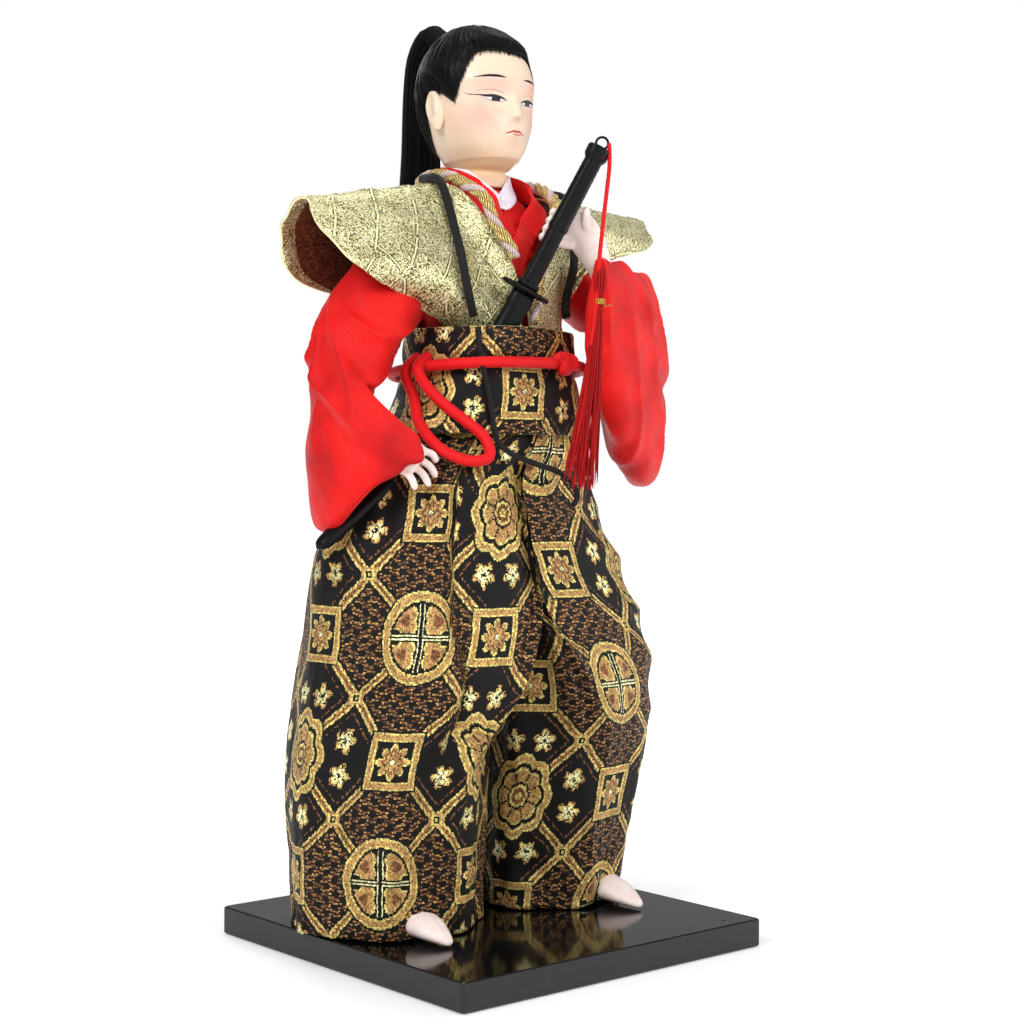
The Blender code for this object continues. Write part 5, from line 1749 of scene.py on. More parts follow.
@dataclass
class Robe:
    """The red robe's body and collars with the white collar under them."""

    sections: tuple[Section, ...] = (
        (178, 1, 3, 21.6, 18.5), (200, 0.5, 4, 22.0, 18.4), (215, 0, 5, 26, 17.9),
        (226, 0, 5.5, 27.0, 16.4), (234, 0, 6, 24.5, 14.4), (240, 0, 6.8, 17.0, 12.6),
        (244.4, 0, 8, 11.6, 11.0))
    neck: float = 9.3
    cloth: float = 0.0008
    vest_cloth: float = 0.0010
    white_width: float = 0.0060
    red_width: float = 0.0080

    def front(self, x: float, z: float, lift: float) -> Vector:
        """Return the robe's front at x and z in millimetres, lifted by metres.

        Args:
            x: The distance from the middle, in millimetres.
            z: The height in millimetres.
            lift: How far to stand off, in metres.

        Returns:
            The place.
        """
        cx, cy, a, b = section_at(self.sections, z)
        grow = lift / MM / SCALE
        share = max(0.02, 1 - ((x - cx) / (a + grow)) ** 2)
        return at(x, cy - (b + grow) * math.sqrt(share), z)

    @property
    def collar_lift(self) -> float:
        """Return how far the first collar stands off the robe."""
        return SEAT_GAP + self.cloth / 2

    @property
    def upper_lift(self) -> float:
        """Return how far the lapped collar stands off the robe."""
        return self.collar_lift + self.cloth + SEAT_GAP

    @property
    def vest_lift(self) -> float:
        """Return how far the vest stands off the robe."""
        return self.upper_lift + self.cloth * 1.5 + SEAT_GAP + self.vest_cloth / 2

    def band(self, name: str, points: Sequence[Vector], normals: Sequence[Vector], width: float,
             finish: bpy.types.Material, closed: bool = False) -> bpy.types.Object:
        """Make a folded cloth band along points.

        Args:
            name: The piece's name.
            points: The centre line.
            normals: The band's outer side at each point.
            width: The band's width in metres.
            finish: The material.
            closed: Whether the band joins its start.

        Returns:
            The new object.
        """
        rows, total = [], len(points)
        outline = [(-1, -0.6), (-1.02, 0.1), (-0.97, 0.7), (-0.8, 1.0), (-0.4, 0.9), (0, 0.85),
                   (0.4, 0.9), (0.8, 1.0), (0.97, 0.7), (1.02, 0.1), (1, -0.6), (0.5, -1), (-0.5, -1)]
        for i in range(total):
            ahead = points[(i + 1) % total] if closed else points[min(i + 1, total - 1)]
            behind = points[i - 1] if closed else points[max(i - 1, 0)]
            tangent = (ahead - behind).normalized()
            normal = (normals[i] - tangent * normals[i].dot(tangent)).normalized()
            across = tangent.cross(normal)
            sway = 0.00018 * ripple(points[i].x, points[i].y, points[i].z, 0.006)
            rows.append([points[i] + across * width / 2 * a + normal * (self.cloth / 2 * b + sway)
                         for a, b in outline])
        if closed:
            rows.append(rows[0])
        skin = Skin().sheet(rows, closed=True)
        if not closed:
            skin.cap(rows[0], flip=True)
            skin.cap(rows[-1])
        return skin.build(name, finish)

    def white_collar(self, finishes: Finishes) -> None:
        """Make the white collar that dips to a point in front.

        Args:
            finishes: The doll's materials.
        """
        knots = [(angle, reach - 9.3 + self.neck, z) for angle, reach, z in (
            (-90, 14.6, 239.6), (-62, 12.9, 244.0), (-30, 11.5, 247.8), (10, 10.8, 249.0),
            (50, 10.6, 248.6), (90, 10.7, 248.6))]
        path, normals, count = [], [], 120
        for i in range(count):
            turn = 360 * i / count
            angle = -90 + turn if turn <= 180 else 270 - turn
            reach, z = knots[-1][1:]
            for (a, r0, z0), (b, r1, z1) in zip(knots, knots[1:]):
                if a <= angle <= b:
                    f = (angle - a) / (b - a)
                    reach, z = r0 + (r1 - r0) * f, z0 + (z1 - z0) * f
            sign = 1 if turn <= 180 else -1
            x = sign * reach * math.cos(math.radians(angle)) - 2.2 * ease(-angle / 60)
            y = 8 + reach * math.sin(math.radians(angle))
            path.append(at(x, y, z))
            front = max(0.0, -math.sin(math.radians(angle)))
            normals.append(Vector((x, y - 8, 0)).normalized()
                           + Vector((0, 0, 0.10 + 0.75 * front ** 2)))
        seat(self.band("white_collar_band", path, normals, self.white_width, finishes.white_cloth,
                       True), "white_cloth", "inner_collar")

    def red_collar(self, finishes: Finishes) -> None:
        """Make the red collar whose left end crosses over the right.

        Args:
            finishes: The doll's materials.
        """
        upper = [(-11.0, -9.6, 239.0), (-13.3, -2.4, 244.2), (-13.2, 8.0, 247.6),
                 (-10.0, 16.6, 249.0), (0, 20.9, 249.4)]
        right = [self.front(x, z, self.collar_lift + 0.0002)
                 for x, z in ((3.2, 221), (-1, 226.4), (-6, 232.4))]
        left = [self.front(x, z, self.upper_lift + 0.0002)
                for x, z in ((6, 232.4), (1, 226.4), (-2.6, 221.2), (-4.6, 216.5))]
        knots = right + [at(*p) for p in upper]
        knots += [at(-x, y, z) for x, y, z in reversed(upper[:-1])] + left
        path = smooth_path(knots, 180)
        normals = []
        for point in path:
            height = height_of(point)
            tilt = 0.75 if 231 < height < 243 else 0.25
            normals.append(Vector((point.x, point.y - at(0, 8, 0).y, 0)).normalized()
                           + Vector((0, 0, tilt * (1.0 if height > 228 else 0.0))))
        seat(self.band("red_collar_band", path, normals, self.red_width, finishes.gauze),
             "red_cloth", "red_collar")

    def build(self, finishes: Finishes) -> None:
        """Make the robe's body and both collars.

        Args:
            finishes: The doll's materials.
        """
        rows, places = [], []
        for i in range(60):
            z = 178.6 + (244.4 - 178.6) * i / 59
            cx, cy, a, b = section_at(self.sections, z)
            rows.append([at(cx + a * math.cos(t) * (1 + 0.012 * ripple(t * 9, z / 12, 0, 1)),
                            cy + b * math.sin(t), z) for t in (2 * math.pi * k / 96 for k in range(96))])
            places.append([(k / 96 * 0.14, z * MM) for k in range(97)])
        body = Skin().loft(rows, places)
        piece = seat(body.build("robe_body", finishes.gauze), "red_cloth", "kimono_body")
        self.white_collar(finishes)
        self.red_collar(finishes)


@dataclass
class Vest:
    """The stiff winged vest with its rope edges and shoulder cords."""

    robe: Robe
    crease_wide: float = CREASE_WIDE
    crease_tall: float = CREASE_TALL
    crease_rise: float = 0.00055
    rope_diameter: float = 0.0042
    rope_pitch: float = 0.0125
    strap_diameter: float = 0.0027
    lift: float = 0.00036

    def knots(self, side: int) -> list[list[Vector]]:
        """Lay out the control net of one half.

        Args:
            side: -1 for the doll's right, 1 for its left.

        Returns:
            Rows front to back, each from inner edge to wing.
        """
        vest_lift, front = self.robe.vest_lift, self.robe.front
        rise, reach, inner = (6.5, 72, -0.5) if side > 0 else (0.0, 71, 3.6)
        rows = [[front(side * x, z, vest_lift) for x in stations] for z, stations in
                ((192.5, (inner + 0.4, 9, 16.5)), (200.5, (inner, 10.5, 18)),
                 (213, (inner + 0.3, 13.5, 23)))]
        rows[0].append(at(side * 23.2, -2, 192.5))
        rows[1].append(at(side * 24.6, -2.5, 200.5))
        if side > 0:
            rows[2].append(at(30.5, -13.6, 221))
            rows.append([front(8.6, 226, vest_lift), front(20, 227.5, vest_lift),
                         at(38, -12, 232), at(65, -6, 231)])
        else:
            rows[2][2] = at(-38, -16, 214.5)
            rows[2].append(at(-62, -11, 214))
            rows.append([front(-8.6, 226, vest_lift), front(-20, 227.5, vest_lift),
                         at(-44, -8, 229), at(-70, 0, 227.5)])
        half = rise * 0.5
        rows.append([at(side * 18.0, -7.4, 240.6), at(side * 27, -4.5, 241.0),
                     at(side * 48, -1, 238.5 + half), at(side * reach, 3, 234 + rise)])
        rows.append([at(side * 18.4, 4, 244.6), at(side * 28.5, 5.5, 243.4),
                     at(side * 48, 7, 239.6 + half), at(side * reach, 8, 236 + rise)])
        rows.append([at(side * 15.8, 15.5, 245.2), at(side * 27, 15.5, 242.0),
                     at(side * 47, 16, 237.5 + half), at(side * (reach - 1), 16, 232 + rise)])
        rows.append([at(0, 27.4, 243.8), at(side * 22, 25.4, 236.5),
                     at(side * 44, 23.8, 231.5 + half), at(side * (reach - 3), 22.5, 226 + rise)])
        rows.append([at(0, 28.4, 226), at(side * 20, 27.6, 222),
                     at(side * 39, 26.4, 219 + half), at(side * (reach - 9), 25, 214 + rise)])
        rows.append([at(0, 27.2, 209), at(side * 15, 26.0, 208), at(side * 27, 24.6, 208),
                     at(side * 42, 24, 208)])
        rows.append([at(0, 25.2, 200.5), at(side * 12, 22.8, 200.5), at(side * 18.8, 18.0, 200.5),
                     at(side * 23.6, 12.5, 200.5)])
        rows.append([at(0, 25.2, 192.5), at(side * 10, 23.4, 192.5), at(side * 16.4, 19.6, 192.5),
                     at(side * 21.4, 14.0, 192.5)])
        return rows

    @staticmethod
    def middle(rows: list[list[Vector]], p: float, f: float) -> Vector:
        """Return the cloth's middle, p from neck to wing, f from front to back.

        Args:
            rows: The half's control net.
            p: The place from neck, 0, to wing, 1.
            f: The place from front, 0, to back, 1.

        Returns:
            The place.
        """
        point = Vector(blend_rows([blend_rows([row[k] for row in rows], f) for k in range(4)], p))
        if p == 0 and f >= 6.98 / 11:
            point.x = 0
        return point

    def normal(self, rows: list[list[Vector]], p: float, f: float) -> Vector:
        """Return the cloth's outer side at a place.

        Args:
            rows: The half's control net.
            p: The place from neck, 0, to wing, 1.
            f: The place from front, 0, to back, 1.

        Returns:
            The unit vector.
        """
        run = self.middle(rows, p, f + 0.01) - self.middle(rows, p, f - 0.01)
        out = run.cross(self.middle(rows, p + 0.02, f) - self.middle(rows, p - 0.02, f)).normalized()
        if out.dot(outward(self.middle(rows, p, f)) + Vector((0, 0, 0.4))) < 0:
            out = -out
        return out

    def pinch(self, u: float, v: float) -> float:
        """Return the height of the diamond creases at a place of the cloth in metres.

        Args:
            u: The place across the cloth.
            v: The place along it.

        Returns:
            The height in metres.
        """
        a = u / MM / self.crease_wide + v / MM / self.crease_tall
        b = u / MM / self.crease_wide - v / MM / self.crease_tall
        near = min(abs(a - round(a)), abs(b - round(b)))
        patch = ease((ripple(u, v, 0, 0.010) + 0.45) * 1.2)
        ridge = math.exp(-(near / 0.055) ** 2) - 0.45 * math.exp(-((near - 0.13) / 0.06) ** 2)
        puff = 0.35 * math.sin(math.pi * min(1.0, near * 2))
        return self.crease_rise * (ridge * patch + puff * 0.6)

    def build_cloth(self, finishes: Finishes) -> None:
        """Make both halves as one doubled sheet.

        Args:
            finishes: The doll's materials.
        """
        across, along = 64, 210
        skin = Skin()
        for side in (-1, 1):
            rows = self.knots(side)
            outer, inner, places = [], [], []
            mids = [[self.middle(rows, i / (across - 1), j / (along - 1)) for i in range(across)]
                    for j in range(along)]
            v = 0.0
            for j in range(along):
                v += (mids[j][across // 3] - mids[j - 1][across // 3]).length if j else 0.0
                f, u, out_row, in_row, place_row = j / (along - 1), 0.0, [], [], []
                for i in range(across):
                    u += (mids[j][i] - mids[j][i - 1]).length if i else 0.0
                    normal = self.normal(rows, i / (across - 1), f)
                    edge = ease(min(i, across - 1 - i) / 4) * ease(min(j, along - 1 - j) / 6)
                    sway = 0.0007 * ripple(mids[j][i].x, mids[j][i].y, mids[j][i].z, 0.017) * edge
                    frill = 0.0004 * math.sin(v / 0.0021) * ease((i - across + 3) / 2)
                    rise = self.pinch(u + side * 0.004, v) * edge + sway + frill
                    out_row.append(mids[j][i] + normal * (self.lift + rise))
                    in_row.append(mids[j][i] + normal * (rise * 0.8 - self.lift))
                    place_row.append((u + side * 0.004, v))
                outer.append(out_row)
                inner.append(in_row)
                places.append(place_row)
            flip = side > 0
            hem = across - 7
            skin.sheet(outer, places, flip=not flip)
            skin.sheet([row[:hem + 1] for row in inner], [row[:hem + 1] for row in places],
                       finish=1, flip=flip)
            skin.sheet([row[hem:] for row in inner], [row[hem:] for row in places], finish=0, flip=flip)
            for a, b in ((outer[0], inner[0]), (outer[-1], inner[-1]),
                         ([r[0] for r in outer], [r[0] for r in inner]),
                         ([r[-1] for r in outer], [r[-1] for r in inner])):
                skin.sheet([a, b], finish=0)
        piece = skin.build("vest_cloth", finishes.lame, finishes.lining)
        seat(piece, "gold_lame", "vest")

    def rope(self, name: str, node: str, knots: Sequence[Vector], taper: float, spin: int,
             finishes: Finishes) -> None:
        """Make one rope of two gold strands and a pale one.

        Args:
            name: The piece's name.
            node: The solid that it replaces.
            knots: The rope's path.
            taper: The share of the diameter at its lower end.
            spin: The hand of the twist, 1 or -1.
            finishes: The materials.
        """
        path = even_path(knots, 0.0006)
        skin = Skin()
        steps = path_frames(path, outward)
        for strand in range(3):
            line = []
            for i, (_, side, out) in enumerate(steps):
                size = self.rope_diameter / 2 * (1 + (taper - 1) * i / (len(path) - 1))
                size *= 0.55 + 0.45 * math.sqrt(min(1.0, 4 * min(i, len(path) - 1 - i) / 12 + 0.02))
                angle = spin * 2 * math.pi * (i * 0.0006 / self.rope_pitch + strand / 3)
                line.append(path[i] + (side * math.cos(angle) + out * math.sin(angle)) * size * 0.48)
            radius = self.rope_diameter / 2 * 0.52

            def girth(angle: float, length: float, base: float = radius) -> float:
                """Return the strand's radius with its own fine twist."""
                return base * (1 + 0.06 * math.sin(3 * angle + length / 0.0004))

            skin.tube(line, girth, 14, guide=outward, finish=1 if strand == 2 else 0)
        seat(skin.build(name, finishes.gold_strand, finishes.pale_strand), "gold_rope", node)

    def ropes(self, finishes: Finishes) -> None:
        """Make both rope edges of the neck opening.

        Args:
            finishes: The doll's materials.
        """
        lift = (self.robe.vest_lift + self.robe.vest_cloth / 2 + SEAT_GAP * 1.6
                + self.rope_diameter / 2)
        for side, name, node in ((-1, "rope_edge_right", "rope_right"), (1, "rope_edge_left", "rope_left")):
            shoulder = [at(side * 4.5, 27.6, 247.2), at(side * 13.0, 22.0, 247.9),
                        at(side * 17.6, 12, 248.6), at(side * 18.8, 2, 247.8),
                        at(side * 18.2, -6.4, 244.4), at(side * 15.4, -13.4, 239.4)]
            chest = ((-12, 231.5), (-8.6, 225.5), (-6.6, 220.8)) if side < 0 else (
                (11.5, 231.5), (7, 224), (3.2, 216.5), (0.4, 208.5), (-0.6, 200.5))
            knots = shoulder + [self.robe.front(x, z, lift) for x, z in chest]
            self.rope(name, node, knots, 0.86 if side < 0 else 0.80, -side, finishes)

    def straps(self, finishes: Finishes) -> None:
        """Make the black cords over the shoulders.

        Args:
            finishes: The doll's materials.
        """
        lift = self.robe.vest_cloth / 2 + SEAT_GAP * 2 + self.strap_diameter / 2
        for side, name, node in ((-1, "shoulder_strap_right", "shoulder_cord_right"),
                                 (1, "shoulder_strap_left", "shoulder_cord_left")):
            rows = self.knots(side)
            path = []
            for i in range(60):
                f, p = 0.50 - 0.385 * i / 59, 0.15 + 0.46 * (i / 59) ** 0.95
                path.append(self.middle(rows, p, f) + self.normal(rows, p, f) * (lift + 0.0002))
            skin = Skin().tube(path, braid_girth(self.strap_diameter / 2, 0.0016), 20)
            seat(skin.build(name, finishes.black_cord), "black_cord", node)

    def build(self, finishes: Finishes) -> None:
        """Make the vest, the ropes and the straps.

        Args:
            finishes: The doll's materials.
        """
        self.build_cloth(finishes)
        self.ropes(finishes)
        self.straps(finishes)


def braid_girth(radius: float, pitch: float) -> Callable[[float, float], float]:
    """Return a radius function with the humps of a round braid.

    Args:
        radius: The cord's radius in metres.
        pitch: The length of one hump in metres.

    Returns:
        A function of the angle and the walked length.
    """
    def girth(angle: float, length: float) -> float:
        """Return the radius at an angle and a walked length."""
        turn = math.pi * length / pitch
        over = max(abs(math.sin(2 * angle + turn)), abs(math.sin(2 * angle - turn)))
        return radius * (0.80 + 0.25 * over)
    return girth


@dataclass
class Sash:
    """The wide wound sash and the red cord tied round it."""

    sword: Sword
    sections: tuple[Section, ...] = (
        (164.8, -1.2, 4, 36.5, 30.5), (170, 0, 4, 34.5, 29), (178, 1, 3.5, 32, 27.5),
        (190, 1, 3.2, 30, 26), (198.5, 1, 3, 29.0, 25.2))
    cloth: float = 0.0016
    cord_diameter: float = 0.0035
    knot_width: float = 0.0085
    knot_height: float = 187.6
    anchor: float = -1.86

    def surface(self, z: float, angle: float, lift: float) -> Vector:
        """Return the sash's outer face at a height (mm) and bearing, lifted by metres.

        Args:
            z: The height in millimetres.
            angle: The bearing in radians.
            lift: How far to stand off, in metres.

        Returns:
            The place.
        """
        cx, cy, a, b = section_at(self.sections, z)
        centre = at(cx, cy, z)
        unit = SCALE * MM
        plain = unit / math.sqrt((math.cos(angle) / a) ** 2 + (math.sin(angle) / b) ** 2)
        blade = self.sword.scabbard_at_height(centre.z) - centre
        bearing = math.atan2(blade.y, blade.x)
        need = blade.xy.length + self.sword.scabbard_depth / 2 + SEAT_GAP * 2 + self.cloth
        base = unit / math.sqrt((math.cos(bearing) / a) ** 2 + (math.sin(bearing) / b) ** 2)
        away = (angle - bearing + math.pi) % (2 * math.pi) - math.pi
        bump = max(0.0, need - base) * math.exp(-(away / 0.42) ** 2)
        return centre + Vector((math.cos(angle), math.sin(angle), 0)) * (plain + bump + lift)

    def build_cloth(self, finishes: Finishes) -> None:
        """Make the wound cloth with its lapped edges.

        Args:
            finishes: The doll's materials.
        """
        columns, rows = 220, 60
        grid, places = [], []
        first = round((self.anchor % (2 * math.pi)) / (2 * math.pi) * columns)
        for j in range(rows):
            z = 164.8 + (198.5 - 164.8) * j / (rows - 1)
            ring = []
            for k in range(columns):
                angle = 2 * math.pi * k / columns
                lap = 0.0004 * ease((z - 186.2) / 0.5) - 0.0003 * ease((z - 197.6) / 0.9)
                lap += 0.0003 * ease((172.0 - z) / 0.4)
                sway = 0.00035 * ripple(angle * 5, z / 6, 1, 1.0)
                waist = 0.0012 * math.exp(-((z - 186.5) / 3.2) ** 2)
                ring.append(self.surface(z, angle, lap + sway - waist - 0.0002))
            grid.append(ring)
            lengths = [0.0]
            for k in range(columns):
                lengths.append(lengths[-1] + (ring[(k + 1) % columns] - ring[k]).length)
            places.append([(length - lengths[first], (z - 178) * SCALE * MM) for length in lengths])
        inner = [[self.surface(z, 2 * math.pi * k / columns, -self.cloth * 2.0 * ease((198.5 - z) / 2))
                  for k in range(columns)] for z in (198.5, 196, 192, 188, 184, 180, 176, 172, 168, 164.8)]
        skin = Skin().sheet(grid, places, closed=True)
        skin.sheet([grid[-1], *inner, grid[0]], closed=True)
        piece = seat(skin.build("sash_cloth", finishes.brocade_sash), "black_brocade_sash", "waist_sash")

    @property
    def knot_angle(self) -> float:
        """Return the bearing of the cord's knot."""
        return math.atan2(-27.5, 7)

    def belt(self, finishes: Finishes) -> None:
        """Make the cord round the sash and its knot.

        Args:
            finishes: The doll's materials.
        """
        lift = self.cord_diameter / 2 + SEAT_GAP * 1.6
        knot = self.surface(self.knot_height, self.knot_angle, self.knot_width * 0.34 + SEAT_GAP)
        turn = (self.knot_width / 2 + SEAT_GAP + self.cord_diameter * 0.1) / knot.xy.length
        path = []
        for i in range(260):
            f = i / 259
            angle = self.knot_angle + turn * 0.6 + (2 * math.pi - 1.2 * turn) * f
            path.append(self.surface(self.knot_height - 3.6 * math.sin(math.pi * f) ** 2, angle, lift))
        skin = Skin().tube(path, braid_girth(self.cord_diameter / 2, 0.0015), 24)
        seat(skin.build("belt_braid", finishes.braid), "red_cord", "belt_cord")
        out = Vector((math.cos(self.knot_angle), math.sin(self.knot_angle), 0))
        across = Vector((-out.y, out.x, 0))
        up = Vector((0, 0, 1))
        wrap = Skin()
        for start, lean, size in ((-0.20, 0.30, 1.0), (0.22, -0.35, 0.95), (0.0, 1.25, 0.86)):
            loop = []
            for i in range(49):
                angle = 2 * math.pi * i / 48
                turned = across * math.cos(lean) + up * math.sin(lean)
                ring_side = up * math.cos(lean) - across * math.sin(lean)
                loop.append(knot + across * self.knot_width * start
                            + ring_side * math.cos(angle) * self.knot_width * 0.27 * size
                            + out * math.sin(angle) * self.knot_width * 0.20 * size
                            + turned * 0.0009 * math.sin(angle * 2))
            wrap.tube(loop, braid_girth(self.cord_diameter * 0.46, 0.0015), 20,
                      guide=lambda p, middle=knot: p - middle + Vector((0, 0, 1e-5)), caps=False)
        core = [knot - across * self.knot_width * 0.36, knot, knot + across * self.knot_width * 0.36]
        wrap.tube(core, self.cord_diameter * 0.62, 20)
        seat(wrap.build("belt_tie", finishes.braid), "red_cord", "belt_knot")

    def loop_path(self) -> list[Vector]:
        """Lay out the hanging loop's route.

        Returns:
            Its points, evenly spaced.
        """
        lift = self.cord_diameter / 2 + SEAT_GAP * 1.6
        depth = self.cord_diameter * 1.5 + SEAT_GAP * 2
        knots = []
        for degrees, z, more in ((-178, 189.2, 0), (-175, 184, 0), (-169, 176, 0), (-160, 168, 0),
                                 (-149, 160.6, 0.0022), (-137, 156.4, 0.0046), (-127, 157.4, 0.0050),
                                 (-129, 163.6, 0.0020), (-140, 169.0, 0), (-151, 174.0, 0),
                                 (-161, 180.0, 0), (-167, 185.4, 0), (-169, 189.2, 0)):
            held = max(z, 165.0)
            point = self.surface(held, math.radians(degrees), 0)
            if z > 189:
                reach = lift * 0.2
            elif z > 181:
                reach = depth
            else:
                reach = max(lift, depth * (z - 172) / 9 if z > 172 else lift)
            out = Vector((math.cos(math.radians(degrees)), math.sin(math.radians(degrees)), 0))
            knots.append(point + out * (reach + more) + Vector((0, 0, (z - held) * SCALE * MM)))
        return even_path(knots, 0.0006)

    def ribbon(self, finishes: Finishes) -> None:
        """Make the black cord that runs down over the sash and hangs clear of the skirt.

        Args:
            finishes: The doll's materials.
        """
        knots = [self.surface(z, angle, 0.0012) for z, angle in
                 ((197.4, -2.385), (193, -2.372), (189.6, -2.350))]
        knots += [self.surface(187.0, -2.336, 0.0026), self.surface(184.6, -2.322, 0.0026)]
        knots += [self.surface(z, angle, 0.0012) for z, angle in
                  ((180, -2.290), (174, -2.235), (168.5, -2.185), (165.4, -2.150))]
        knots += [at(*p) for p in ((-20.4, -27.2, 161.6), (-17.2, -30.4, 158.2), (-11.0, -33.2, 155.6),
                                   (-3.6, -34.8, 153.4), (2.0, -35.6, 150.2), (3.4, -37.2, 145.6),
                                   (0.2, -39.0, 143.0))]
        path = even_path(knots, 0.0006)
        length = path_length(path)
        skin = Skin().tube(path, braid_girth(0.0009, 0.0011), 16)
        piece = seat(skin.build("waist_ribbon", finishes.black_cord), "black_cord")

    def build(self, finishes: Finishes) -> None:
        """Make the sash, the belt cord and its hanging loop.

        Args:
            finishes: The doll's materials.
        """
        self.build_cloth(finishes)
        self.belt(finishes)
        self.ribbon(finishes)
        path = self.loop_path()
        length = path_length(path)
        skin = Skin().tube(path, braid_girth(self.cord_diameter / 2, 0.0015), 24)
        piece = seat(skin.build("hanging_loop", finishes.braid), "red_cord", "belt_loop")


@dataclass
class Hakama:
    """The wide divided skirt, each leg a padded tube of brocade."""

    waist: tuple[Section, ...] = (
        (60, 0, 8, 63, 45), (94, 0, 7.5, 62, 45.5), (110, -2, 7, 60, 43), (126, -4, 6.5, 55.5, 39.5),
        (138, -5, 6, 48.5, 36), (150, -5, 5.5, 44, 32.5), (160, -3, 4.5, 39.5, 30.8),
        (164.4, -1.4, 4, 34.6, 28.6), (178, 1, 3.5, 29.6, 25.2))
    right_leg: tuple[Section, ...] = (
        (9.4, -34, 11, 31, 29), (40, -34, 11, 32.0, 31.5), (70, -33.2, 10, 31.8, 36),
        (94, -31, 8, 32, 41), (120, -28, 7, 31, 40))
    left_leg: tuple[Section, ...] = (
        (9.4, 31.5, 9, 26.5, 25), (40, 32.5, 9, 29.2, 28.5), (70, 33.5, 8, 31.5, 34),
        (94, 32, 7, 32.5, 40), (120, 28, 7, 31, 40))
    pleat: float = 1.1
    anchors: tuple[Section, ...] = ((5.52, 5.39, 102.4), (4.90, 4.81, 84.6))
    tuck: float = 0.009

    def ring_point(self, side: int, z: float, angle: float) -> Vector:
        """Return a point of one leg's cloth at a height in millimetres and a bearing.

        Args:
            side: -1 for the doll's right, 1 for its left.
            z: The height in millimetres.
            angle: The bearing in radians.

        Returns:
            The place.
        """
        angle %= 2 * math.pi
        cx, cy, a, b = section_at(self.waist, z)
        lx, ly, la, lb = section_at(self.right_leg if side < 0 else self.left_leg, z)
        split = ease((122 - z) / 62)
        depth = self.pleat * min(1.0, max(0.0, (150 - z) / 60))
        c, s = math.cos(angle), math.sin(angle)
        whole_x = cx + side * max(c * a, -0.8)
        valley = 0.09 * max(0.0, 1 - abs(c) * 4) * min(1.0, max(0.0, (163 - z) / 8))
        whole_y = cy + b * s * (1 - valley)
        leg_x, leg_y = lx + side * la * c, ly + lb * s
        fold = depth * math.cos(7 * angle)
        fold += self.folds(side, z, angle)
        x = whole_x * (1 - split) + leg_x * split + side * c * fold
        y = whole_y * (1 - split) + leg_y * split + s * fold
        x -= 6.0 * math.exp(-(x / 15) ** 2) * ease(-y / 15) * ease((z - 40) / 24) * ease((176 - z) / 30)
        hem = 1.3 * ripple(angle * 2.2, side * 3, 7, 1.0) * ease((24 - z) / 14)
        return at(x, y, max(z + hem, 9.3))

    def tuck_bearing(self, z: float) -> float:
        """Return the bearing of the near leg's deep tuck at a height."""
        return 5.36 - 0.42 * ease((112 - z) / 44)

    def folds(self, side: int, z: float, angle: float) -> float:
        """Return the soft creases of one leg in millimetres.

        Args:
            side: -1 for the doll's right, 1 for its left.
            z: The height in millimetres.
            angle: The bearing in radians.

        Returns:
            The distance out of the cloth.
        """
        soft = 1.0 * ripple(angle * 3.0 + side, z / 34, 3.0 * side, 1.0)
        soft += 0.4 * ripple(angle * 9.0, z / 13, 9.0 + side, 1.0)
        gather = 0.42 * math.cos(23 * angle + 1.5 * ripple(angle * 3, z / 20, 2, 1.0))
        soft += gather * ease((z - 128) / 22)
        crumple = abs(ripple(angle * 5.5 + 0.03 * z, z / 9, 4.0 * side, 1.0))
        soft -= 1.7 * crumple * ease((44 - z) / 26) * (1.0 if side > 0 else 0.8)
        if side < 0:
            away = angle - self.tuck_bearing(z)
            held = ease((z - 58) / 22) * ease((164 - z) / 20)
            soft += held * (1.5 * math.exp(-((away - 0.10) / 0.085) ** 2)
                            - 2.0 * math.exp(-(away / 0.035) ** 2)
                            + 0.8 * math.exp(-((away + 0.22) / 0.12) ** 2))
            sag = angle - 4.60 + 0.006 * (z - 60)
            soft += 1.6 * math.exp(-(sag / 0.10) ** 2) * ease((z - 20) / 20) * ease((100 - z) / 24)
        else:
            pull = math.exp(-((angle - 5.55) / 0.38) ** 2) * ease((z - 62) / 22) * ease((158 - z) / 26)
            wave = 1 - abs(math.sin(z / 5.6 + 2.2 * angle + 0.8 * ripple(angle, z / 20, 5, 1.0)))
            soft += pull * (1.9 * wave - 0.8)
            away = angle - 4.36
            soft -= 1.5 * math.exp(-(away / 0.05) ** 2) * ease((z - 66) / 20)
        return soft

    def cloth_places(self, side: int, z: float, ring: Sequence[Vector], start: float) -> list:
        """Return the cloth's own place of each point of a ring, with one more to close it.

        Args:
            side: The leg, -1 or 1.
            z: The ring's height in millimetres.
            ring: The ring's points.
            start: The bearing of the first point.

        Returns:
            Pairs of the distance round from the pattern's anchor and the height, in metres.
        """
        columns = len(ring)
        high, low, height = self.anchors[0 if side < 0 else 1]
        anchor = ((low + (high - low) * ease((z - 60) / 40) - start) % (2 * math.pi))
        tuck = ((self.tuck_bearing(z) - start) % (2 * math.pi)) / (2 * math.pi) * columns
        lengths = [0.0]
        for k in range(columns):
            lengths.append(lengths[-1] + (ring[(k + 1) % columns] - ring[k]).length)
        at_anchor = anchor / (2 * math.pi) * columns
        whole = int(at_anchor)
        zero = lengths[whole] + (lengths[whole + 1] - lengths[whole]) * (at_anchor - whole)
        hidden = self.tuck * ease((z - 62) / 16) if side < 0 else 0.0
        return [(length - zero - (hidden if k < tuck else 0.0), (z - height) * SCALE * MM)
                for k, length in enumerate(lengths)]

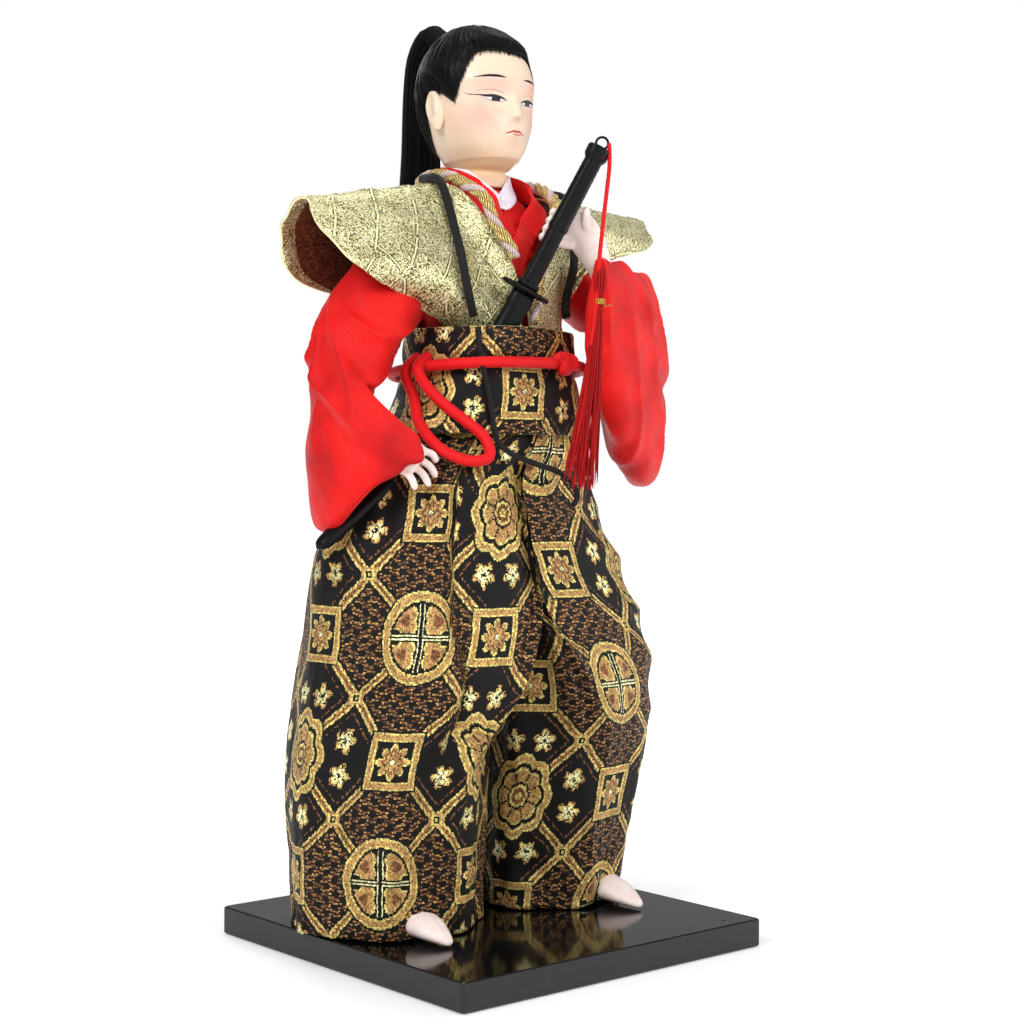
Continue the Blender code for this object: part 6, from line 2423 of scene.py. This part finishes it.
    def build(self, finishes: Finishes) -> None:
        """Make both legs.

        Args:
            finishes: The doll's materials.
        """
        levels, columns = 150, 240
        for side, name, finish in ((-1, "skirt_leg_right", finishes.brocade),
                                   (1, "skirt_leg_left", finishes.brocade_far)):
            grid, places = [], []
            for j in range(levels):
                z = 9.6 + (178 - 9.6) * j / (levels - 1)
                ring = [self.ring_point(side, z, math.pi + 2 * math.pi * k / columns)
                        for k in range(columns)]
                grid.append(ring)
                places.append(self.cloth_places(side, z, ring, math.pi))
            skin = Skin().sheet(grid, places, closed=True, flip=side < 0)
            skin.cap(grid[0], flip=side > 0)
            skin.cap(grid[-1], flip=side < 0)
            piece = skin.build(name, finish)
            seat(piece, "black_brocade", *(["hakama"] if side < 0 else []))


@dataclass
class Sleeves:
    """The hanging sleeves, each an upper arm run into a wide flat bag."""

    voxel: float = 0.0009
    right_arm: tuple[Section, ...] = ((-26, 6, 221, 11.5, 11.5), (-39, 6, 210, 14, 14.5),
                                      (-50, 6, 196, 13, 16), (-54.5, 6, 182, 10, 14.5),
                                      (-57, 7, 172, 6, 8))
    right_bag: tuple[Section, ...] = ((18, -57.5, 188, 158, 2.4), (15, -59.5, 193, 140, 3.6),
                                      (9, -61.5, 196, 133.5, 4.6), (1, -62, 191, 134.0, 5.0),
                                      (-7, -61, 184, 140.5, 5.0), (-13, -57.5, 177, 146.6, 4.6),
                                      (-17, -54, 172, 149.6, 4.2), (-20.5, -51, 168, 152.2, 3.6),
                                      (-23.5, -47.5, 164, 156.0, 2.4))
    left_arm: tuple[Section, ...] = ((26, 6, 225, 11.5, 11), (39, 5, 219, 13.5, 13),
                                     (52, 1, 211, 13, 14), (58, -4, 203, 10, 12), (60, -6, 196, 6, 8))
    left_bag: tuple[Section, ...] = ((3.0, 68.0, 212, 172, 3.5), (-2.5, 65.5, 218, 154, 6.5),
                                     (-9, 59.5, 222, 148, 8.5), (-16, 50, 222, 150, 9.0),
                                     (-22.5, 39, 221, 158, 8.6), (-28.5, 28.5, 222, 165, 7.4),
                                     (-31.5, 21, 223, 176, 6.4), (-32.8, 15.5, 222.5, 190, 5.4))

    def shell(self, arm: Sequence[Section], bag: Sequence[Section]) -> Skin:
        """Make the arm and the bag as two closed lofts.

        Args:
            arm: The arm's stations.
            bag: The bag's stations.

        Returns:
            The mesh, not yet fused.
        """
        skin = Skin()
        knots = smooth_path([at(*row[:3]) for row in arm], 14)
        rows = []
        for i, (_, side, out) in enumerate(path_frames(knots, lambda p: Vector((0, -1, 0)))):
            wide, deep = blend_rows([row[3:] for row in arm], i / 13)
            rows.append([knots[i] + side * wide * SCALE * MM * math.cos(t)
                         + out * deep * SCALE * MM * math.sin(t)
                         for t in (2 * math.pi * k / 40 for k in range(40))])
        skin.loft(rows)
        rows, count = [], 30
        path = [blend_rows(bag, i / (count - 1)) for i in range(count)]
        for i, (y, cx, top, low, thick) in enumerate(path):
            before, after = path[max(i - 1, 0)], path[min(i + 1, count - 1)]
            heading = Vector((after[1] - before[1], after[0] - before[0], 0)).normalized()
            across = Vector((-heading.y, heading.x, 0))
            ring = []
            for k in range(48):
                c, s = math.cos(2 * math.pi * k / 48), math.sin(2 * math.pi * k / 48)
                ring.append(at(cx, y, (top + low) / 2)
                            + across * math.copysign(abs(c) ** 0.8, c) * thick * (1 - 0.25 * s)
                            * SCALE * MM
                            + Vector((0, 0, math.copysign(abs(s) ** 0.8, s) * (top - low) / 2
                                      * SCALE * MM)))
            rows.append(ring)
        skin.loft(rows)
        return skin

    def crease(self, side: int, point: Vector) -> float:
        """Return the depth of the folds at a place, in metres, out of the cloth.

        Args:
            side: -1 for the doll's right, 1 for its left.
            point: The place in metres.

        Returns:
            The distance out of the cloth.
        """
        x, y, z = point / MM
        bend = 1.2 * ripple(x, y, z, 24.0)
        soft = 0.9 * ripple(x, y, z, 14.0) + 0.35 * ripple(x, y, z, 6.0)
        if side < 0:
            fan = math.atan2(z - 214, y - 14) * 9.0
            ridge = (1 - abs(math.sin(fan + bend))) ** 1.5
            soft += 2.4 * (ridge - 0.35) * ease((208 - z) / 16) * ease((z - 150) / 26)
            pull = z - 178 - 0.75 * (y - 4)
            soft += 1.6 * math.exp(-(pull / 2.8) ** 2) - 1.2 * math.exp(-((pull + 6) / 3.2) ** 2)
        else:
            ridge = (1 - abs(math.sin((x + 0.28 * z) / 5.4 + bend))) ** 1.5
            soft += 2.2 * (ridge - 0.35) * ease((222 - z) / 20) * ease((z - 146) / 18)
            pull = z - 204 + 0.9 * (x - 50)
            soft += 1.3 * math.exp(-(pull / 3.0) ** 2) - 1.0 * math.exp(-((pull + 6) / 3.0) ** 2)
        return (soft * 0.85 - 0.5) * MM

    def build(self, finishes: Finishes) -> None:
        """Make both sleeves.

        Args:
            finishes: The doll's materials.
        """
        for side, name, node, arm, bag in (
                (-1, "sleeve_cloth_right", "right_sleeve", self.right_arm, self.right_bag),
                (1, "sleeve_cloth_left", "left_sleeve", self.left_arm, self.left_bag)):
            piece = remesh(self.shell(arm, bag).build(name, finishes.gauze), self.voxel, 4)
            mesh = piece.data
            moved = [v.co + v.normal * (self.crease(side, v.co) - 0.0002) for v in mesh.vertices]
            for vertex, place in zip(mesh.vertices, moved):
                vertex.co = place
            mesh.update()
            seat(piece, "red_cloth", node)


# Hands and feet

@dataclass
class Hands:
    """Both moulded hands, the right one flat and the left one closed round the grip."""

    voxel: float = 0.00032
    finger: float = 0.0013
    palm: float = 0.0028
    right_palm: tuple[Section, ...] = ((-60.5, -4, 170, 3.2, 1.0), (-57.5, -8, 166, 3.6, 1.0),
                                       (-52, -13, 161, 5.4, 1.05), (-46.6, -16.4, 156.4, 6.2, 0.95),
                                       (-44.6, -17.4, 154.6, 5.0, 0.6))
    right_roots: tuple[Point, ...] = ((-50.4, -16.4, 153.6), (-47.2, -16.9, 155.0),
                                      (-44.2, -17.0, 156.8), (-41.6, -16.6, 159.2))
    right_tips: tuple[Point, ...] = ((-47.6, -20.4, 147.2), (-42.4, -20.6, 148.2),
                                     (-39.2, -19.8, 151.0), (-38.0, -18.4, 155.6))
    left_palm: tuple[Section, ...] = ((25.5, -26.5, 211, 3.4, 1.05), (21, -28.5, 218, 4.0, 1.1),
                                      (15.4, -29, 225.6, 5.6, 1.15), (9.8, -29, 231.4, 6.2, 1.0),
                                      (6.6, -28.8, 234.2, 4.6, 0.7))

    def add_palm(self, skin: Skin, stations: Sequence[Section], hint: Vector) -> None:
        """Add the flattened palm and wrist.

        Args:
            skin: The mesh that takes it.
            stations: The palm's stations.
            hint: The outward direction.
        """
        points = smooth_path([at(*row[:3]) for row in stations], 16)
        rows = []
        for i, (_, side, out) in enumerate(path_frames(points, lambda p: hint)):
            wide, thick = blend_rows([row[3:] for row in stations], i / 15)
            rows.append([points[i] + side * wide * SCALE * MM * math.cos(t)
                         + out * self.palm * thick * math.sin(t)
                         for t in (2 * math.pi * k / 28 for k in range(28))])
        skin.loft(rows)

    def add_finger(self, skin: Skin, knots: Sequence[Vector], radius: float) -> None:
        """Add one tapering finger with a round tip.

        Args:
            skin: The mesh that takes it.
            knots: The finger's middle line.
            radius: Its radius in metres.
        """
        points = smooth_path(knots, 18)
        rows = []
        for i, (_, side, out) in enumerate(path_frames(points, lambda p: Vector((0.3, -1, 0.4)))):
            f = i / 17
            size = radius * (1.0 - 0.14 * f) * (1 + 0.03 * math.sin(f * 9))
            size *= math.sqrt(max(0.04, 1 - max(0.0, (f - 0.80) / 0.21) ** 2))
            rows.append([points[i] + side * size * math.cos(t) + out * size * math.sin(t)
                         for t in (2 * math.pi * k / 20 for k in range(20))])
        skin.loft(rows)

    def build(self, finishes: Finishes) -> None:
        """Make both hands.

        Args:
            finishes: The doll's materials.
        """
        right = Skin()
        self.add_palm(right, self.right_palm, Vector((-0.35, -0.75, 0.5)))
        for (rx, ry, rz), (tx, ty, tz) in zip(self.right_roots, self.right_tips):
            self.add_finger(right, [at(rx - 1.8, ry + 1.4, rz + 2.0), at(rx, ry, rz),
                                    at((rx + tx) / 2 + 0.3, (ry + ty) / 2 - 0.9, (rz + tz) / 2 + 0.6),
                                    at(tx, ty, tz)], self.finger)
        seat(remesh(right.build("hand_right_skin", finishes.hand), self.voxel, 3),
             "pale_hand", "right_hand")
        left = Skin()
        self.add_palm(left, self.left_palm, Vector((0.45, 0.45, 0.75)))
        for step in range(4):
            lift = 2.55 * step
            self.add_finger(left, [at(10.6 - 0.5 * step, -27.0 - 0.9 * step, 225.4 + lift),
                                   at(6.0 + 0.1 * step, -23.6 - 0.9 * step, 226.2 + lift),
                                   at(0.4 + 0.5 * step, -24.0 - 0.9 * step, 227.0 + lift),
                                   at(-3.2 + 0.9 * step, -27.4 - 0.9 * step, 227.2 + lift)],
                            self.finger * 1.12)
        self.add_finger(left, [at(14.5, -29.5, 227.5), at(9.6, -33.4, 231.5), at(7.6, -36.2, 236.2)],
                        self.finger * 1.1)
        seat(remesh(left.build("hand_left_skin", finishes.hand), self.voxel, 4),
             "pale_hand", "left_hand")


@dataclass
class Feet:
    """Both split-toe feet that show under the hem."""

    width: float = 0.0145
    height: float = 0.011
    stations: tuple[Section, ...] = ((17.5, 0.36, 0.50), (12, 0.80, 0.90), (-4, 0.90, 1.0),
                                     (-18, 0.82, 0.74), (-24, 0.58, 0.50), (-29.6, 0.20, 0.22))

    def build(self, finishes: Finishes) -> None:
        """Make both feet.

        Args:
            finishes: The doll's materials.
        """
        for side, name, node in ((-1, "foot_sock_right", "foot_right"), (1, "foot_sock_left", "foot_left")):
            skin, rows = Skin(), []
            for i in range(70):
                y, wide, high = blend_rows(self.stations, i / 69)
                end = math.sqrt(max(0.01, 1 - max(0.0, (i / 69 - 0.93) / 0.072) ** 2))
                ring = []
                for k in range(64):
                    angle = 2 * math.pi * k / 64
                    c, s = math.cos(angle), math.sin(angle)
                    split = 0.0004 * math.exp(-((c * side + 0.28) / 0.10) ** 2) * ease((-18 - y) / 6)
                    flat = 0.86 if s < 0 else 1.0
                    ring.append(at(side * 40.5, y, 9) + Vector((
                        self.width / 2 * wide * c * end, 0,
                        SEAT_GAP + self.height / 2 * high * (1 + s * flat * end)
                        - (split if s > 0 else 0.0))))
                rows.append(ring)
            skin.sheet(rows, closed=True, flip=True)
            skin.cap(rows[0])
            skin.cap(rows[-1], flip=True)
            seat(skin.build(name, finishes.hand), "pale_hand", node)


@dataclass
class Tassel:
    """The red cord from the grip's ring, its wire-bound head and the thread fringe."""

    sword: Sword
    cord_diameter: float = 0.0014
    fringe_width: float = 0.0072
    band_diameter: float = 0.0034
    head_length: float = 0.0095
    band_length: float = 0.0022
    fringe_length: float = 0.058
    threads: int = 96
    seed: int = 11

    def build(self, finishes: Finishes) -> None:
        """Make the cord, the bound head and the fringe.

        Args:
            finishes: The doll's materials.
        """
        across = Vector(TO_THE_RIGHT).normalized()
        hang = self.sword.ring_centre + across * (self.sword.ring_diameter / 2
                                                  + self.cord_diameter / 2 + SEAT_GAP * 0.6)
        drop = ((0.0, 0.4), (0.5, 2.6), (0.9, 8), (0.4, 16), (-0.2, 24), (-0.6, 31), (-0.9, 36.6),
                (-1.0, 45.0), (-1.2, 54.0), (-2.2, 64.0))
        path = even_path([hang + Vector(((x - 1.5 - 0.075 * z) * MM, 0, 0.0003 - z * MM))
                          for x, z in drop], 0.0004)
        length = path_length(path)
        radius = self.cord_diameter / 2

        def twist(angle: float, walked: float) -> float:
            """Return the radius of a cord of two strands."""
            return radius * (0.86 + 0.14 * abs(math.cos(angle + walked / 0.0006)))

        line = seat(Skin().tube(path, twist, 16).build("tassel_line", finishes.floss),
                    "red_cord", "tassel_cord")
        top = hang + Vector((-4.6 * MM, 0, 0.0003 - 39.4 * MM))
        neck = top - Vector((0.0004, 0, self.head_length))
        draw = random.Random(self.seed)
        lines = []
        for _ in range(self.threads):
            angle, reach = draw.uniform(0, 2 * math.pi), math.sqrt(draw.random())
            c, s = math.cos(angle) * reach, math.sin(angle) * reach * 0.7
            long = self.fringe_length * draw.uniform(0.86, 1.0)
            drift = draw.uniform(-1.0, 1.0)
            points = []
            for f, size in ((0, 0.25), (0.15, 0.46), (0.45, 0.62), (0.8, 0.50), (1.0, 0.36)):
                half = self.fringe_width / 2 * size
                points.append(top + Vector((c * half - 0.0004 * f, s * half, -self.head_length * f)))
            for f in (0.06, 0.16, 0.32, 0.5, 0.68, 0.85, 1.0):
                size = min(1.0, 0.36 + 1.1 * f)
                half = self.fringe_width / 2 * size
                bundle = 0.35 * math.sin(3 * angle + 2.0) * f
                points.append(neck + Vector((c * half - 0.0072 * f ** 1.2 + drift * 0.0030 * f ** 2.5,
                                             s * half + bundle * 0.001 - drift * 0.0012 * f ** 2.5,
                                             -(self.band_length + long) * f)))
            lines.append((smooth_path(points, 34), draw.uniform(0.00016, 0.00026)))
        fringe = seat(strands("tassel_threads", lines, finishes.floss), "red_cord", "tassel_fringe")
        centre = neck - Vector((0, 0, self.band_length * 0.5))
        coil = []
        for i in range(4 * 24 + 1):
            angle = 2 * math.pi * i / 24
            coil.append(centre + Vector((math.cos(angle) * self.band_diameter / 2,
                                         math.sin(angle) * self.band_diameter / 2 * 0.9,
                                         self.band_length * (0.5 - i / 96) * 0.8)))
        ends = [coil[-1] + Vector((0.0006 * k, -0.0005 * k, 0.0002 * k * (k - 3))) for k in range(1, 4)]
        band = Skin().tube(coil + ends, 0.00022, 10, guide=lambda p: Vector((0, 0, 1)))
        binding = seat(band.build("tassel_wire", finishes.wire), "gold_wire", "tassel_binding")


@dataclass
class Stand:
    """The square plate and what is hidden inside the clothes."""

    pin_radius: float = 0.0006

    def build(self, finishes: Finishes) -> None:
        """Dress the plate, the posts and the core, and set the pins.

        Args:
            finishes: The doll's materials.
        """
        nodes = frame["nodes"]
        for node, finish in (("base_plate", finishes.lacquer), ("leg_post_left", finishes.timber),
                             ("leg_post_right", finishes.timber), ("body_core", finishes.straw)):
            nodes[node].data.materials.clear()
            nodes[node].data.materials.append(finish)
        low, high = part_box("base_plate")
        half = (high.x - low.x) / 2
        for sx, sy, name in ((-1, 1, "plate_pin_back"), (1, -1, "plate_pin_front")):
            centre = Vector((sx * half * 0.814, sy * half * 0.912, high.z - 0.0003))
            rows = [[centre + Vector((self.pin_radius * 0.95 * math.cos(f) * math.cos(t),
                                      self.pin_radius * 0.95 * math.cos(f) * math.sin(t),
                                      0.0002 * math.sin(f))) for t in
                     (2 * math.pi * k / 20 for k in range(20))] for f in (0.0, 0.5, 1.0, 1.45)]
            skin = Skin().loft(rows)
            seat(skin.build(name, finishes.satin), "satin_black")


# Stage

@dataclass(frozen=True)
class Lamp:
    """One soft area light."""

    name: str
    place: Point
    size: float
    power: float


@dataclass
class Studio:
    """The pale floor, the soft lamps and the camera at the photograph's angle."""

    camera_place: Point = (-0.398506, -0.468439, 0.149283)
    camera_right: Point = (0.754783, -0.655935, 0.007127)
    camera_up: Point = (0.004453, 0.015988, 0.999862)
    focal_pixels: float = 1884.02
    image_pixels: float = 1024.0
    sensor: float = 36.0
    lamps: tuple[Lamp, ...] = (Lamp("key", (-0.95, -0.30, 0.75), 0.35, 6.6),
                               Lamp("front", (-0.10, -1.00, 0.55), 0.5, 4.5),
                               Lamp("fill", (0.80, -0.45, 0.35), 0.6, 2.2),
                               Lamp("top", (0.05, 0.10, 1.0), 0.5, 2.4),
                               Lamp("rim", (0.35, 0.9, 0.6), 0.5, 2.4))
    world_strength: float = 0.34

    def camera(self) -> None:
        """Make the camera."""
        data = bpy.data.cameras.new("photo_camera")
        data.sensor_width = self.sensor
        data.lens = self.focal_pixels * self.sensor / self.image_pixels
        data.clip_start, data.clip_end = 0.01, 20.0
        right, up = Vector(self.camera_right), Vector(self.camera_up)
        back = right.cross(up)
        piece = bpy.data.objects.new("photo_camera", data)
        piece.matrix_world = Matrix((
            (right.x, up.x, back.x, self.camera_place[0]), (right.y, up.y, back.y, self.camera_place[1]),
            (right.z, up.z, back.z, self.camera_place[2]), (0, 0, 0, 1)))
        bpy.context.scene.collection.objects.link(piece)
        bpy.context.scene.camera = piece

    def floor(self) -> None:
        """Make the pale floor, which the camera sees as white apart from the shadow."""
        reach = 6.0
        mesh = bpy.data.meshes.new("floor")
        mesh.from_pydata([(-reach, -reach, -0.0002), (reach, -reach, -0.0002),
                          (reach, reach, -0.0002), (-reach, reach, -0.0002)], [], [(0, 1, 2, 3)])
        material = bpy.data.materials.new("pale_floor")
        material.use_nodes = True
        tree = material.node_tree
        shader = tree.nodes["Principled BSDF"]
        shader.inputs["Base Color"].default_value = (0.86, 0.86, 0.86, 1)
        shader.inputs["Roughness"].default_value = 0.9
        glow = tree.nodes.new("ShaderNodeEmission")
        glow.inputs["Color"].default_value = (1, 1, 1, 1)
        place = tree.nodes.new("ShaderNodeTexCoord")
        far = tree.nodes.new("ShaderNodeVectorMath")
        far.operation = "LENGTH"
        rise = tree.nodes.new("ShaderNodeMapRange")
        for key, value in (("From Min", 0.10), ("From Max", 0.38), ("To Min", 0.22), ("To Max", 1.0)):
            rise.inputs[key].default_value = value
        tree.links.new(place.outputs["Object"], far.inputs[0])
        tree.links.new(far.outputs["Value"], rise.inputs["Value"])
        tree.links.new(rise.outputs["Result"], glow.inputs["Strength"])
        seen = tree.nodes.new("ShaderNodeLightPath")
        gloss = tree.nodes.new("ShaderNodeMath")
        gloss.operation = "MAXIMUM"
        tree.links.new(seen.outputs["Is Camera Ray"], gloss.inputs[0])
        tree.links.new(seen.outputs["Is Glossy Ray"], gloss.inputs[1])
        both = tree.nodes.new("ShaderNodeAddShader")
        pick = tree.nodes.new("ShaderNodeMixShader")
        tree.links.new(gloss.outputs[0], pick.inputs[0])
        tree.links.new(shader.outputs[0], pick.inputs[1])
        tree.links.new(shader.outputs[0], both.inputs[0])
        tree.links.new(glow.outputs[0], both.inputs[1])
        tree.links.new(both.outputs[0], pick.inputs[2])
        tree.links.new(pick.outputs[0], tree.nodes["Material Output"].inputs["Surface"])
        mesh.materials.append(material)
        piece = bpy.data.objects.new("floor", mesh)
        bpy.context.scene.collection.objects.link(piece)

    def world(self) -> None:
        """Light the room softly and show white to the camera."""
        scene = bpy.context.scene
        scene.world = bpy.data.worlds.new("soft_room")
        scene.world.use_nodes = True
        tree = scene.world.node_tree
        room = tree.nodes["Background"]
        room.inputs["Strength"].default_value = self.world_strength
        room.inputs["Color"].default_value = (1, 1, 1, 1)
        white = tree.nodes.new("ShaderNodeBackground")
        white.inputs["Strength"].default_value = 1.0
        white.inputs["Color"].default_value = (1, 1, 1, 1)
        path = tree.nodes.new("ShaderNodeLightPath")
        pick = tree.nodes.new("ShaderNodeMixShader")
        tree.links.new(path.outputs["Is Camera Ray"], pick.inputs[0])
        tree.links.new(room.outputs[0], pick.inputs[1])
        tree.links.new(white.outputs[0], pick.inputs[2])
        tree.links.new(pick.outputs[0], tree.nodes["World Output"].inputs["Surface"])

    def build(self) -> None:
        """Make the floor, the light and the camera."""
        scene = bpy.context.scene
        scene.view_settings.view_transform = "Standard"
        self.camera()
        self.floor()
        self.world()
        target = at(0, 0, 150)
        for lamp in self.lamps:
            data = bpy.data.lights.new(lamp.name, "AREA")
            data.size, data.energy = lamp.size, lamp.power
            piece = bpy.data.objects.new(lamp.name, data)
            piece.location = lamp.place
            piece.rotation_mode = "QUATERNION"
            piece.rotation_quaternion = (target - Vector(lamp.place)).to_track_quat("-Z", "Y")
            scene.collection.objects.link(piece)


def main() -> None:
    """Build the doll's dress in order."""
    logging.basicConfig(level=logging.INFO, format="%(name)s: %(message)s")
    Studio().build()
    finishes = Finishes()
    sword, robe, head = Sword(), Robe(), Head()
    Tassel(sword).build(finishes)
    Sash(sword).build(finishes)
    sword.build(finishes)
    head.build(finishes)
    Hair(head).build(finishes)
    robe.build(finishes)
    Vest(robe).build(finishes)
    Sleeves().build(finishes)
    Hands().build(finishes)
    Hakama().build(finishes)
    Feet().build(finishes)
    Stand().build(finishes)


if __name__ == "__main__":
    main()
